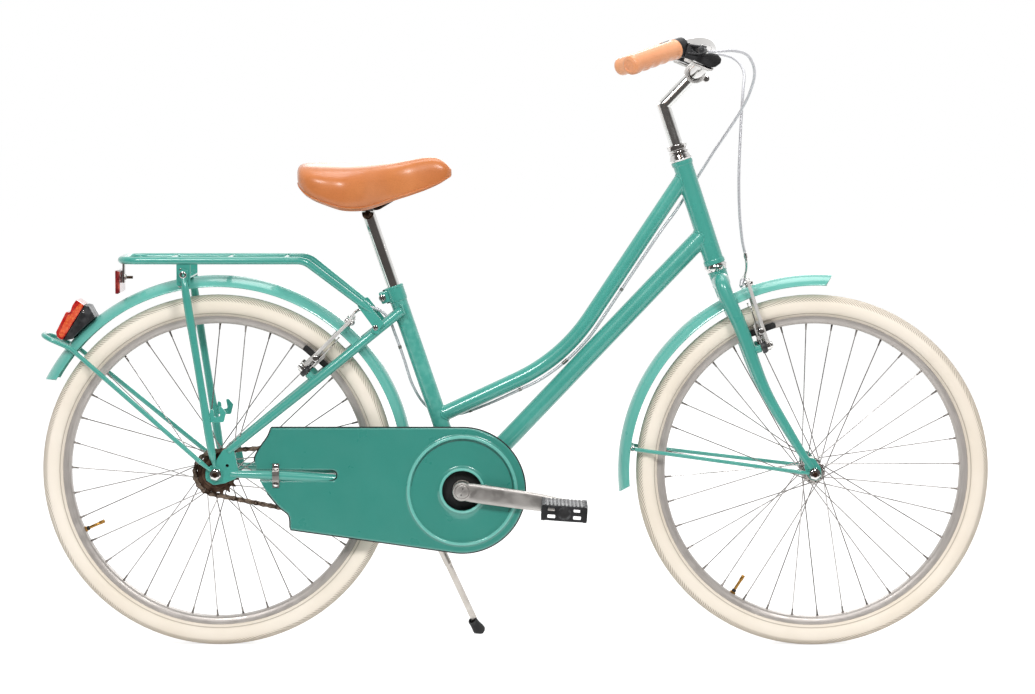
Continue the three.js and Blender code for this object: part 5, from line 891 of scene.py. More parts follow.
def headset():
    upper = [(13, 0.3), (17.2, 0.3), (17.8, 0.9), (19, 3.4), (19, 4.2), (17.7, 6.2), (17.7, 7.2),
             (16.4, 10.6),
             (15.6, 12.2), (13, 12.3)]
    lower = [(13, 0.3), (17.2, 0.3), (17.9, 0.9), (19.2, 4.4), (19.2, 5.4), (18.0, 6.6), (18.0, 7.6),
             (16.8, 11.4),
             (16, 12.2), (13, 12.3)]
    for name, cup, seat, way in (("upper", upper, HEAD_TOP, STEER_UP),
                                 ("lower", lower, HEAD_LOW, -STEER_UP)):
        ring = Piece(name + "_cup_ring").put(lathe(cup, seat, way, 48, loop=True), "chrome")
        ring.ride("frame", f"headset_{name}_cup")
    washer = [(13, 12.6), (15.6, 12.6), (16.3, 13.2), (16.3, 16.4), (15.6, 17.2), (14.9, 17.8),
              (14.9, 19.6),
              (16.2, 20.3), (13, 20.4)]
    nut = [(13, 20.5), (15.9, 20.5), (16.6, 21.2), (16.6, 27.0), (15.7, 28.4), (13, 28.5)]
    stack = Piece("locknut_stack").put(lathe(washer, HEAD_TOP, STEER_UP, 48, loop=True), "chrome")
    stack.put(lathe(nut, HEAD_TOP, STEER_UP, 8, loop=True), "chrome").ride("steering", "headset_locknut")


BLADE = [(0, 0.1, 0.962), (0, 0.62, 0.957), (0, 0.9, 0.935), (0, 1, 0.895), (0.14, 1.05, 0.73),
         (0.26, 1.12, 0.43),
         (0.6, 1.2, 0.22), (0.84, 1.27, 0.09), (0.96, 1.29, 0.03)]


def fork():
    piece = Piece("fork_shell")
    marks = []
    for (rake, spread, height), share in zip(BLADE, (0, 0, 0, 0, 0.1, 0.45, 0.75, 0.95, 1)):
        p = on_steering(RAKE * rake, 41 * spread, CROWN_HEIGHT * height)
        marks.append((p.x, p.y, p.z, mix(12.5, 6.5, share)))
    path, radii = split_radii(smooth(marks, 7))
    piece.both(tube(path, radii, 32, bulge=0.5), "teal")
    piece.put(lathe([(10, -26), (14.6, -26), (15.2, -25.2), (15.4, -13), (15.4, -3), (16.6, -1.6),
                     (16.6, 0), (10, 0)],
                    on_steering(0, 0, CROWN_HEIGHT), STEER_UP, 40, loop=True), "teal")
    crown = [on_steering(0, y, 0.957 * CROWN_HEIGHT - 1.6 - abs(y) * 0.04) for y in (-27, -20, -8, 8, 20,
            27)]
    piece.put(tube(crown, [12.4, 14.2, 15.2, 15.2, 14.2, 12.4], 32, bulge=0.8), "teal")
    piece.put(rod(on_steering(0, 0, 355), on_steering(0, 0, 588), 12.6, 32), "steel")
    dropout = [(-0.35, -0.1), (0, -0.38), (0.35, -0.1), (0.3, 0.3), (0, 0.75), (-0.5, 0.85), (-0.5, 0.3)]
    outline = eased(sized(dropout, 34, FRONT), 7)
    piece.both(plate(outline, 5, upright(52.5), 0.9, [ring2d(FRONT.x, FRONT.z, 5.2)]), "teal")
    piece.both(rod(FRONT_PIVOT - STEER_OUT * 26, FRONT_PIVOT - STEER_OUT * 8.5, 6.6), "teal")
    piece.both(rod(FRONT_PIVOT - STEER_OUT * 9, FRONT_PIVOT + STEER_OUT * 11, 4.9), "steel")
    piece.ride("steering", "fork")


headset()
fork()


# Mudguards and their stays

GUARD_HALF, GUARD_DEPTH = 27, 17
CROWN_RADIUS = (GUARD_HALF ** 2 + GUARD_DEPTH ** 2) / (2 * GUARD_DEPTH)
SPREAD = math.asin(GUARD_HALF / CROWN_RADIUS)


def mudguard(name, hub, radius, start, end, steps, flare):
    """A crowned strip with rolled edges and rounded ends; flare opens its front end."""
    folds = 18

    def crown(reach, first, last):
        bends = [mix(first, last, i / folds) for i in range(folds + 1)]
        return [(radius - CROWN_RADIUS + reach * math.cos(b), reach * math.sin(b)) for b in bends]
    section, under = crown(CROWN_RADIUS, -SPREAD, SPREAD), crown(CROWN_RADIUS - 1.2, SPREAD, -SPREAD)
    edge_r, edge_y = section[-1]
    curls = [math.radians(a) for a in (40, 90, 150)]
    roll = [(edge_r - 1.6 * math.sin(a), edge_y + 0.2 - 1.3 * (1 - math.cos(a))) for a in curls]
    profile = section + roll + under + [(r, -y) for r, y in roll[::-1]]
    rings = []
    for step in range(steps + 1):
        ring = []
        for r, y in profile:
            lift = math.degrees(16 / radius) * (1 - math.sqrt(max(0, 1 - min(1, abs(y) / 28.2) ** 2)))
            angle = mix(start + lift, end - lift, step / steps)
            open_up = flare * max(0, min(1, (135 - angle) / 50))
            ring.append(polar(hub, angle, r + open_up, y))
        rings.append(ring)
    # The strip takes the frame's teal painted lighter, as painted light.
    return Piece(name).put(skin(rings), "guard")


def mudguards():
    rear = mudguard("rear_mudguard_shell", REAR, REAR_GUARD, 3, 152, 120, 0)
    for angle in (101.0, 139.6):
        for side in (-1, 1):
            spot = polar(REAR, angle, REAR_GUARD - 9.5, side * 27.0)
            rear.put(screw(spot, SIDE * side, 3.6, 2.2, 0.45), "chrome")
    rear.ride("frame", "rear_mudguard")
    front = mudguard("front_mudguard_shell", FRONT, FRONT_GUARD, 84.6, 186.3, 90, 5)
    bracket = polar(FRONT, 118.0, FRONT_GUARD + 2)
    front.put(screw(bracket, (bracket - FRONT).normalized(), 4.2, 2.6), "chrome")
    front.ride("steering", "front_mudguard")


def eye(hub, face, thickness, radius=11.0):
    return plate(ring2d(hub.x, hub.z, radius, 36), thickness, upright(face + thickness / 2), 0.5,
                 [ring2d(hub.x, hub.z, 5.2)])


def front_stay():
    piece = Piece("front_stay_wire").both(eye(FRONT, 55.3, 2), "teal")
    strap = FRONT_GUARD - GUARD_DEPTH - 3.5 - 0.9
    start, knee = polar(FRONT, 172.7, 9.5, 58.0), polar(FRONT, 172.7, 24, 58.8)
    end = polar(FRONT, 172.7, strap + 2, 30.8)
    path = rounded([start, knee, end], 30, 6)
    radii = [mix(2.2, 3.3, min(1, (p - start).length / 14)) for p in path]
    piece.both(tube(path, radii, 16, bulge=0.6), "teal")
    piece.put(box(polar(FRONT, 172.7, strap - 1.5), at(5, 58, 2.2), 0.9,
                  x=(polar(FRONT, 172.7, 10) - FRONT).normalized()), "teal")
    piece.both(screw(polar(FRONT, 172.7, strap, 31.5), SIDE, 4.2, 3.0, 0.45), "chrome")
    piece.ride("steering", "front_mudguard_stay")


def rear_stay():
    piece = Piece("rear_stay_wire").both(eye(REAR, 64.6, 2), "teal")
    edge = polar(REAR, 139.6, REAR_GUARD - 8.5)
    half = [polar(REAR, 139.6, 10, 67), polar(REAR, 139.6, 33, 68.6), at(edge.x, 31.3, edge.z),
            at(edge.x - 48, 31.3, edge.z + 21)]
    path = rounded(half + [flip(p) for p in half[::-1]], 28, 9)
    radii = [mix(2.4, 4.0, min(1, min((p - half[0]).length,
                                      (p - flip(half[0])).length) / 14)) for p in path]
    piece.put(tube(path, radii, 20, bulge=0.5), "teal")
    piece.ride("frame", "rear_mudguard_stay")


mudguards()
front_stay()
rear_stay()


# Carrier

RACK_Z = 647.977
RACK_REAR, RACK_BEND = REAR.x - 156.5, REAR.x + 148.5
RACK_FRONT = at(UPPER_BRIDGE.x - 23.5, 0, UPPER_BRIDGE.z + 43.9)
LEG_TOP = at(-547.5, 0, 624.977)


def rear_rack():
    piece = Piece("carrier_platform")
    half = [at(RACK_FRONT.x, 44, RACK_FRONT.z), at(RACK_BEND, 60, RACK_Z), at(RACK_REAR, 60, RACK_Z)]
    path = rounded(half + [flip(p) for p in half[::-1]], 34, 12)
    lead = (path[1] - path[0]).normalized()
    path = [path[0] - lead * 26, path[0] - lead * 16] + path
    path = path + [flip(p) for p in path[1::-1]]
    size = [2.6, 3.4, 5.4] + [6.25] * (len(path) - 6) + [5.4, 3.4, 2.6]
    piece.put(tube(path, size, 28, bulge=0.4), "teal")
    for x in (-569.8, -476.3, -382.8):
        piece.put(rod(at(x, -55, RACK_Z), at(x, 55, RACK_Z), 4.5, 24), "teal")
        for side in (-1, 1):
            ring = circle(at(x, side * 53.6, RACK_Z), FORWARD, UP, 4.9, 24)
            piece.put(tube(ring + ring[:1], 1.1, 8), "teal")
    for side in (-1, 1):
        cheek = at(LEG_TOP.x, side * 60, RACK_Z - 21)
        outline = eased([(cheek.x - 11.5, RACK_Z - 2), (cheek.x - 11.5, cheek.z - 21),
                         (cheek.x + 11.5, cheek.z - 21), (cheek.x + 11.5, RACK_Z - 2)], 5)
        piece.put(plate(outline, 3, upright(side * 60), 0.7), "teal")
        piece.put(screw(at(cheek.x - 4, side * 61.4, RACK_Z - 15), SIDE * side, 2.6, 1.6), "chrome")
    piece.put(box(at(LEG_TOP.x, 0, 620), at(23, 120, 3), 0.8), "teal")
    piece.put(screw(at(LEG_TOP.x, 0, 621), UP, 5, 3), "chrome")
    for side in (-1, 1):
        a, b = RACK_FRONT, UPPER_BRIDGE
        outline = eased([(a.x - 10, a.z), (a.x + 4.6, a.z + 8), (b.x + 12, b.z + 13), (b.x + 5, b.z + 3),
                         (b.x + 3, b.z - 5.5), (b.x - 8.5, b.z - 2.5), (b.x - 7, b.z + 8)], 4)
        piece.put(plate(outline, 3, upright(side * 42.5), 0.7, [ring2d(b.x - 3, b.z + 5, 2.4)]), "teal")
        piece.put(screw(at(b.x - 2, side * 44, b.z + 6), SIDE * side, 4.4, 3.0), "chrome")
        piece.put(screw(at(a.x - 2, side * 44, a.z + 1), SIDE * side, 3.8, 2.4), "chrome")
    piece.put(box(at(RACK_REAR, 0, RACK_Z - 18.5), at(3, 15.3, 43), 0.8), "satin")
    piece.put(rod(at(RACK_REAR + 5, 0, RACK_Z - 31), at(RACK_REAR + 15, 0, RACK_Z - 31), 2.4, 16), "steel")
    piece.put(hexnut(at(RACK_REAR + 1.5, 0, RACK_Z - 31), FORWARD, 5, 4), "chrome")
    piece.ride("frame", "rear_rack")


def rack_leg(side):
    piece = Piece(hand(side) + "_carrier_leg", side)
    face = 61.3
    foot, top = at(REAR.x, face + 1.5, REAR.z), LEG_TOP + SIDE * 64.8
    ankle, shoulder = mix(foot, LEG_TOP, 0.1), mix(foot, LEG_TOP, 0.93)
    ankle.y, shoulder.y = face + 6.25, 68
    stations = [foot, mix(foot, ankle, 0.55), ankle, mix(ankle, shoulder, 0.5), shoulder,
                top + at(0.5, 0, -2), top + UP * 5]
    stations[1].y = face + 2.2
    path, radii = split_radii(smooth([(*p, r) for p, r in zip(stations,
                                                              (2, 3.2, 6.25, 6.25, 6.25, 3.2, 2))], 6))
    piece.put(tube(path, radii, 24, bulge=0.3), "teal")
    piece.put(eye(REAR, face, 3, 12), "teal")
    lobe = eased([(top.x - 7.5, top.z - 12), (top.x + 7.5, top.z - 12), (top.x + 8.5, top.z + 6),
                  (top.x, top.z + 10), (top.x - 8.5, top.z + 6)], 6)
    piece.put(plate(lobe, 3, upright(64.0), 0.7), "teal")
    piece.put(screw(at(top.x, 65.3, top.z), SIDE, 6, 4.2), "chrome")
    root = REAR + (LEG_TOP - REAR).normalized() * 88
    shares = [(-0.1, 0), (1, 0), (1.15, 0.6), (0.85, 0.95), (0.7, 0.9), (0.8, 0.35), (0.45, 0.3),
              (0.4, 0.75), (0.2, 0.8), (0.15, 0.3), (-0.1, 0.3)]
    hook = eased(sized(shares, 28, root), 3.5)
    piece.put(plate(hook, 3, upright(67.5), 0.8), "teal")
    piece.ride("frame", hand(side) + "_rack_leg")


def reflector():
    back = at(RACK_REAR - 1.8, 0, RACK_Z - 37)
    piece = Piece("reflector_block").put(box(back - FORWARD * 5.2, at(6.0, 79, 39), 1.6, segments=3),
                                         "reflector")
    piece.put(box(back - FORWARD * 1.4, at(2.0, 76, 36), 0.8), "reflector").ride("frame", "rear_reflector")


rear_rack()
rack_leg(1)
rack_leg(-1)
reflector()


# Tail light

LIGHT_TURN = math.radians(132.7)
LIGHT_DOWN = at(-math.sin(LIGHT_TURN), 0, math.cos(LIGHT_TURN))
LIGHT_OUT = at(math.cos(LIGHT_TURN), 0, math.sin(LIGHT_TURN))
LIGHT_LENGTH = 53
LIGHT_SEAT = REAR + LIGHT_OUT * 326.55


def on_light(s, t, h):
    p = LIGHT_SEAT + LIGHT_DOWN * s + LIGHT_OUT * t
    return at(p.x, h, p.z)


def tail_light():
    spots = [-0.5 + i / 12 for i in range(13)]
    arc = [(s, 0.006 - 0.5 * s ** 2 * LIGHT_LENGTH / REAR_GUARD) for s in spots]
    body = sized(arc + [(0.76, 0.15), (-0.52, 0.5), (-0.6, 0.38)], LIGHT_LENGTH)
    piece = Piece("tail_light_body").put(plate(body, 52, on_light, 2.2), "black")
    for side in (-1, 1):
        piece.put(screw(on_light(-19, 20, side * 26), SIDE * side, 2.0, 1.2), "chrome")
    piece.ride("frame", "tail_light_housing")
    lens = [(-0.52, 0.51), (-0.45, 0.81), (-0.23, 0.76), (-0.03, 0.65), (0.05, 0.75), (0.72, 0.5),
            (0.81, 0.36), (0.76, 0.16)]
    cover = Piece("tail_light_cover").put(plate(eased(sized(lens, LIGHT_LENGTH), 3, 3), 55, on_light, 2.4),
                                          "lens")
    band = [(-0.50, 0.53), (-0.47, 0.66), (0.02, 0.57), (0.06, 0.64), (0.70, 0.39), (0.72, 0.21)]
    cover.put(plate(eased(sized(band, LIGHT_LENGTH), 3, 3), 55.8, on_light, 1.0), "amber")
    for s in (-16, 10, 26):
        t = 0.76 * LIGHT_LENGTH - abs(s + 20) * 0.26 if s < 0 else 0.755 * LIGHT_LENGTH - (s - 2) * 0.37
        cover.put(box(on_light(s, t - 2.6, 0), at(0.9, 51, 5.0), 0.4, x=LIGHT_DOWN, z=LIGHT_OUT), "lens")
    cover.ride("frame", "tail_light_lens")


tail_light()


# Stem, handlebar, grips

STEM_BASE = FORK_LENGTH + HEAD_LENGTH + 28
STEM_BEND = on_steering(0, 0, STEM_BASE + 68)
BAR = on_steering(66, 0, STEM_BASE + 103)


def on_bar(sweep, span, rise):
    return at(BAR.x + sweep * 117, 272 * span, BAR.z + rise * 60)


GRIP_START, GRIP_END = on_bar(-0.22, 0.65, 0.72), on_bar(-1, 1, 0.18)
GRIP_RUN = (GRIP_END - GRIP_START).normalized()
bar_marks = [on_bar(*s) for s in ((0, 0.08, 0), (0.06, 0.2, 0.15), (0.12, 0.32, 0.44), (0.15, 0.4, 0.64),
                                  (0.11, 0.48, 0.75),
                                  (0.0, 0.55, 0.79), (-0.1, 0.6, 0.76))] + [GRIP_START]
bar_path = smooth(bar_marks, 8) + [GRIP_END - GRIP_RUN * 7.75]


def stem():
    piece = Piece("stem_body")
    neck = mix(STEM_BEND, BAR, 0.9)
    top = STEM_BEND + STEER_UP * 5
    piece.put(rod(on_steering(0, 0, STEM_BASE - 70), top, 11.1, 40, 0.8), "brushed")
    piece.put(rod(STEM_BEND, neck, 11.1, 40), "brushed")
    piece.put(lathe([(0, -3), (4.4, -3), (4.6, 0.3), (6.8, 0.6), (7.2, 0), (7.2, -1), (0, -3)], top,
                    STEER_UP, 28), "chrome")
    clamp = [(12.9, -18), (16.2, -18), (17, -17.2), (17, 17.2), (16.2, 18), (12.9, 18)]
    piece.put(lathe(clamp, BAR, SIDE, 48, loop=True), "bright")
    drop = at(66, 0, -35).normalized()
    lug = BAR + drop * 20.7
    for shift in (5.2, -5.2):
        ear = box(BAR + drop * 17, at(15, 7.6, 12), 2.2, x=drop, z=drop.cross(SIDE), segments=3)
        piece.put(ear, "chrome", move=lambda p: p + SIDE * shift)
    # A dark slab between the clamp's ears, painted shade for the gap.
    piece.put(box(BAR + drop * 17, at(12, 3, 9), 0.3, x=drop, z=drop.cross(SIDE)), "dark")
    piece.put(screw(lug - SIDE * 8.6, -SIDE, 5.4, 4.4, 0.52),
              "chrome").put(hexnut(lug + SIDE * 8.6, SIDE, 5.8, 4), "chrome")
    piece.ride("cockpit", "stem")
    bar = Piece("handlebar_tube")
    bar.put(tube([flip(p) for p in bar_path[::-1]] + bar_path, 11.1, 32), "chrome")
    bar.put(lathe([(11, -26), (11.3, -26), (12.5, -22), (12.6, 22), (11.3, 26), (11, 26)], BAR, SIDE, 36,
                  loop=True), "chrome")
    bar.ride("cockpit", "handlebar")


under = GRIP_RUN.cross(SIDE).normalized()
GRIP_DOWN = -under if under.z > 0 else under
GRIP_OUT = GRIP_DOWN.cross(GRIP_RUN).normalized()


def grip(side):
    """A moulded grip: finger scallops below, a flange inboard, a domed and ringed end cap."""
    rings, run = [], []
    steps, sides = 84, 40
    for i in range(steps + 1):
        share = i / steps
        centre = GRIP_END - GRIP_RUN * (112 * (1 - share))
        dome = 1.0 if share < 0.955 else math.sqrt(max(0.02,
                                                       1 - ((share - 0.955) / 0.0455) ** 2)) * 0.22 + 0.78
        lip = (0.07 * math.exp(-((share - 0.012) / 0.016) ** 2)
               + 0.035 * math.exp(-((share - 0.93) / 0.012) ** 2))
        ribs = -0.012 * (0.5 - 0.5 * math.cos(2 * math.pi * share * 34)) if 0.06 < share < 0.9 else 0
        ring = []
        for k in range(sides):
            t = 2 * math.pi * k / sides
            scallop = 0.0
            if 0.1 < share < 0.9:
                scallop = 0.085 * (0.5 - 0.5 * math.cos(2 * math.pi * (share - 0.1) / 0.2)) * max(0,
                        math.cos(t)) ** 1.5
            top = ribs if math.cos(t) < 0.2 else 0
            pad = 0.4 if 0.1 < share < 0.9 and math.cos(t) > 0.5 else 0
            r = 15.5 * dome * (1 + lip + top - scallop) + pad
            ring.append(centre + GRIP_DOWN * (r * math.cos(t)) + GRIP_OUT * (r * math.sin(t)))
        rings.append(ring)
        run.append(share * 0.112)
    piece = Piece(hand(side) + "_grip_cover", side)
    # The cover and its end cap take the tan painted lighter, as painted light.
    piece.put(skin(rings, run=run + [0.115]), "grip")
    cap = [(0, 0.0), (12.0, 0.0), (12.6, 0.5), (12.2, 1.3), (9.2, 1.9), (8.8, 1.2), (4.2, 1.4), (3.6, 2.0),
           (0, 2.1)]
    piece.put(lathe(cap, GRIP_END - GRIP_RUN * 0.4, GRIP_RUN, 36), "grip")
    piece.ride("cockpit", hand(side) + "_grip", sharp=60)


stem()
grip(1)
grip(-1)


# Brake levers

CLAMP = GRIP_END - GRIP_RUN * 121.3
LEVER_FORWARD = at(1, 0, -0.12).normalized()
LEVER_PIN = CLAMP + LEVER_FORWARD * 36 + SIDE * 6.3
LEVER_UP = LEVER_FORWARD.cross(SIDE).normalized()
BARREL_ROOT = CLAMP + LEVER_FORWARD * 28.8
BARREL_START = BARREL_ROOT - SIDE * 14.4
BARREL_END = BARREL_START - SIDE * 8.8 + LEVER_FORWARD * 13.6
BARREL_RUN = (BARREL_END - BARREL_START).normalized()


def lever_clamp(side):
    piece = Piece(hand(side) + "_lever_bracket", side)
    ring = [(11.3, -9), (14.6, -9), (15.6, -8), (16, -6), (16, 6), (15.6, 8), (14.6, 9), (11.3, 9)]
    piece.put(lathe(ring, CLAMP, GRIP_RUN, 40, loop=True), "black")
    body = eased([(12, -13), (30, -14), (40, -12), (44, -4), (44, 7), (38, 13.5), (24, 13.5), (12, 11)], 5)

    def place(h0):
        return lambda s, t, h: CLAMP + LEVER_FORWARD * s + SIDE * t + LEVER_UP * (h + h0)
    piece.pair(lambda way: plate(body, 3.6, place(6.5 * way), 1.2, [ring2d(36, 6.3, 2.6)]), "black")
    spine = eased([(12, -13), (30, -14), (38, -12), (30, -2), (20, 11), (12, 11)], 3)
    piece.put(plate(spine, 12, place(0), 1.0), "black")
    ahead = at(0.936, 0, -0.352)
    rise = at(0.352, 0, 0.936)
    flank = lambda s, t, h: CLAMP + ahead * (s + 2) + rise * (t - 1.5) + SIDE * (h + 3)
    hood = eased([(6, 15.5), (13, 12), (22, 7), (31, 4.5), (40, 7.5), (50, 12.5), (60, 13.5), (68, 9),
                  (69, 2), (64, -6), (56, -11), (44, -10), (30, -9), (16, -9), (8, -12)], 4)
    piece.put(plate(hood, 15, flank, 3.2, segments=4), "black")
    strip = eased([(12, -9.5), (30, -10), (46, -10.5), (56, -11.5), (62, -8.5), (61, -13.5), (54, -17),
                   (42, -16), (26, -15.5), (13, -15)], 2)
    piece.put(plate(strip, 12, flank, 1.6, segments=3), "bright")
    piece.put(screw(CLAMP + LEVER_FORWARD * 15 + LEVER_UP * 8.2 - SIDE * 2, LEVER_UP, 3.4, 2.4), "chrome")
    piece.put(rod(BARREL_START - BARREL_RUN * 4, BARREL_START + BARREL_RUN * 5, 5.4, 24), "black")
    for k in range(4):
        a = BARREL_START + BARREL_RUN * (5.2 + k * 1.6)
        piece.put(rod(a, a + BARREL_RUN * 1.1, 4.9, 20, 0.3), "chrome")
    piece.put(rod(BARREL_START + BARREL_RUN * 4, BARREL_END, 4.2, 20), "chrome")
    piece.ride("cockpit", hand(side) + "_lever_clamp")


def brake_lever(side):
    piece = Piece(hand(side) + "_lever_blade", side)
    out = at(GRIP_RUN.x, GRIP_RUN.y, 0).normalized()
    path = smooth([LEVER_PIN, LEVER_PIN + SIDE * 26.4 + LEVER_FORWARD * 4.32,
                   LEVER_PIN + SIDE * 57.2 + out * 3.6,
                   LEVER_PIN + SIDE * 88 + out * 7.2], 10)
    rings, run = [], []
    for i, (p, (t, n, b)) in enumerate(zip(path, frames(path))):
        share = i / (len(path) - 1)
        across = LEVER_UP.cross(t).normalized()
        high, wide = mix(4.5, 5.6, math.sin(math.pi * share)), mix(5.4, 3.4, min(1, share * 1.6))
        ring = []
        for k in range(24):
            a = 2 * math.pi * k / 24
            c, s = math.cos(a), math.sin(a)
            c, s = math.copysign(abs(c) ** 0.7, c), math.copysign(abs(s) ** 0.7, s)
            ring.append(p + LEVER_UP * (high * 0.82 * s) + across * (wide * 0.82 * c))
        rings.append(ring)
        run.append(share * 0.09)
    piece.put(skin(rings, run=run + [0.09]), "black")
    end = path[-1]
    profile = [(5.7 * math.sin(math.radians(a)), -5.7 * math.cos(math.radians(a))) for a in range(0, 181,
            15)]
    piece.put(lathe(profile, end, LEVER_UP, 24), "black")
    piece.put(rod(LEVER_PIN - LEVER_UP * 4.4, LEVER_PIN + LEVER_UP * 4.4, 6.3, 24, 0.8), "black")
    piece.put(rod(LEVER_PIN - LEVER_UP * 8.6, LEVER_PIN + LEVER_UP * 8.6, 2.4, 16), "chrome")
    head = lambda way: rod(LEVER_PIN + LEVER_UP * 8.2 * way, LEVER_PIN + LEVER_UP * 9.4 * way, 3.8, 20, 0.4)
    piece.pair(head, "chrome")
    piece.ride(hand(side) + "_lever", hand(side) + "_brake_lever")


for side in (1, -1):
    lever_clamp(side)
    brake_lever(side)


# V-brakes

def brake(name, hub, pivot, out, up, bodies):
    """Two arms in their own frame: x out from the blade, y away from the wheel, z up the arm."""
    length, cradle = 115, 108
    a, b = pivot.copy(), pivot + up * length
    a.y = b.y = 0
    pad_rise = length * share_at(a, b, hub, 253.0)
    radial = (a + up * pad_rise - hub).normalized()
    tangent = SIDE.cross(radial)
    local = lambda v: at(v.dot(out), 0, v.dot(up))
    for side, prefix in ((1, "left"), (-1, "right")):
        def place(p, side=side):
            q = pivot + out * p.x + up * p.z
            return at(q.x, side * (43 + p.y), q.z)
        piece = Piece(f"{prefix}_{name}_arm_body")

        def put(shell, paint):
            piece.put(shell, paint, move=place)
        put(lathe([(5.2, -7.5), (7.4, -7.5), (8, -6.9), (8, 6.9), (7.4, 7.5), (5.2, 7.5)], at(0, 0, 0),
                  FORWARD, 32, loop=True), "chrome")
        put(lathe([(8.1, -7.6), (9.4, -7.4), (10.2, -6.2), (10.2, -1.4), (9.2, -0.4), (9.2, 1.0),
                   (8.1, 1.6)], at(0, 0, 0), FORWARD, 28, loop=True), "black")
        flange = eased([(-9, 13), (2.6, 15), (2.6, 44), (-4.5, 45), (-9.4, 39)], 3)
        window = [eased([(-6.6, 30), (-0.6, 30.6), (-0.8, 40), (-5.4, 40)], 1.6)]
        put(plate(flange, 2.8, lambda s, t, h: at(s, h - 2.0, t), 0.8, window), "bright")
        put(screw(at(-3, -0.6, 21.5), SIDE, 4.2, 2.4), "chrome")
        put(screw(at(7.5, 0, 0), FORWARD, 5.6, 4.5), "chrome")
        shares = [(0.55, 0.05), (0.7, 0.25), (0.52, 0.6), (0.34, 1), (-0.5, 1.02), (-0.5, 0.6),
                  (-0.6, 0.25), (-0.55, 0.05)]
        outline = eased([(y * 12, z * length) for y, z in shares], 4)
        holes = [eased([(-2.2, 52), (1.6, 52), (1.0, 66), (-1.8, 66)], 1.5)]
        put(plate(outline, 6, lambda s, t, h: at(h + 4.4, s, t), 1.6, holes, 3), "bright")
        pad_y = 12.5 + 1.9 + 5 - 43
        turn_x, turn_z = local(tangent), local(radial)
        centre = at(0, pad_y, pad_rise)
        bend = lambda s, t, h: centre + turn_x * s + turn_z * (t - s * s * 0.0012) + SIDE * h
        shoe = eased([(-27, -4.2), (-24, -5), (24, -5), (27, -3), (27, 3), (24, 5), (-24, 5), (-27, 4.2)],
                     1.6)
        put(plate(shoe, 8.4, lambda s, t, h: bend(s, t, h - 0.8), 1.2), "rubber")
        # Dark bars across the shoe's face, painted shade for its grooves.
        for s in (-13, 0, 13):
            put(box(bend(s, 0, -4.9), at(1.4, 0.9, 9.4), 0.2, x=turn_x, z=turn_z), "dark")
        put(plate(eased([(-20, -3.2), (20, -3.2), (20, 3.2), (-20, 3.2)], 2), 2.4, lambda s, t,
                  h: bend(s, t, h + 4.4), 0.6), "rubber")
        put(rod(centre + SIDE * 4, at(0, 9.6, pad_rise), 3.0, 20), "chrome")
        put(rod(at(0, -10.4, pad_rise), at(0, -6.2, pad_rise), 6.4, 24, end_radius=5.2), "black")
        put(rod(at(0, 3.8, pad_rise), at(0, 6.6, pad_rise), 6.2, 24), "black")
        put(hexnut(at(0, 6.6, pad_rise), SIDE, 5.4, 4.2), "chrome")
        put(rod(at(7, -1.2, cradle), at(8.6, -1.2, cradle), 5.2, 24), "chrome")
        put(screw(at(8.6, -1.2, cradle), FORWARD, 4.6, 3.4), "chrome")
        put(hexnut(at(1.6, -1.2, cradle), -FORWARD, 5, 3.6), "chrome")
        spring = smooth([at(-4.4, 3.4, 2), at(-4.6, 5.0, 14), at(-4.4, 4.2, 34), at(-4.2, 2.4, 58),
                         at(-4.0, -1.4, 70)], 5)
        put(tube(spring, 0.9, 8, bulge=0.5), "chrome")
        put(rod(at(-5.0, -2.2, 70), at(-2.4, -2.2, 70), 2.4, 12), "chrome")
        if side > 0 and name == "front" or side < 0 and name == "rear":
            # The noodle hangs on this arm: a bent pipe whose end meets the cable.
            pipe = smooth(NOODLES[name], 8)
            piece.put(tube(pipe, 2.4, 16, bulge=0.2), "chrome")
            piece.put(rod(pipe[0] - (pipe[1] - pipe[0]).normalized() * 2, pipe[4], 3.6, 20), "chrome")
            last, run = pipe[-1], (pipe[-1] - pipe[-2]).normalized()
            piece.put(rod(last - run * 3, last + run * 2, 4.4, 20, 0.8), "chrome")
            marks = [i / 36 for i in range(37)]
            folds = [mix(5.0, 2.4, t) * (1 + 0.13 * math.sin(t * 2 * math.pi * 7)) for t in marks]
            piece.put(tube([last + run * (2 + 27 * t) for t in marks], folds, 20, bulge=0.3), "housing")
            far = pivot + out + up * cradle
            far.y = -last.y / abs(last.y) * 41.5
            hook = place(at(0, -2, cradle))
            piece.put(tube([last + run * 4, mix(last, far, 0.5), far, far + (far - last).normalized() * 7],
                           0.8, 8, bulge=0.5), "chrome")
            piece.put(box(mix(last, hook, 0.5), at(2.2, abs(hook.y - last.y) + 6, 8), 0.6, x=out, z=up),
                      "chrome")
        piece.ride(bodies[prefix], f"{prefix}_{name}_brake_arm")


# Each noodle runs from the cable's end, over and across to the arm's cradle.
front_cradle = FRONT_PIVOT + STEER_OUT * 1 + STEER_UP * 110
rear_cradle = REAR_PIVOT + REAR_OUT * 1 + REAR_UP * 110
NOODLES = {
    "front": [at(384, 20.5, 655), at(386.6, 24, 641), at(387, 31, 628), at(385.5, 38, 618.5),
              at(front_cradle.x + 2, 39, front_cradle.z + 3), at(front_cradle.x, 30, front_cradle.z)],
    "rear": [at(-250, 4, 564.8), at(-262, 2, 562), at(-270, -8, 556), at(-273, -22, 549.5),
             at(-272.5, -33, 545),
             at(rear_cradle.x, -35, rear_cradle.z + 1), at(rear_cradle.x, -27, rear_cradle.z)],
}
for name, place in (("front", (FRONT, FRONT_PIVOT, STEER_OUT, STEER_UP)),
                    ("rear", (REAR, REAR_PIVOT, REAR_OUT, REAR_UP))):
    brake(name, *place, {"left": f"left_{name}_arm", "right": f"right_{name}_arm"})


# Chain and its wheels

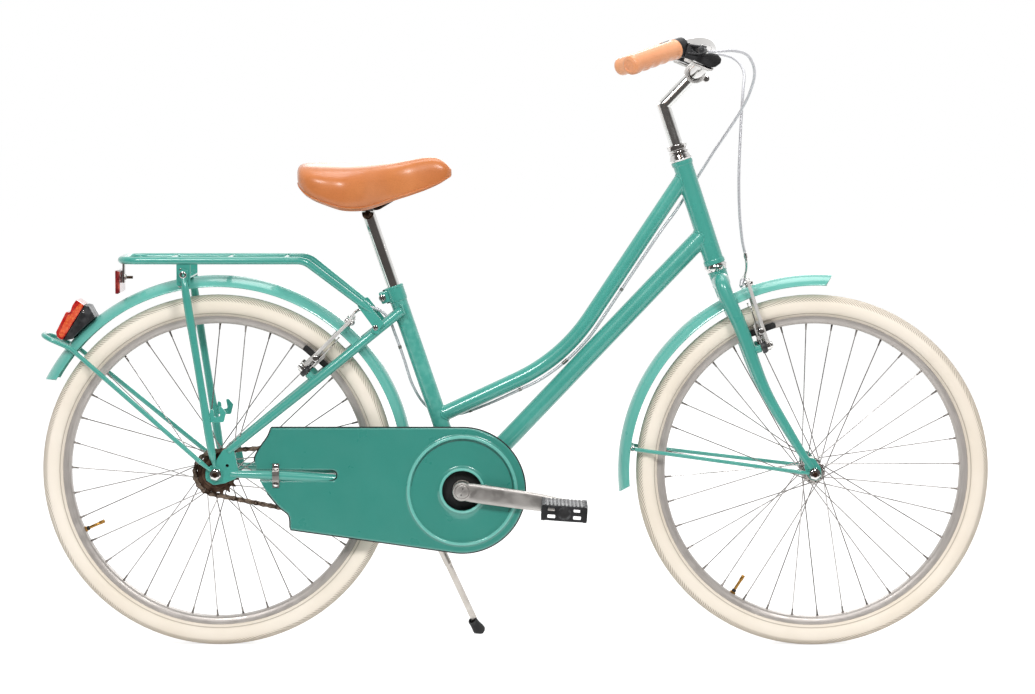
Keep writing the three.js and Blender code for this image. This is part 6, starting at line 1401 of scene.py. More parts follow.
PITCH, LINKS, RING_TEETH, SPROCKET_TEETH = 12.7, 96, 44, 18
RING_STEP, SPROCKET_STEP = 2 * math.pi / RING_TEETH, 2 * math.pi / SPROCKET_TEETH
RING_R, SPROCKET_R = PITCH / 2 / math.sin(RING_STEP / 2), PITCH / 2 / math.sin(SPROCKET_STEP / 2)
CENTRES = (CRANK - REAR).length
WRAP = math.asin((RING_R - SPROCKET_R) / CENTRES)
SPAN = CENTRES * math.cos(WRAP) / PITCH
LEAN = math.atan2(REAR.z - CRANK.z, CRANK.x - REAR.x)
CHAINLINE = -43.0


def chain_pins():
    top, bottom = math.pi / 2 + WRAP - LEAN, -math.pi / 2 - WRAP - LEAN
    ring_arc, sprocket_arc = (math.pi + 2 * WRAP) / RING_STEP, (math.pi - 2 * WRAP) / SPROCKET_STEP
    spot = lambda centre, turn, radius: polar(centre, math.degrees(turn), radius)
    pins = []
    for link in range(LINKS):
        if link <= ring_arc:
            pins.append(spot(CRANK, top - link * RING_STEP, RING_R))
        elif link <= ring_arc + SPAN:
            pins.append(mix(spot(CRANK, bottom, RING_R), spot(REAR, bottom, SPROCKET_R),
                            (link - ring_arc) / SPAN))
        elif link <= ring_arc + SPAN + sprocket_arc:
            pins.append(spot(REAR, bottom - (link - ring_arc - SPAN) * SPROCKET_STEP, SPROCKET_R))
        else:
            pins.append(mix(spot(REAR, top, SPROCKET_R), spot(CRANK, top, RING_R),
                            (link - ring_arc - SPAN - sprocket_arc) / SPAN))
    return pins


def roller_chain():
    """96 links: waisted side plates, alternating inner and outer, with rollers and pins."""
    piece = Piece("roller_chain")
    waist = []
    for k in range(28):
        t = 2 * math.pi * k / 28
        c, h = math.cos(t), 4.1 * math.sin(t)
        s = math.copysign(PITCH / 2, c) + 4.1 * c
        waist.append((s, h) if abs(c) > 0.12 else (0, math.copysign(2.9, h)))
    pins = chain_pins()
    for i, pin in enumerate(pins):
        after = pins[(i + 1) % LINKS]
        run = (after - pin).normalized()
        rise = at(-run.z, 0, run.x)
        middle = (pin + after) / 2
        for side in (-1, 1):
            y = CHAINLINE + side * (3.5 if i % 2 else 2.45)
            piece.put(plate(waist, 1.0, lambda s, t, h: middle + run * s + rise * t + SIDE * (y + h), 0),
                      "chain")
        centre = pin + SIDE * CHAINLINE
        piece.put(lathe([(0, -2.0), (3.8, -2.0), (3.8, 2.0), (0, 2.0)], centre, SIDE, 14), "chain")
        piece.put(lathe([(0, -4.6), (1.5, -4.6), (1.9, -4.2), (1.9, 4.2), (1.5, 4.6), (0, 4.6)], centre,
                        SIDE, 10), "pin")
    piece.ride("frame", "chain", weight=False)


def toothed(teeth, radius, phase):
    out = []
    for tooth in range(teeth):
        for share, reach in ((-0.2, -4.1), (-0.1, -4.5), (0, -4.6), (0.1, -4.5), (0.2, -4.1), (0.32, -1.4),
                             (0.42, 1.7), (0.5, 2.5), (0.58, 1.7), (0.68, -1.4)):
            turn = phase + (tooth + share) * 2 * math.pi / teeth
            out.append(((radius + reach) * math.cos(turn), (radius + reach) * math.sin(turn)))
    return out


def drive_wheels():
    phase = math.pi / 2 + WRAP - LEAN
    ring = Piece("chainring_plate")
    onto = lambda hub: (lambda s, t, h: at(hub.x + s, CHAINLINE + h, hub.z + t))
    holes = [ring2d(0, 0, 9)]
    for k in range(5):
        a0, a1 = k * 72 + 14, k * 72 + 58
        arc = [polar(at(0, 0, 0), a, 62) for a in range(a0, a1 + 1, 4)]
        arc += [polar(at(0, 0, 0), a, 34) for a in range(a1, a0 - 1, -4)]
        holes.append(eased([(p.x, p.z) for p in arc], 3, 3))
    ring.put(plate(toothed(RING_TEETH, RING_R, phase), 3, onto(CRANK), 0.35, holes, 1), "alloy")
    # A dark disc behind the case's hole, painted shade for the inside of the case.
    shade_disc = [(16.4, 2.2), (17.2, 3.4), (38, 3.6), (39, 3.0), (39, 2.2)]
    ring.put(lathe(shade_disc, CRANK + SIDE * CHAINLINE, -SIDE, 48, loop=True), "dark")
    ring.ride("crankset", "chainring", weight=False)
    gear = Piece("freewheel_body")
    start = phase - (SPAN - math.floor(SPAN) - 1) * SPROCKET_STEP
    gear.put(plate(toothed(SPROCKET_TEETH, SPROCKET_R, start), 2.6, onto(REAR), 0.3, [ring2d(0, 0, 12.4)],
                   1), "steel")
    gear.put(lathe([(12.3, 1.4), (26.4, 1.4), (27, 0.8), (27, -1.6), (26, -2.4), (24.5, -2.8), (24.3, -5.4),
                    (23.2, -6.2), (17.4, -6.4),
                    (16.8, -5.6), (15.4, -5.4), (15.0, -7.9), (12.3, -8.1)], REAR + SIDE * CHAINLINE, SIDE,
                   40, loop=True), "steel")
    # Two dark dots on the body's face, painted shade for its holes.
    for k in range(2):
        spot = polar(REAR, 40 + 180 * k, 20.5, CHAINLINE - 6.0)
        gear.put(rod(spot, spot - SIDE * 0.8, 1.8, 14, 0.2), "dark")
    gear.ride("freewheel", "freewheel_sprocket")


roller_chain()
drive_wheels()


# Cranks and pedals

CRANK_RUN = at(math.cos(math.radians(8)), 0, -math.sin(math.radians(8)))


def crank(side):
    """A forged arm: fat boss, waisted and slightly dished arm, eye with the pedal's axle."""
    name = hand(side)
    run = -CRANK_RUN if side > 0 else CRANK_RUN
    across = at(-run.z, 0, run.x)
    piece = Piece(name + "_crank_arm", move=None if side > 0 else flip)
    put = piece.put
    rings = []
    for share, half, thick, y in ((-0.02, 13.0, 6.0, 68), (0.05, 15.2, 6.0, 68), (0.12, 15.8, 5.9, 68.1),
                                  (0.22, 16.0, 5.8, 68.3), (0.4, 15.8, 5.6, 68.4),
                                  (0.6, 15.4, 5.5, 68.3), (0.8, 14.2, 5.6, 68.1), (0.92, 12.4, 5.9, 68),
                                  (1.0, 11.6, 6.0, 68), (1.04, 9.8, 5.6, 68)):
        centre = CRANK + run * (CRANK_LENGTH * share) + SIDE * y
        ring = []
        for k in range(32):
            a = 2 * math.pi * k / 32
            c, s = math.cos(a), math.sin(a)
            c, s = math.copysign(abs(c) ** 0.55, c), math.copysign(abs(s) ** 0.55, s)
            ring.append(centre + across * (half * c) + SIDE * (thick * s))
        rings.append(ring)
    fine = [smooth([ring[k] for ring in rings], 4) for k in range(32)]
    put(skin([[column[i] for column in fine] for i in range(len(fine[0]))]), "crank")
    start = 37.3 if side > 0 else 45.0
    boss = [(8.4, start), (13.0, start), (14.0, start + 1), (15.6, start + 6), (16, start + 9), (16, 72.6),
            (15.2, 73.8), (12.4, 74.4), (11.6, 73.6), (8.4, 73.4)]
    put(lathe(boss, CRANK, SIDE, 48, loop=True), "crank")
    cap = [(0, 72.4), (11.6, 72.4), (11.6, 73.9), (11.2, 74.3), (10.8, 75.3), (9.8, 75.9), (0, 76.2)]
    put(lathe(cap, CRANK, SIDE, 40), "crank")
    # Two dark dots on the cap, painted shade for its pinholes.
    for k in (-1, 1):
        spot = CRANK + SIDE * 75.6 + at(k * 1.5, 0, k * 5.2)
        put(rod(spot, spot + SIDE * 0.9, 1.1, 12, 0.1), "dark")
    eye_centre = CRANK + run * CRANK_LENGTH
    put(lathe([(4.8, 62), (10.8, 62), (12, 63), (12.4, 66), (12.4, 70), (12, 73), (10.8, 74), (4.8, 74)],
              eye_centre, SIDE, 40, loop=True), "crank")
    put(lathe([(0, 62.3), (6.4, 62.3), (6.4, 61.2), (3.2, 61.0), (0, 61.0)], eye_centre, SIDE, 24), "steel")
    put(rod(eye_centre + SIDE * 70, eye_centre + SIDE * 150, 4.4, 20), "chrome")
    put(hexnut(eye_centre + SIDE * 74.2, SIDE, 8.2, 5.2), "chrome")
    piece.ride("crankset", name + "_crank")


def pedal(side):
    """A moulded cage: two toothed treads, ribs between them, a barrel and a dust cap."""
    name = hand(side)
    centre = CRANK - CRANK_RUN * CRANK_LENGTH * side
    tilt = math.radians(4)

    def place(p):
        q = at(p.x * math.cos(tilt) + p.z * math.sin(tilt), p.y,
               p.z * math.cos(tilt) - p.x * math.sin(tilt))
        return (q if side > 0 else flip(q)) + at(centre.x, 0, centre.z)
    piece = Piece(name + "_pedal_cage", move=place)
    put = piece.put
    low, width = 82.0, 90.0
    for edge in (-1, 1):
        outline = []
        for i in range(5):
            for y, z in ((0.04, 0.80), (0.2, 1), (0.58, 1), (0.74, 0.80)):
                outline.append((low + (i + y) / 5 * width, z * 13.5))
        whole = outline + [(y, -z) for y, z in outline[::-1]]
        spans = [(low + (i + 0.12) / 5 * width, low + (i + 0.86) / 5 * width) for i in range(5)]
        slots = [eased([(a, -5), (b, -5), (b, 5), (a, 5)], 2, 2) for a, b in spans]
        put(plate(whole, 7.5, lambda s, t, h: at(edge * 33.6 + h, s, t), 0.9, slots), "black")
        for i in range(5):
            for z in (13.4, -13.4):
                put(box(at(edge * 34.2, low + (i + 0.39) / 5 * width, z), at(6.2, 5.4, 1.4), 0.5), "grey")
    for y, thick in ((low + 4.2, 5.6), (low + 30, 3.4), (low + 60, 3.4), (low + width - 4.2, 5.6)):
        wide = 37.4 if y > low + 80 or y < low + 8 else 13
        rib = eased([(-wide, -12.4), (-11, -12.8), (11, -12.8), (wide, -12.4), (wide, 12.2), (11, 12.8),
                     (-11, 12.8), (-wide, 12.2)], 3.4)
        slots = [eased([(x - 6.4, z - 3), (x + 6.4, z - 3), (x + 6.4, z + 3), (x - 6.4, z + 3)], 1.2,
                       2) for x in (-21, 21) for z in (-5.9, 5.9)]
        slots = slots if wide > 30 else []
        put(plate(rib, thick, lambda s, t, h: at(s, y + h, t), 0.8, slots), "black")
    deck = eased([(-36.5, low + 1), (36.5, low + 1), (36.5, low + width - 1), (-36.5, low + width - 1)], 3)
    put(plate(deck, 2.2, lambda s, t, h: at(s, t, 11.6 + h), 0.5), "black")
    for k in range(11):
        for row in range(8):
            put(box(at(-31 + k * 6.2, low + 7 + row * 10.8, 13.2), at(3.2, 5.6, 1.4), 0.4), "black")
    put(lathe([(4.9, low - 1.5), (9.0, low - 1.5), (9.7, low), (9.7, low + 26), (8.6, low + 32),
               (8.6, low + 60), (9.9, low + 66), (11.2, low + width - 3),
               (11.2, low + width - 1.6), (10.0, low + width - 0.6), (4.9, low + width - 0.5)], at(0, 0, 0),
              SIDE, 32, loop=True), "black")
    put(lathe([(0, low + width - 2), (7.6, low + width - 2), (7.4, low + width - 0.4),
               (4, low + width + 0.3), (0, low + width + 0.4)], at(0, 0, 0), SIDE, 28), "rubber")
    put(lathe([(4.9, low - 3.4), (7.0, low - 3.4), (7.4, low - 2.6), (7.4, low - 1.2), (4.9, low - 1.2)],
              at(0, 0, 0), SIDE, 28, loop=True), "chrome")
    piece.ride(name + "_pedal", name + "_pedal")


Piece("spindle_bar").put(rod(CRANK - SIDE * 70, CRANK + SIDE * 70, 7.9, 32), "satin").ride("crankset",
        "crank_spindle")
for side in (1, -1):
    crank(side)
    pedal(side)


# Chain case and its clip

CASE_LENGTH, CASE_RADIUS = 286, 104.5


def chain_case():
    tail = [(-1.105, 1), (-1.126, 0.86), (-1.163, 0.715), (-1.201, 0.53), (-1.203, 0.4), (-1.17, 0.17),
            (-1.14, -0.01), (-1.06, -0.27), (-1.007, -0.4), (-0.998, -0.625)]
    turns = [mix(-math.pi / 2 - math.radians(8.1), math.pi / 2, i / 64) for i in range(65)]
    arc = [(CASE_RADIUS * math.cos(t), CASE_RADIUS * math.sin(t)) for t in turns]
    corners = [at(x * CASE_LENGTH, z * CASE_RADIUS, 0) for x, z in tail]
    slot_z, half, end = stay_at(CHAIN_STAY, -397).z - CRANK.z, 8.6, -295.2 - CRANK.x
    turns = [math.radians(90 - 15 * k) for k in range(13)]
    notch = [(end - half + half * math.cos(t), slot_z + half * math.sin(t)) for t in turns]
    edge = lambda z: -1.2 * CASE_LENGTH + (0.4 - z / CASE_RADIUS) * 22
    outline = arc + [(p.x, p.y) for p in smooth(corners[:5], 6)[:-3]]
    outline += [(edge(slot_z + half) - 0.5, slot_z + half)] + notch + [(edge(slot_z - half) + 1.5,
            slot_z - half)]
    outline += [(p.x, p.y) for p in smooth(corners[6:], 6)]
    bm = bmesh.new()
    loops = []
    for ring in (outline, ring2d(0, 0, 84.0, 96)):
        verts = [bm.verts.new((s, t, 0)) for s, t in ring]
        loops += [bm.edges.new((a, b)) for a, b in zip(verts, verts[1:] + verts[:1])]
    bmesh.ops.triangle_fill(bm, edges=loops, use_beauty=True)
    outer = loops[:len(outline)]
    grown = bmesh.ops.extrude_edge_only(bm, edges=outer)
    wall = [g for g in grown["geom"] if isinstance(g, bmesh.types.BMVert)]
    bmesh.ops.translate(bm, verts=wall, vec=(0, 0, -19.2))
    bmesh.ops.bevel(bm, geom=outer, offset=3.2, segments=5, profile=0.5, affect="EDGES")
    for v in bm.verts:
        v.co = at(CRANK.x + v.co.x, -58 - v.co.z, CRANK.z + v.co.y)
    # The shell takes the frame's teal painted darker, as painted shade.
    piece = Piece("chain_case_shell").put(from_bmesh(bm), "case")
    hem = [at(CRANK.x + s, -53.6, CRANK.z + t) for s,
           t in outline if CRANK.x + s > -372 or abs(t - slot_z) > 12]
    Piece("chain_case_seam").put(tube(hem + hem[:1], 1.9, 8), "dark").ride("frame", weight=False)
    # The pressed middle: a ridge, a shallow dish and the rolled lip of the hole.
    press = [(84.0, 57.6), (85.6, 58.0), (86.6, 59.4), (87.8, 60.7), (89.4, 61.1), (91.0, 60.7),
             (92.2, 59.4), (93.4, 58.2), (95, 57.95)]
    face = [(33.2, 54.5), (33.0, 60.2), (33.7, 61.2), (35.4, 61.4), (37.6, 60.6), (40.4, 58.6), (43, 57.4),
            (60, 56.8), (80, 57.2)] + press
    points, faces, uvs = lathe(face, CRANK, -SIDE, 96, x=FORWARD)
    # The pressed face takes the same teal painted darker, as painted shade.
    piece.put((points, faces[:-2], uvs[:-2]), "case")
    obj = piece.build(sharp=50, weight=False)
    thick = obj.modifiers.new("Sheet", "SOLIDIFY")
    thick.thickness = 0.0013
    thick.offset = -1
    even = obj.modifiers.new("Even", "WEIGHTED_NORMAL")
    even.keep_sharp = True
    # Painted light on the case: lighter teal strips on the ridge's crest and round the hole's lip are
    # painted highlights; a dark teal line inside the ridge's top is a painted shadow.
    highlight_and_shadow_lines = Piece("chain_case_highlight_and_shadow_lines")
    highlight_and_shadow_lines.put(lathe([(86.9, 60.0), (87.6, 60.8), (88.7, 61.3), (90.1, 61.3), (91.2, 60.8), (91.8, 60.2),
                     (90, 59.6), (88, 59.6)], CRANK, -SIDE, 96, loop=True), "guard")
    highlight_and_shadow_lines.put(lathe([(33.6, 61.2), (34.4, 61.75), (36.2, 61.4), (37.6, 60.9), (36, 60.6), (34.4, 60.6)],
                    CRANK, -SIDE, 72, loop=True), "guard")
    # The painted shadow: a dark line along the inside of the ridge's top.
    marks = [i / 48 for i in range(49)]
    sizes = [1.2 * math.sin(math.pi * max(0.04, min(0.96, t))) ** 0.5 for t in marks]
    highlight_and_shadow_lines.put(tube([polar(CRANK, mix(-25, 175, t), 84.4, -57.9) for t in marks], sizes, 8), "shade")
    highlight_and_shadow_lines.ride("frame", weight=False)
    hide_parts("chain_case")
    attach(obj, "frame")


chain_case()


def case_clip():
    piece = Piece("case_clip_strap")
    m = stay_at(CHAIN_STAY, -397)
    reach, face = m.y + 8.3, 58.3
    path = [at(m.x, -face - 0.8, m.z + 20), at(m.x, -face - 0.8, m.z + 9.6),
            at(m.x, -reach - 0.2, m.z + 9.4), at(m.x, -reach - 0.9, m.z),
            at(m.x, -reach - 0.2, m.z - 9.4), at(m.x, -face - 0.8, m.z - 9.6),
            at(m.x, -face - 0.8, m.z - 20)]
    path = rounded(path, 2.6, 5)
    rings = []
    for p, (t, n, b) in zip(path, frames(path)):
        normal = t.cross(FORWARD).normalized()
        rings.append([p + FORWARD * u + normal * w for u,
                      w in ((-5.6, -0.5), (-5.2, -0.75), (5.2, -0.75), (5.6, -0.5), (5.6, 0.5), (5.2, 0.75),
                            (-5.2, 0.75), (-5.6, 0.5))])
    piece.put(skin(rings), "satin")
    for side in (-1, 1):
        spot = at(m.x, -face - 1.5, m.z + side * 14)
        piece.put(lathe([(0, 0), (4.4, 0), (4.6, 0.6), (4.2, 1.9), (2.6, 2.6), (0, 2.8)], spot, -SIDE, 28),
                  "chrome")
        # A dark bar across each head, painted shade for its slot.
        piece.put(box(spot - SIDE * 2.5, at(7.6, 0.9, 1.1), 0.15, x=at(1, 0, 0.45 * side).normalized(),
                      z=at(-0.45 * side, 0, 1).normalized()), "dark")
    piece.ride("frame", "chain_case_clip")


case_clip()


# Saddle and post

SADDLE_REAR, SADDLE_CROWN = SADDLE_PIVOT.x - 115.1, SADDLE_PIVOT.z + 94.1
SADDLE_LENGTH, SADDLE_DEPTH, SADDLE_HALF = 254, 88, 100
# Each section says its place along the saddle, then its half width, top and lower edge, in shares of those.
SECTIONS = [(0, 0.5, 0.2, 0.42), (0.03, 0.8, 0.13, 0.62), (0.1, 0.95, 0.115, 0.78), (0.2, 1, 0.115, 0.9),
            (0.3, 0.98, 0.12, 0.99),
            (0.42, 0.82, 0.12, 1), (0.52, 0.6, 0.115, 0.93), (0.62, 0.4, 0.1, 0.83),
            (0.72, 0.29, 0.06, 0.74), (0.82, 0.25, 0.01, 0.64),
            (0.9, 0.23, 0.01, 0.54), (0.96, 0.2, 0.1, 0.44), (1, 0.1, 0.24, 0.36)]
HALF = [(0, 0), (0.45, 0.03), (0.78, 0.13), (0.96, 0.34), (1, 0.6), (0.95, 0.88), (0.82, 1)]


def saddle():
    marks = smooth([at(*s[:3]).to_4d() for s in SECTIONS], 5)
    lows = smooth([at(s[0], s[3], 0) for s in SECTIONS], 5)
    rings = []
    half = smooth([at(y, z, 0) for y, z in HALF], 4)
    hem = [(0.80, 1.0), (0.76, 0.985), (0.72, 0.93), (0.4, 0.72), (0, 0.66)]
    for mark, low in zip(marks, lows):
        place, width, top = mark[0], mark[1], mark[2]
        depth = (low.y - top) * SADDLE_DEPTH
        x = SADDLE_REAR + place * SADDLE_LENGTH
        crown = SADDLE_CROWN - top * SADDLE_DEPTH
        side = [(p.x, p.y) for p in half] + hem
        groove = 1.6 * math.exp(-((place - 0.42) / 0.3) ** 2)
        ring = []
        for sign, run in ((1, side), (-1, side[-2:0:-1])):
            for y, z in run:
                dip = groove * math.exp(-(y / 0.12) ** 2) if z < 0.2 else 0
                ring.append(at(x, sign * y * width * SADDLE_HALF, crown - z * depth - dip))
        rings.append(ring)
    piece = Piece("saddle_cover").put(skin(rings), "tan")
    # A sewn welt follows the lower edge, with its stitches above it.
    for sign in (1, -1):
        welt = []
        for mark, low in list(zip(marks, lows))[2:-1]:
            depth = (low.y - mark[2]) * SADDLE_DEPTH
            welt.append(at(SADDLE_REAR + mark[0] * SADDLE_LENGTH, sign * 0.925 * mark[1] * SADDLE_HALF,
                           SADDLE_CROWN - mark[2] * SADDLE_DEPTH - 0.925 * depth))
        piece.put(tube(welt, 1.3, 10, bulge=0.6), "tan")
        length, last = 0.0, welt[0]
        for a, b in zip(welt, welt[1:]):
            length += (b - a).length
            if length > 5.0:
                length = 0.0
                spot, run = b + at(0, sign * 0.4, 3.0), (b - a).normalized()
                stitch = [spot - run * 1.5, spot + at(0, sign * 0.45, 0), spot + run * 1.5]
                piece.put(tube(stitch, 0.42, 6, bulge=0.8), "thread")
    obj = piece.build(sharp=70, weight=False)
    soft = obj.modifiers.new("Smooth", "SUBSURF")
    soft.levels = soft.render_levels = 1
    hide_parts("saddle")
    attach(obj, "saddle")


def saddle_frame():
    rise = lambda share: SADDLE_PIVOT.z + 9 + share * SADDLE_DEPTH
    marks = [at(SADDLE_REAR + 30, 33, rise(0.36)), at(SADDLE_REAR + 62, 22, rise(0.03)),
             at(SADDLE_REAR + 132, 22, rise(0)),
             at(SADDLE_REAR + 207, 7.7, rise(0.515))]
    piece = Piece("saddle_undercarriage")
    piece.both(tube(rounded(marks, 16, 8), 3.4, 20, bulge=0.4), "steel")
    # The moulded pan that the cover is wrapped round.
    rows = []
    for place, width, top, low in SECTIONS[1:-1]:
        x = SADDLE_REAR + place * SADDLE_LENGTH
        depth = (low - top) * SADDLE_DEPTH
        z = SADDLE_CROWN - top * SADDLE_DEPTH - 0.93 * depth
        row = []
        for k in range(9):
            y = mix(-1, 1, k / 8)
            row.append(at(x, y * 0.76 * width * SADDLE_HALF, z + (1 - y * y) * 0.24 * depth))
        rows.append(row + [p - UP * 2.2 for p in row[::-1]])
    piece.put(skin(rows), "black")
    piece.both(rod(SADDLE_PIVOT + SIDE * 13.3, SADDLE_PIVOT + SIDE * 20.3, 9.6, 32, 1.2), "steel")
    piece.both(hexnut(SADDLE_PIVOT + SIDE * 20.3, SIDE, 6.6, 6.0), "steel")
    piece.both(rod(SADDLE_PIVOT + SIDE * 20, SADDLE_PIVOT + SIDE * 29, 3.8, 20), "steel")
    piece.both(box(at(SADDLE_PIVOT.x, 20, SADDLE_PIVOT.z + 9), at(20, 12, 13), 2.4, segments=3), "chrome")
    piece.put(rod(at(SADDLE_REAR + 66, -25.5, rise(0.03)), at(SADDLE_REAR + 66, 25.5, rise(0.03)), 4.2, 20),
              "steel")
    piece.both(box(at(SADDLE_REAR + 30, 30, rise(0.3)), at(13, 13, 15), 2.4, segments=3), "black")
    piece.put(box(at(SADDLE_REAR + 207, 0, rise(0.5)), at(16, 22, 12), 2.4, segments=3), "black")
    piece.ride("saddle", "saddle_rails")
    post = Piece("seat_post_tube")
    post.put(rod(SEAT_TOP - SEAT_UP * 90, SADDLE_PIVOT + SEAT_UP * 9, 11.0, 40, 0.6), "chrome")
    post.put(lathe([(0, -13), (8.2, -13), (9, -12.2), (9, 12.2), (8.2, 13), (0, 13)], SADDLE_PIVOT, SIDE,
                   36), "chrome")
    post.ride("seat_post", "seat_post")


# Side stand

STAND_TILT = math.radians(5)
STAND_AXIS = at(0, math.cos(STAND_TILT), math.sin(STAND_TILT))
STAND_RISE = at(0, -math.sin(STAND_TILT), math.cos(STAND_TILT))
STAND_PIVOT = at(-168.08, 38, 246.295)
STAND_KNEE, STAND_FOOT = at(-100.08, 50, 70), at(-62.08, 103, 5.5)


def side_stand():
    piece = Piece("stand_bracket")
    low = stay_at(CHAIN_STAY, -145.58).z - 8.3
    right = -stay_at(CHAIN_STAY, STAND_PIVOT.x).y
    left = 38 + 8.3 + 6
    piece.put(box(at(STAND_PIVOT.x, (left + right) / 2, low - 3), at(45, left - right, 6), 1.6, segments=3),
              "teal")
    piece.put(screw(at(STAND_PIVOT.x, 0, low - 6), -UP, 7, 5), "chrome")
    height = low - 3 - STAND_PIVOT.z
    for side in (-1, 1):
        centre = STAND_PIVOT + STAND_AXIS * (side * 9.8)
        onto = lambda s, t, h: centre + FORWARD * s + STAND_RISE * t + STAND_AXIS * h
        turns = [math.pi + math.pi * k / 16 for k in range(17)]
        ear = [(-9, height)] + [(9 * math.cos(t), 9 * math.sin(t)) for t in turns] + [(9, height)]
        piece.put(plate(ear, 3, onto, 0.7), "teal")
    piece.put(rod(STAND_PIVOT - STAND_AXIS * 13, STAND_PIVOT + STAND_AXIS * 13, 4, 20), "steel")
    piece.put(hexnut(STAND_PIVOT + STAND_AXIS * 11.4, STAND_AXIS, 7, 4.4), "chrome")
    piece.put(screw(STAND_PIVOT - STAND_AXIS * 11.4, -STAND_AXIS, 6, 3.4), "chrome")
    piece.ride("frame", "kickstand_mount")
    leg = Piece("stand_leg_bar")
    path = rounded([STAND_PIVOT, at(-111, 48, 122),
                    STAND_FOOT + (STAND_KNEE - STAND_FOOT).normalized() * 2], 45, 14)
    radii = [mix(6.6, 5.5, min(1, i / 4)) for i in range(len(path))]
    leg.put(tube(path, radii, 24, bulge=0.3), "alloy")
    leg.put(lathe([(4.4, -8), (8.4, -8), (9, -7.2), (9, 7.2), (8.4, 8), (4.4, 8)], STAND_PIVOT, STAND_AXIS,
                  32, loop=True), "chrome")
    leg.ride("kickstand", "kickstand_leg")
    run = (STAND_KNEE - STAND_FOOT).normalized()
    top = STAND_FOOT + run * 28
    profile = [(0, -2), (9.6, -2), (10.4, -0.6), (10.2, 6), (9.2, 9), (9.3, 12), (8.4, 15), (8.5, 18),
               (7.9, 21), (8.0, 26), (7.4, 28), (5.9, 28.3), (5.9, 20)]
    boot = lathe(profile, STAND_FOOT, run, 32)
    flat = lambda p: at(p.x, p.y, max(p.z, 0.2))
    Piece("stand_boot").put(boot, "rubber", move=flat).ride("kickstand", "kickstand_foot")


saddle()
saddle_frame()
side_stand()


# Cables

REAR_ROUTE = [(352, -150, 992), (378, -118, 984), (391, -84, 958), (386, -48, 925), (372, -14, 892),
              (352, 12, 858), (330, 25, 824),
              (309, 29, 790), (288, 26, 758), (268, 12, 728), (246, 2, 699), (194, 0, 622), (141, 0, 542),
              (124, 0, 518), (104, 0, 496),
              (83, 0, 476), (60, 0, 458), (35, 0, 442), (8, 2, 429), (-50, 10, 402), (-98, 22, 385),
              (-128, 27, 384), (-152, 22, 402),
              (-172, 8, 436), (-186, 0, 480), (-200, 0, 520), (-214, 0, 552), (-236, 0, 566),
              (-252, 4, 564.6)]
FRONT_ROUTE = [(352, 150, 988), (374, 112, 978), (384, 74, 958), (381, 44, 930), (377, 22, 890),
               (374, 10, 840), (372, 4, 780),
               (374, 8, 720), (380, 18, 672), (383.6, 20, 657)]


def cables():
    start = [BARREL_END - BARREL_RUN * 1.5, BARREL_END + BARREL_RUN * 8]
    front = smooth(start + [at(*p) for p in FRONT_ROUTE], 10)
    rear = smooth([flip(p) for p in start] + [at(*p) for p in REAR_ROUTE], 10)
    for name, path in (("front", front), ("rear", rear)):
        Piece(name + "_cable_ferrule_top").put(tube(path[1:9], 3.3, 16, bulge=0.3),
                                               "chrome").ride("cockpit")
    nearest = lambda spot: min(range(len(rear)), key=lambda i: (rear[i] - spot).length)
    middle, lower = nearest(at(352, 12, 858)), nearest(at(246, 2, 699))
    runs = [("front_cable_run", front, "front_brake_cable", "cockpit", "steering", front[0], front[-1]),
            ("rear_cable_loop", rear[:middle + 1], "rear_brake_cable", "cockpit", "steering", rear[0],
             rear[middle]),
            ("rear_cable_head", rear[middle:lower + 1], None, "steering", "frame", rear[middle],
             rear[lower])]
    for name, path, node, a, b, start_point, end_point in runs:
        obj = Piece(name).put(tube(path, 2.5, 14, bulge=0.2), "cable").build(weight=False)
        if node:
            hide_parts(node)
        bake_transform(obj)
    rest = Piece("rear_cable_frame").put(tube(rear[lower:], 2.5, 14, bulge=0.2), "cable")
    rest.ride("frame", weight=False)
    # Clips hold the cable to the tubes.
    clips = Piece("cable_clips")
    for i in range(lower + 12, len(rear) - 12):
        p = rear[i]
        for spot in ((178, 600), (83, 476), (8, 429), (-74, 393), (-193, 500)):
            if abs(p.x - spot[0]) + abs(p.z - spot[1]) < 4.2:
                run = (rear[i + 1] - rear[i - 1]).normalized()
                clips.put(tube([p - run * 2.4, p - run * 1, p + run * 1, p + run * 2.4], 3.1, 18,
                               bulge=0.2), "satin")
                break
    clips.ride("frame")


cables()


# Leftovers: CAD nodes that still show

NODE_PAINT = {"paint": "teal", "chrome": "chrome", "alloy": "alloy", "tyre_rubber": "tread",
              "tan_leather": "tan",
              "black_plastic": "black", "chain_steel": "chain", "red_lens": "lens",
              "cable_housing": "cable"}
slots = {part["node"]: part["material_slot"] for part in frame["record"]["subparts"]}
for name, obj in frame["nodes"].items():
    for slot in obj.material_slots:
        slot.material = MATERIALS[NODE_PAINT[slots[name]]]


# Stage, light and camera

def either(tree, a, b):
    node = new_node(tree, "ShaderNodeMath", operation="MAXIMUM")
    tree.links.new(a, node.inputs[0])
    tree.links.new(b, node.inputs[1])
    return node.outputs[0]


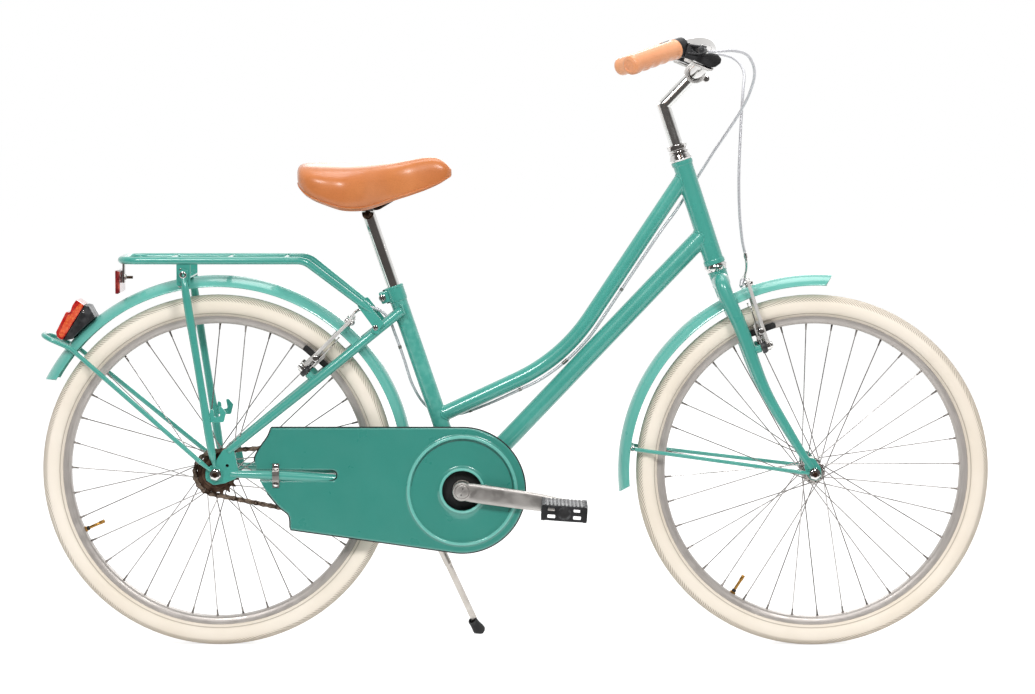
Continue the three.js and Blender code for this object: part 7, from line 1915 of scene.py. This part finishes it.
def floor():
    """A pale plain floor; rays that aren't seen find it grey and softly lit."""
    mesh = bpy.data.meshes.new("floor")
    reach, front = 40.0, -0.9
    corners = [(-reach, front, 0), (reach, front, 0), (reach, reach, 0), (-reach, reach, 0)]
    mesh.from_pydata(corners, [], [(0, 1, 2, 3)])
    obj = bpy.data.objects.new("floor", mesh)
    bpy.context.scene.collection.objects.link(obj)
    material = new_material("pale_floor")
    tree = material.node_tree
    base = tree.nodes["Principled BSDF"]
    base.inputs["Base Color"].default_value = (0.8, 0.8, 0.8, 1)
    base.inputs["Roughness"].default_value = 0.9
    plain = new_node(tree, "ShaderNodeBsdfDiffuse", Color=(0.5, 0.5, 0.5, 1))
    glow = new_node(tree, "ShaderNodeEmission", Strength=0.78)
    both = new_node(tree, "ShaderNodeAddShader")
    pick = new_node(tree, "ShaderNodeMixShader")
    path = new_node(tree, "ShaderNodeLightPath").outputs
    seen = either(tree, either(tree, path["Is Camera Ray"], path["Is Glossy Ray"]),
                  path["Is Transmission Ray"])
    link = tree.links.new
    link(plain.outputs[0], both.inputs[0])
    link(glow.outputs[0], both.inputs[1])
    link(seen, pick.inputs[0])
    link(base.outputs[0], pick.inputs[1])
    link(both.outputs[0], pick.inputs[2])
    link(pick.outputs[0], tree.nodes["Material Output"].inputs["Surface"])
    mesh.materials.append(material)


def studio():
    """A white room for the camera, a grey one for light, and one that darkens to the front for gloss."""
    world = bpy.data.worlds.new("studio")
    bpy.context.scene.world = world
    world.use_nodes = True
    tree = world.node_tree
    link = tree.links.new
    path = new_node(tree, "ShaderNodeLightPath").outputs
    coords = new_node(tree, "ShaderNodeTexCoord")
    split = new_node(tree, "ShaderNodeSeparateXYZ")
    link(coords.outputs["Generated"], split.inputs[0])
    half = new_node(tree, "ShaderNodeMath", operation="MULTIPLY_ADD")
    half.inputs[1].default_value = half.inputs[2].default_value = 0.5
    link(split.outputs["Y"], half.inputs[0])
    ramp = new_node(tree, "ShaderNodeValToRGB")
    link(half.outputs[0], ramp.inputs[0])
    marks = ramp.color_ramp.elements
    marks[0].position, marks[0].color = 0.3, (0.1, 0.092, 0.088, 1)
    marks[1].position, marks[1].color = 0.52, (1, 1, 1, 1)
    light = new_node(tree, "ShaderNodeMix", data_type="RGBA")
    link(path["Is Glossy Ray"], light.inputs[0])
    light.inputs[6].default_value = (0.44, 0.44, 0.44, 1)
    link(ramp.outputs[0], light.inputs[7])
    view = new_node(tree, "ShaderNodeMix", data_type="RGBA")
    link(either(tree, path["Is Camera Ray"], path["Is Transmission Ray"]), view.inputs[0])
    link(light.outputs[2], view.inputs[6])
    view.inputs[7].default_value = (1, 1, 1, 1)
    back = tree.nodes["Background"]
    link(view.outputs[2], back.inputs["Color"])
    back.inputs["Strength"].default_value = 1.0


def lamp(name, spot, size, power, aim_height=0.5):
    light = bpy.data.lights.new(name, "AREA")
    light.shape, light.size, light.energy = "DISK", size, power
    obj = bpy.data.objects.new(name, light)
    obj.location = spot
    obj.rotation_euler = (Vector((0, 0, aim_height)) - Vector(spot)).to_track_quat("-Z", "Y").to_euler()
    bpy.context.scene.collection.objects.link(obj)


def stage():
    floor()
    studio()
    lamp("key", (-1.3, -3.3, 2.9), 1.1, 62)
    lamp("second", (1.1, -3.3, 2.7), 0.9, 56)
    lamp("top", (0.2, 0.3, 4.4), 2.6, 58, 0.4)
    lamp("rim", (0.5, 3.6, 2.2), 2.6, 40)
    camera = bpy.data.cameras.new("camera")
    camera.sensor_width, camera.lens, camera.clip_end = 36.0, 114.555, 200.0
    eye_point = bpy.data.objects.new("camera", camera)
    eye_point.location = (0.01867, -5.48364, 0.94482)
    eye_point.rotation_euler = (math.radians(90 - 4.633), 0, math.radians(0.158))
    bpy.context.scene.collection.objects.link(eye_point)
    bpy.context.scene.camera = eye_point
    bpy.context.scene.view_settings.view_transform = "Standard"


stage()
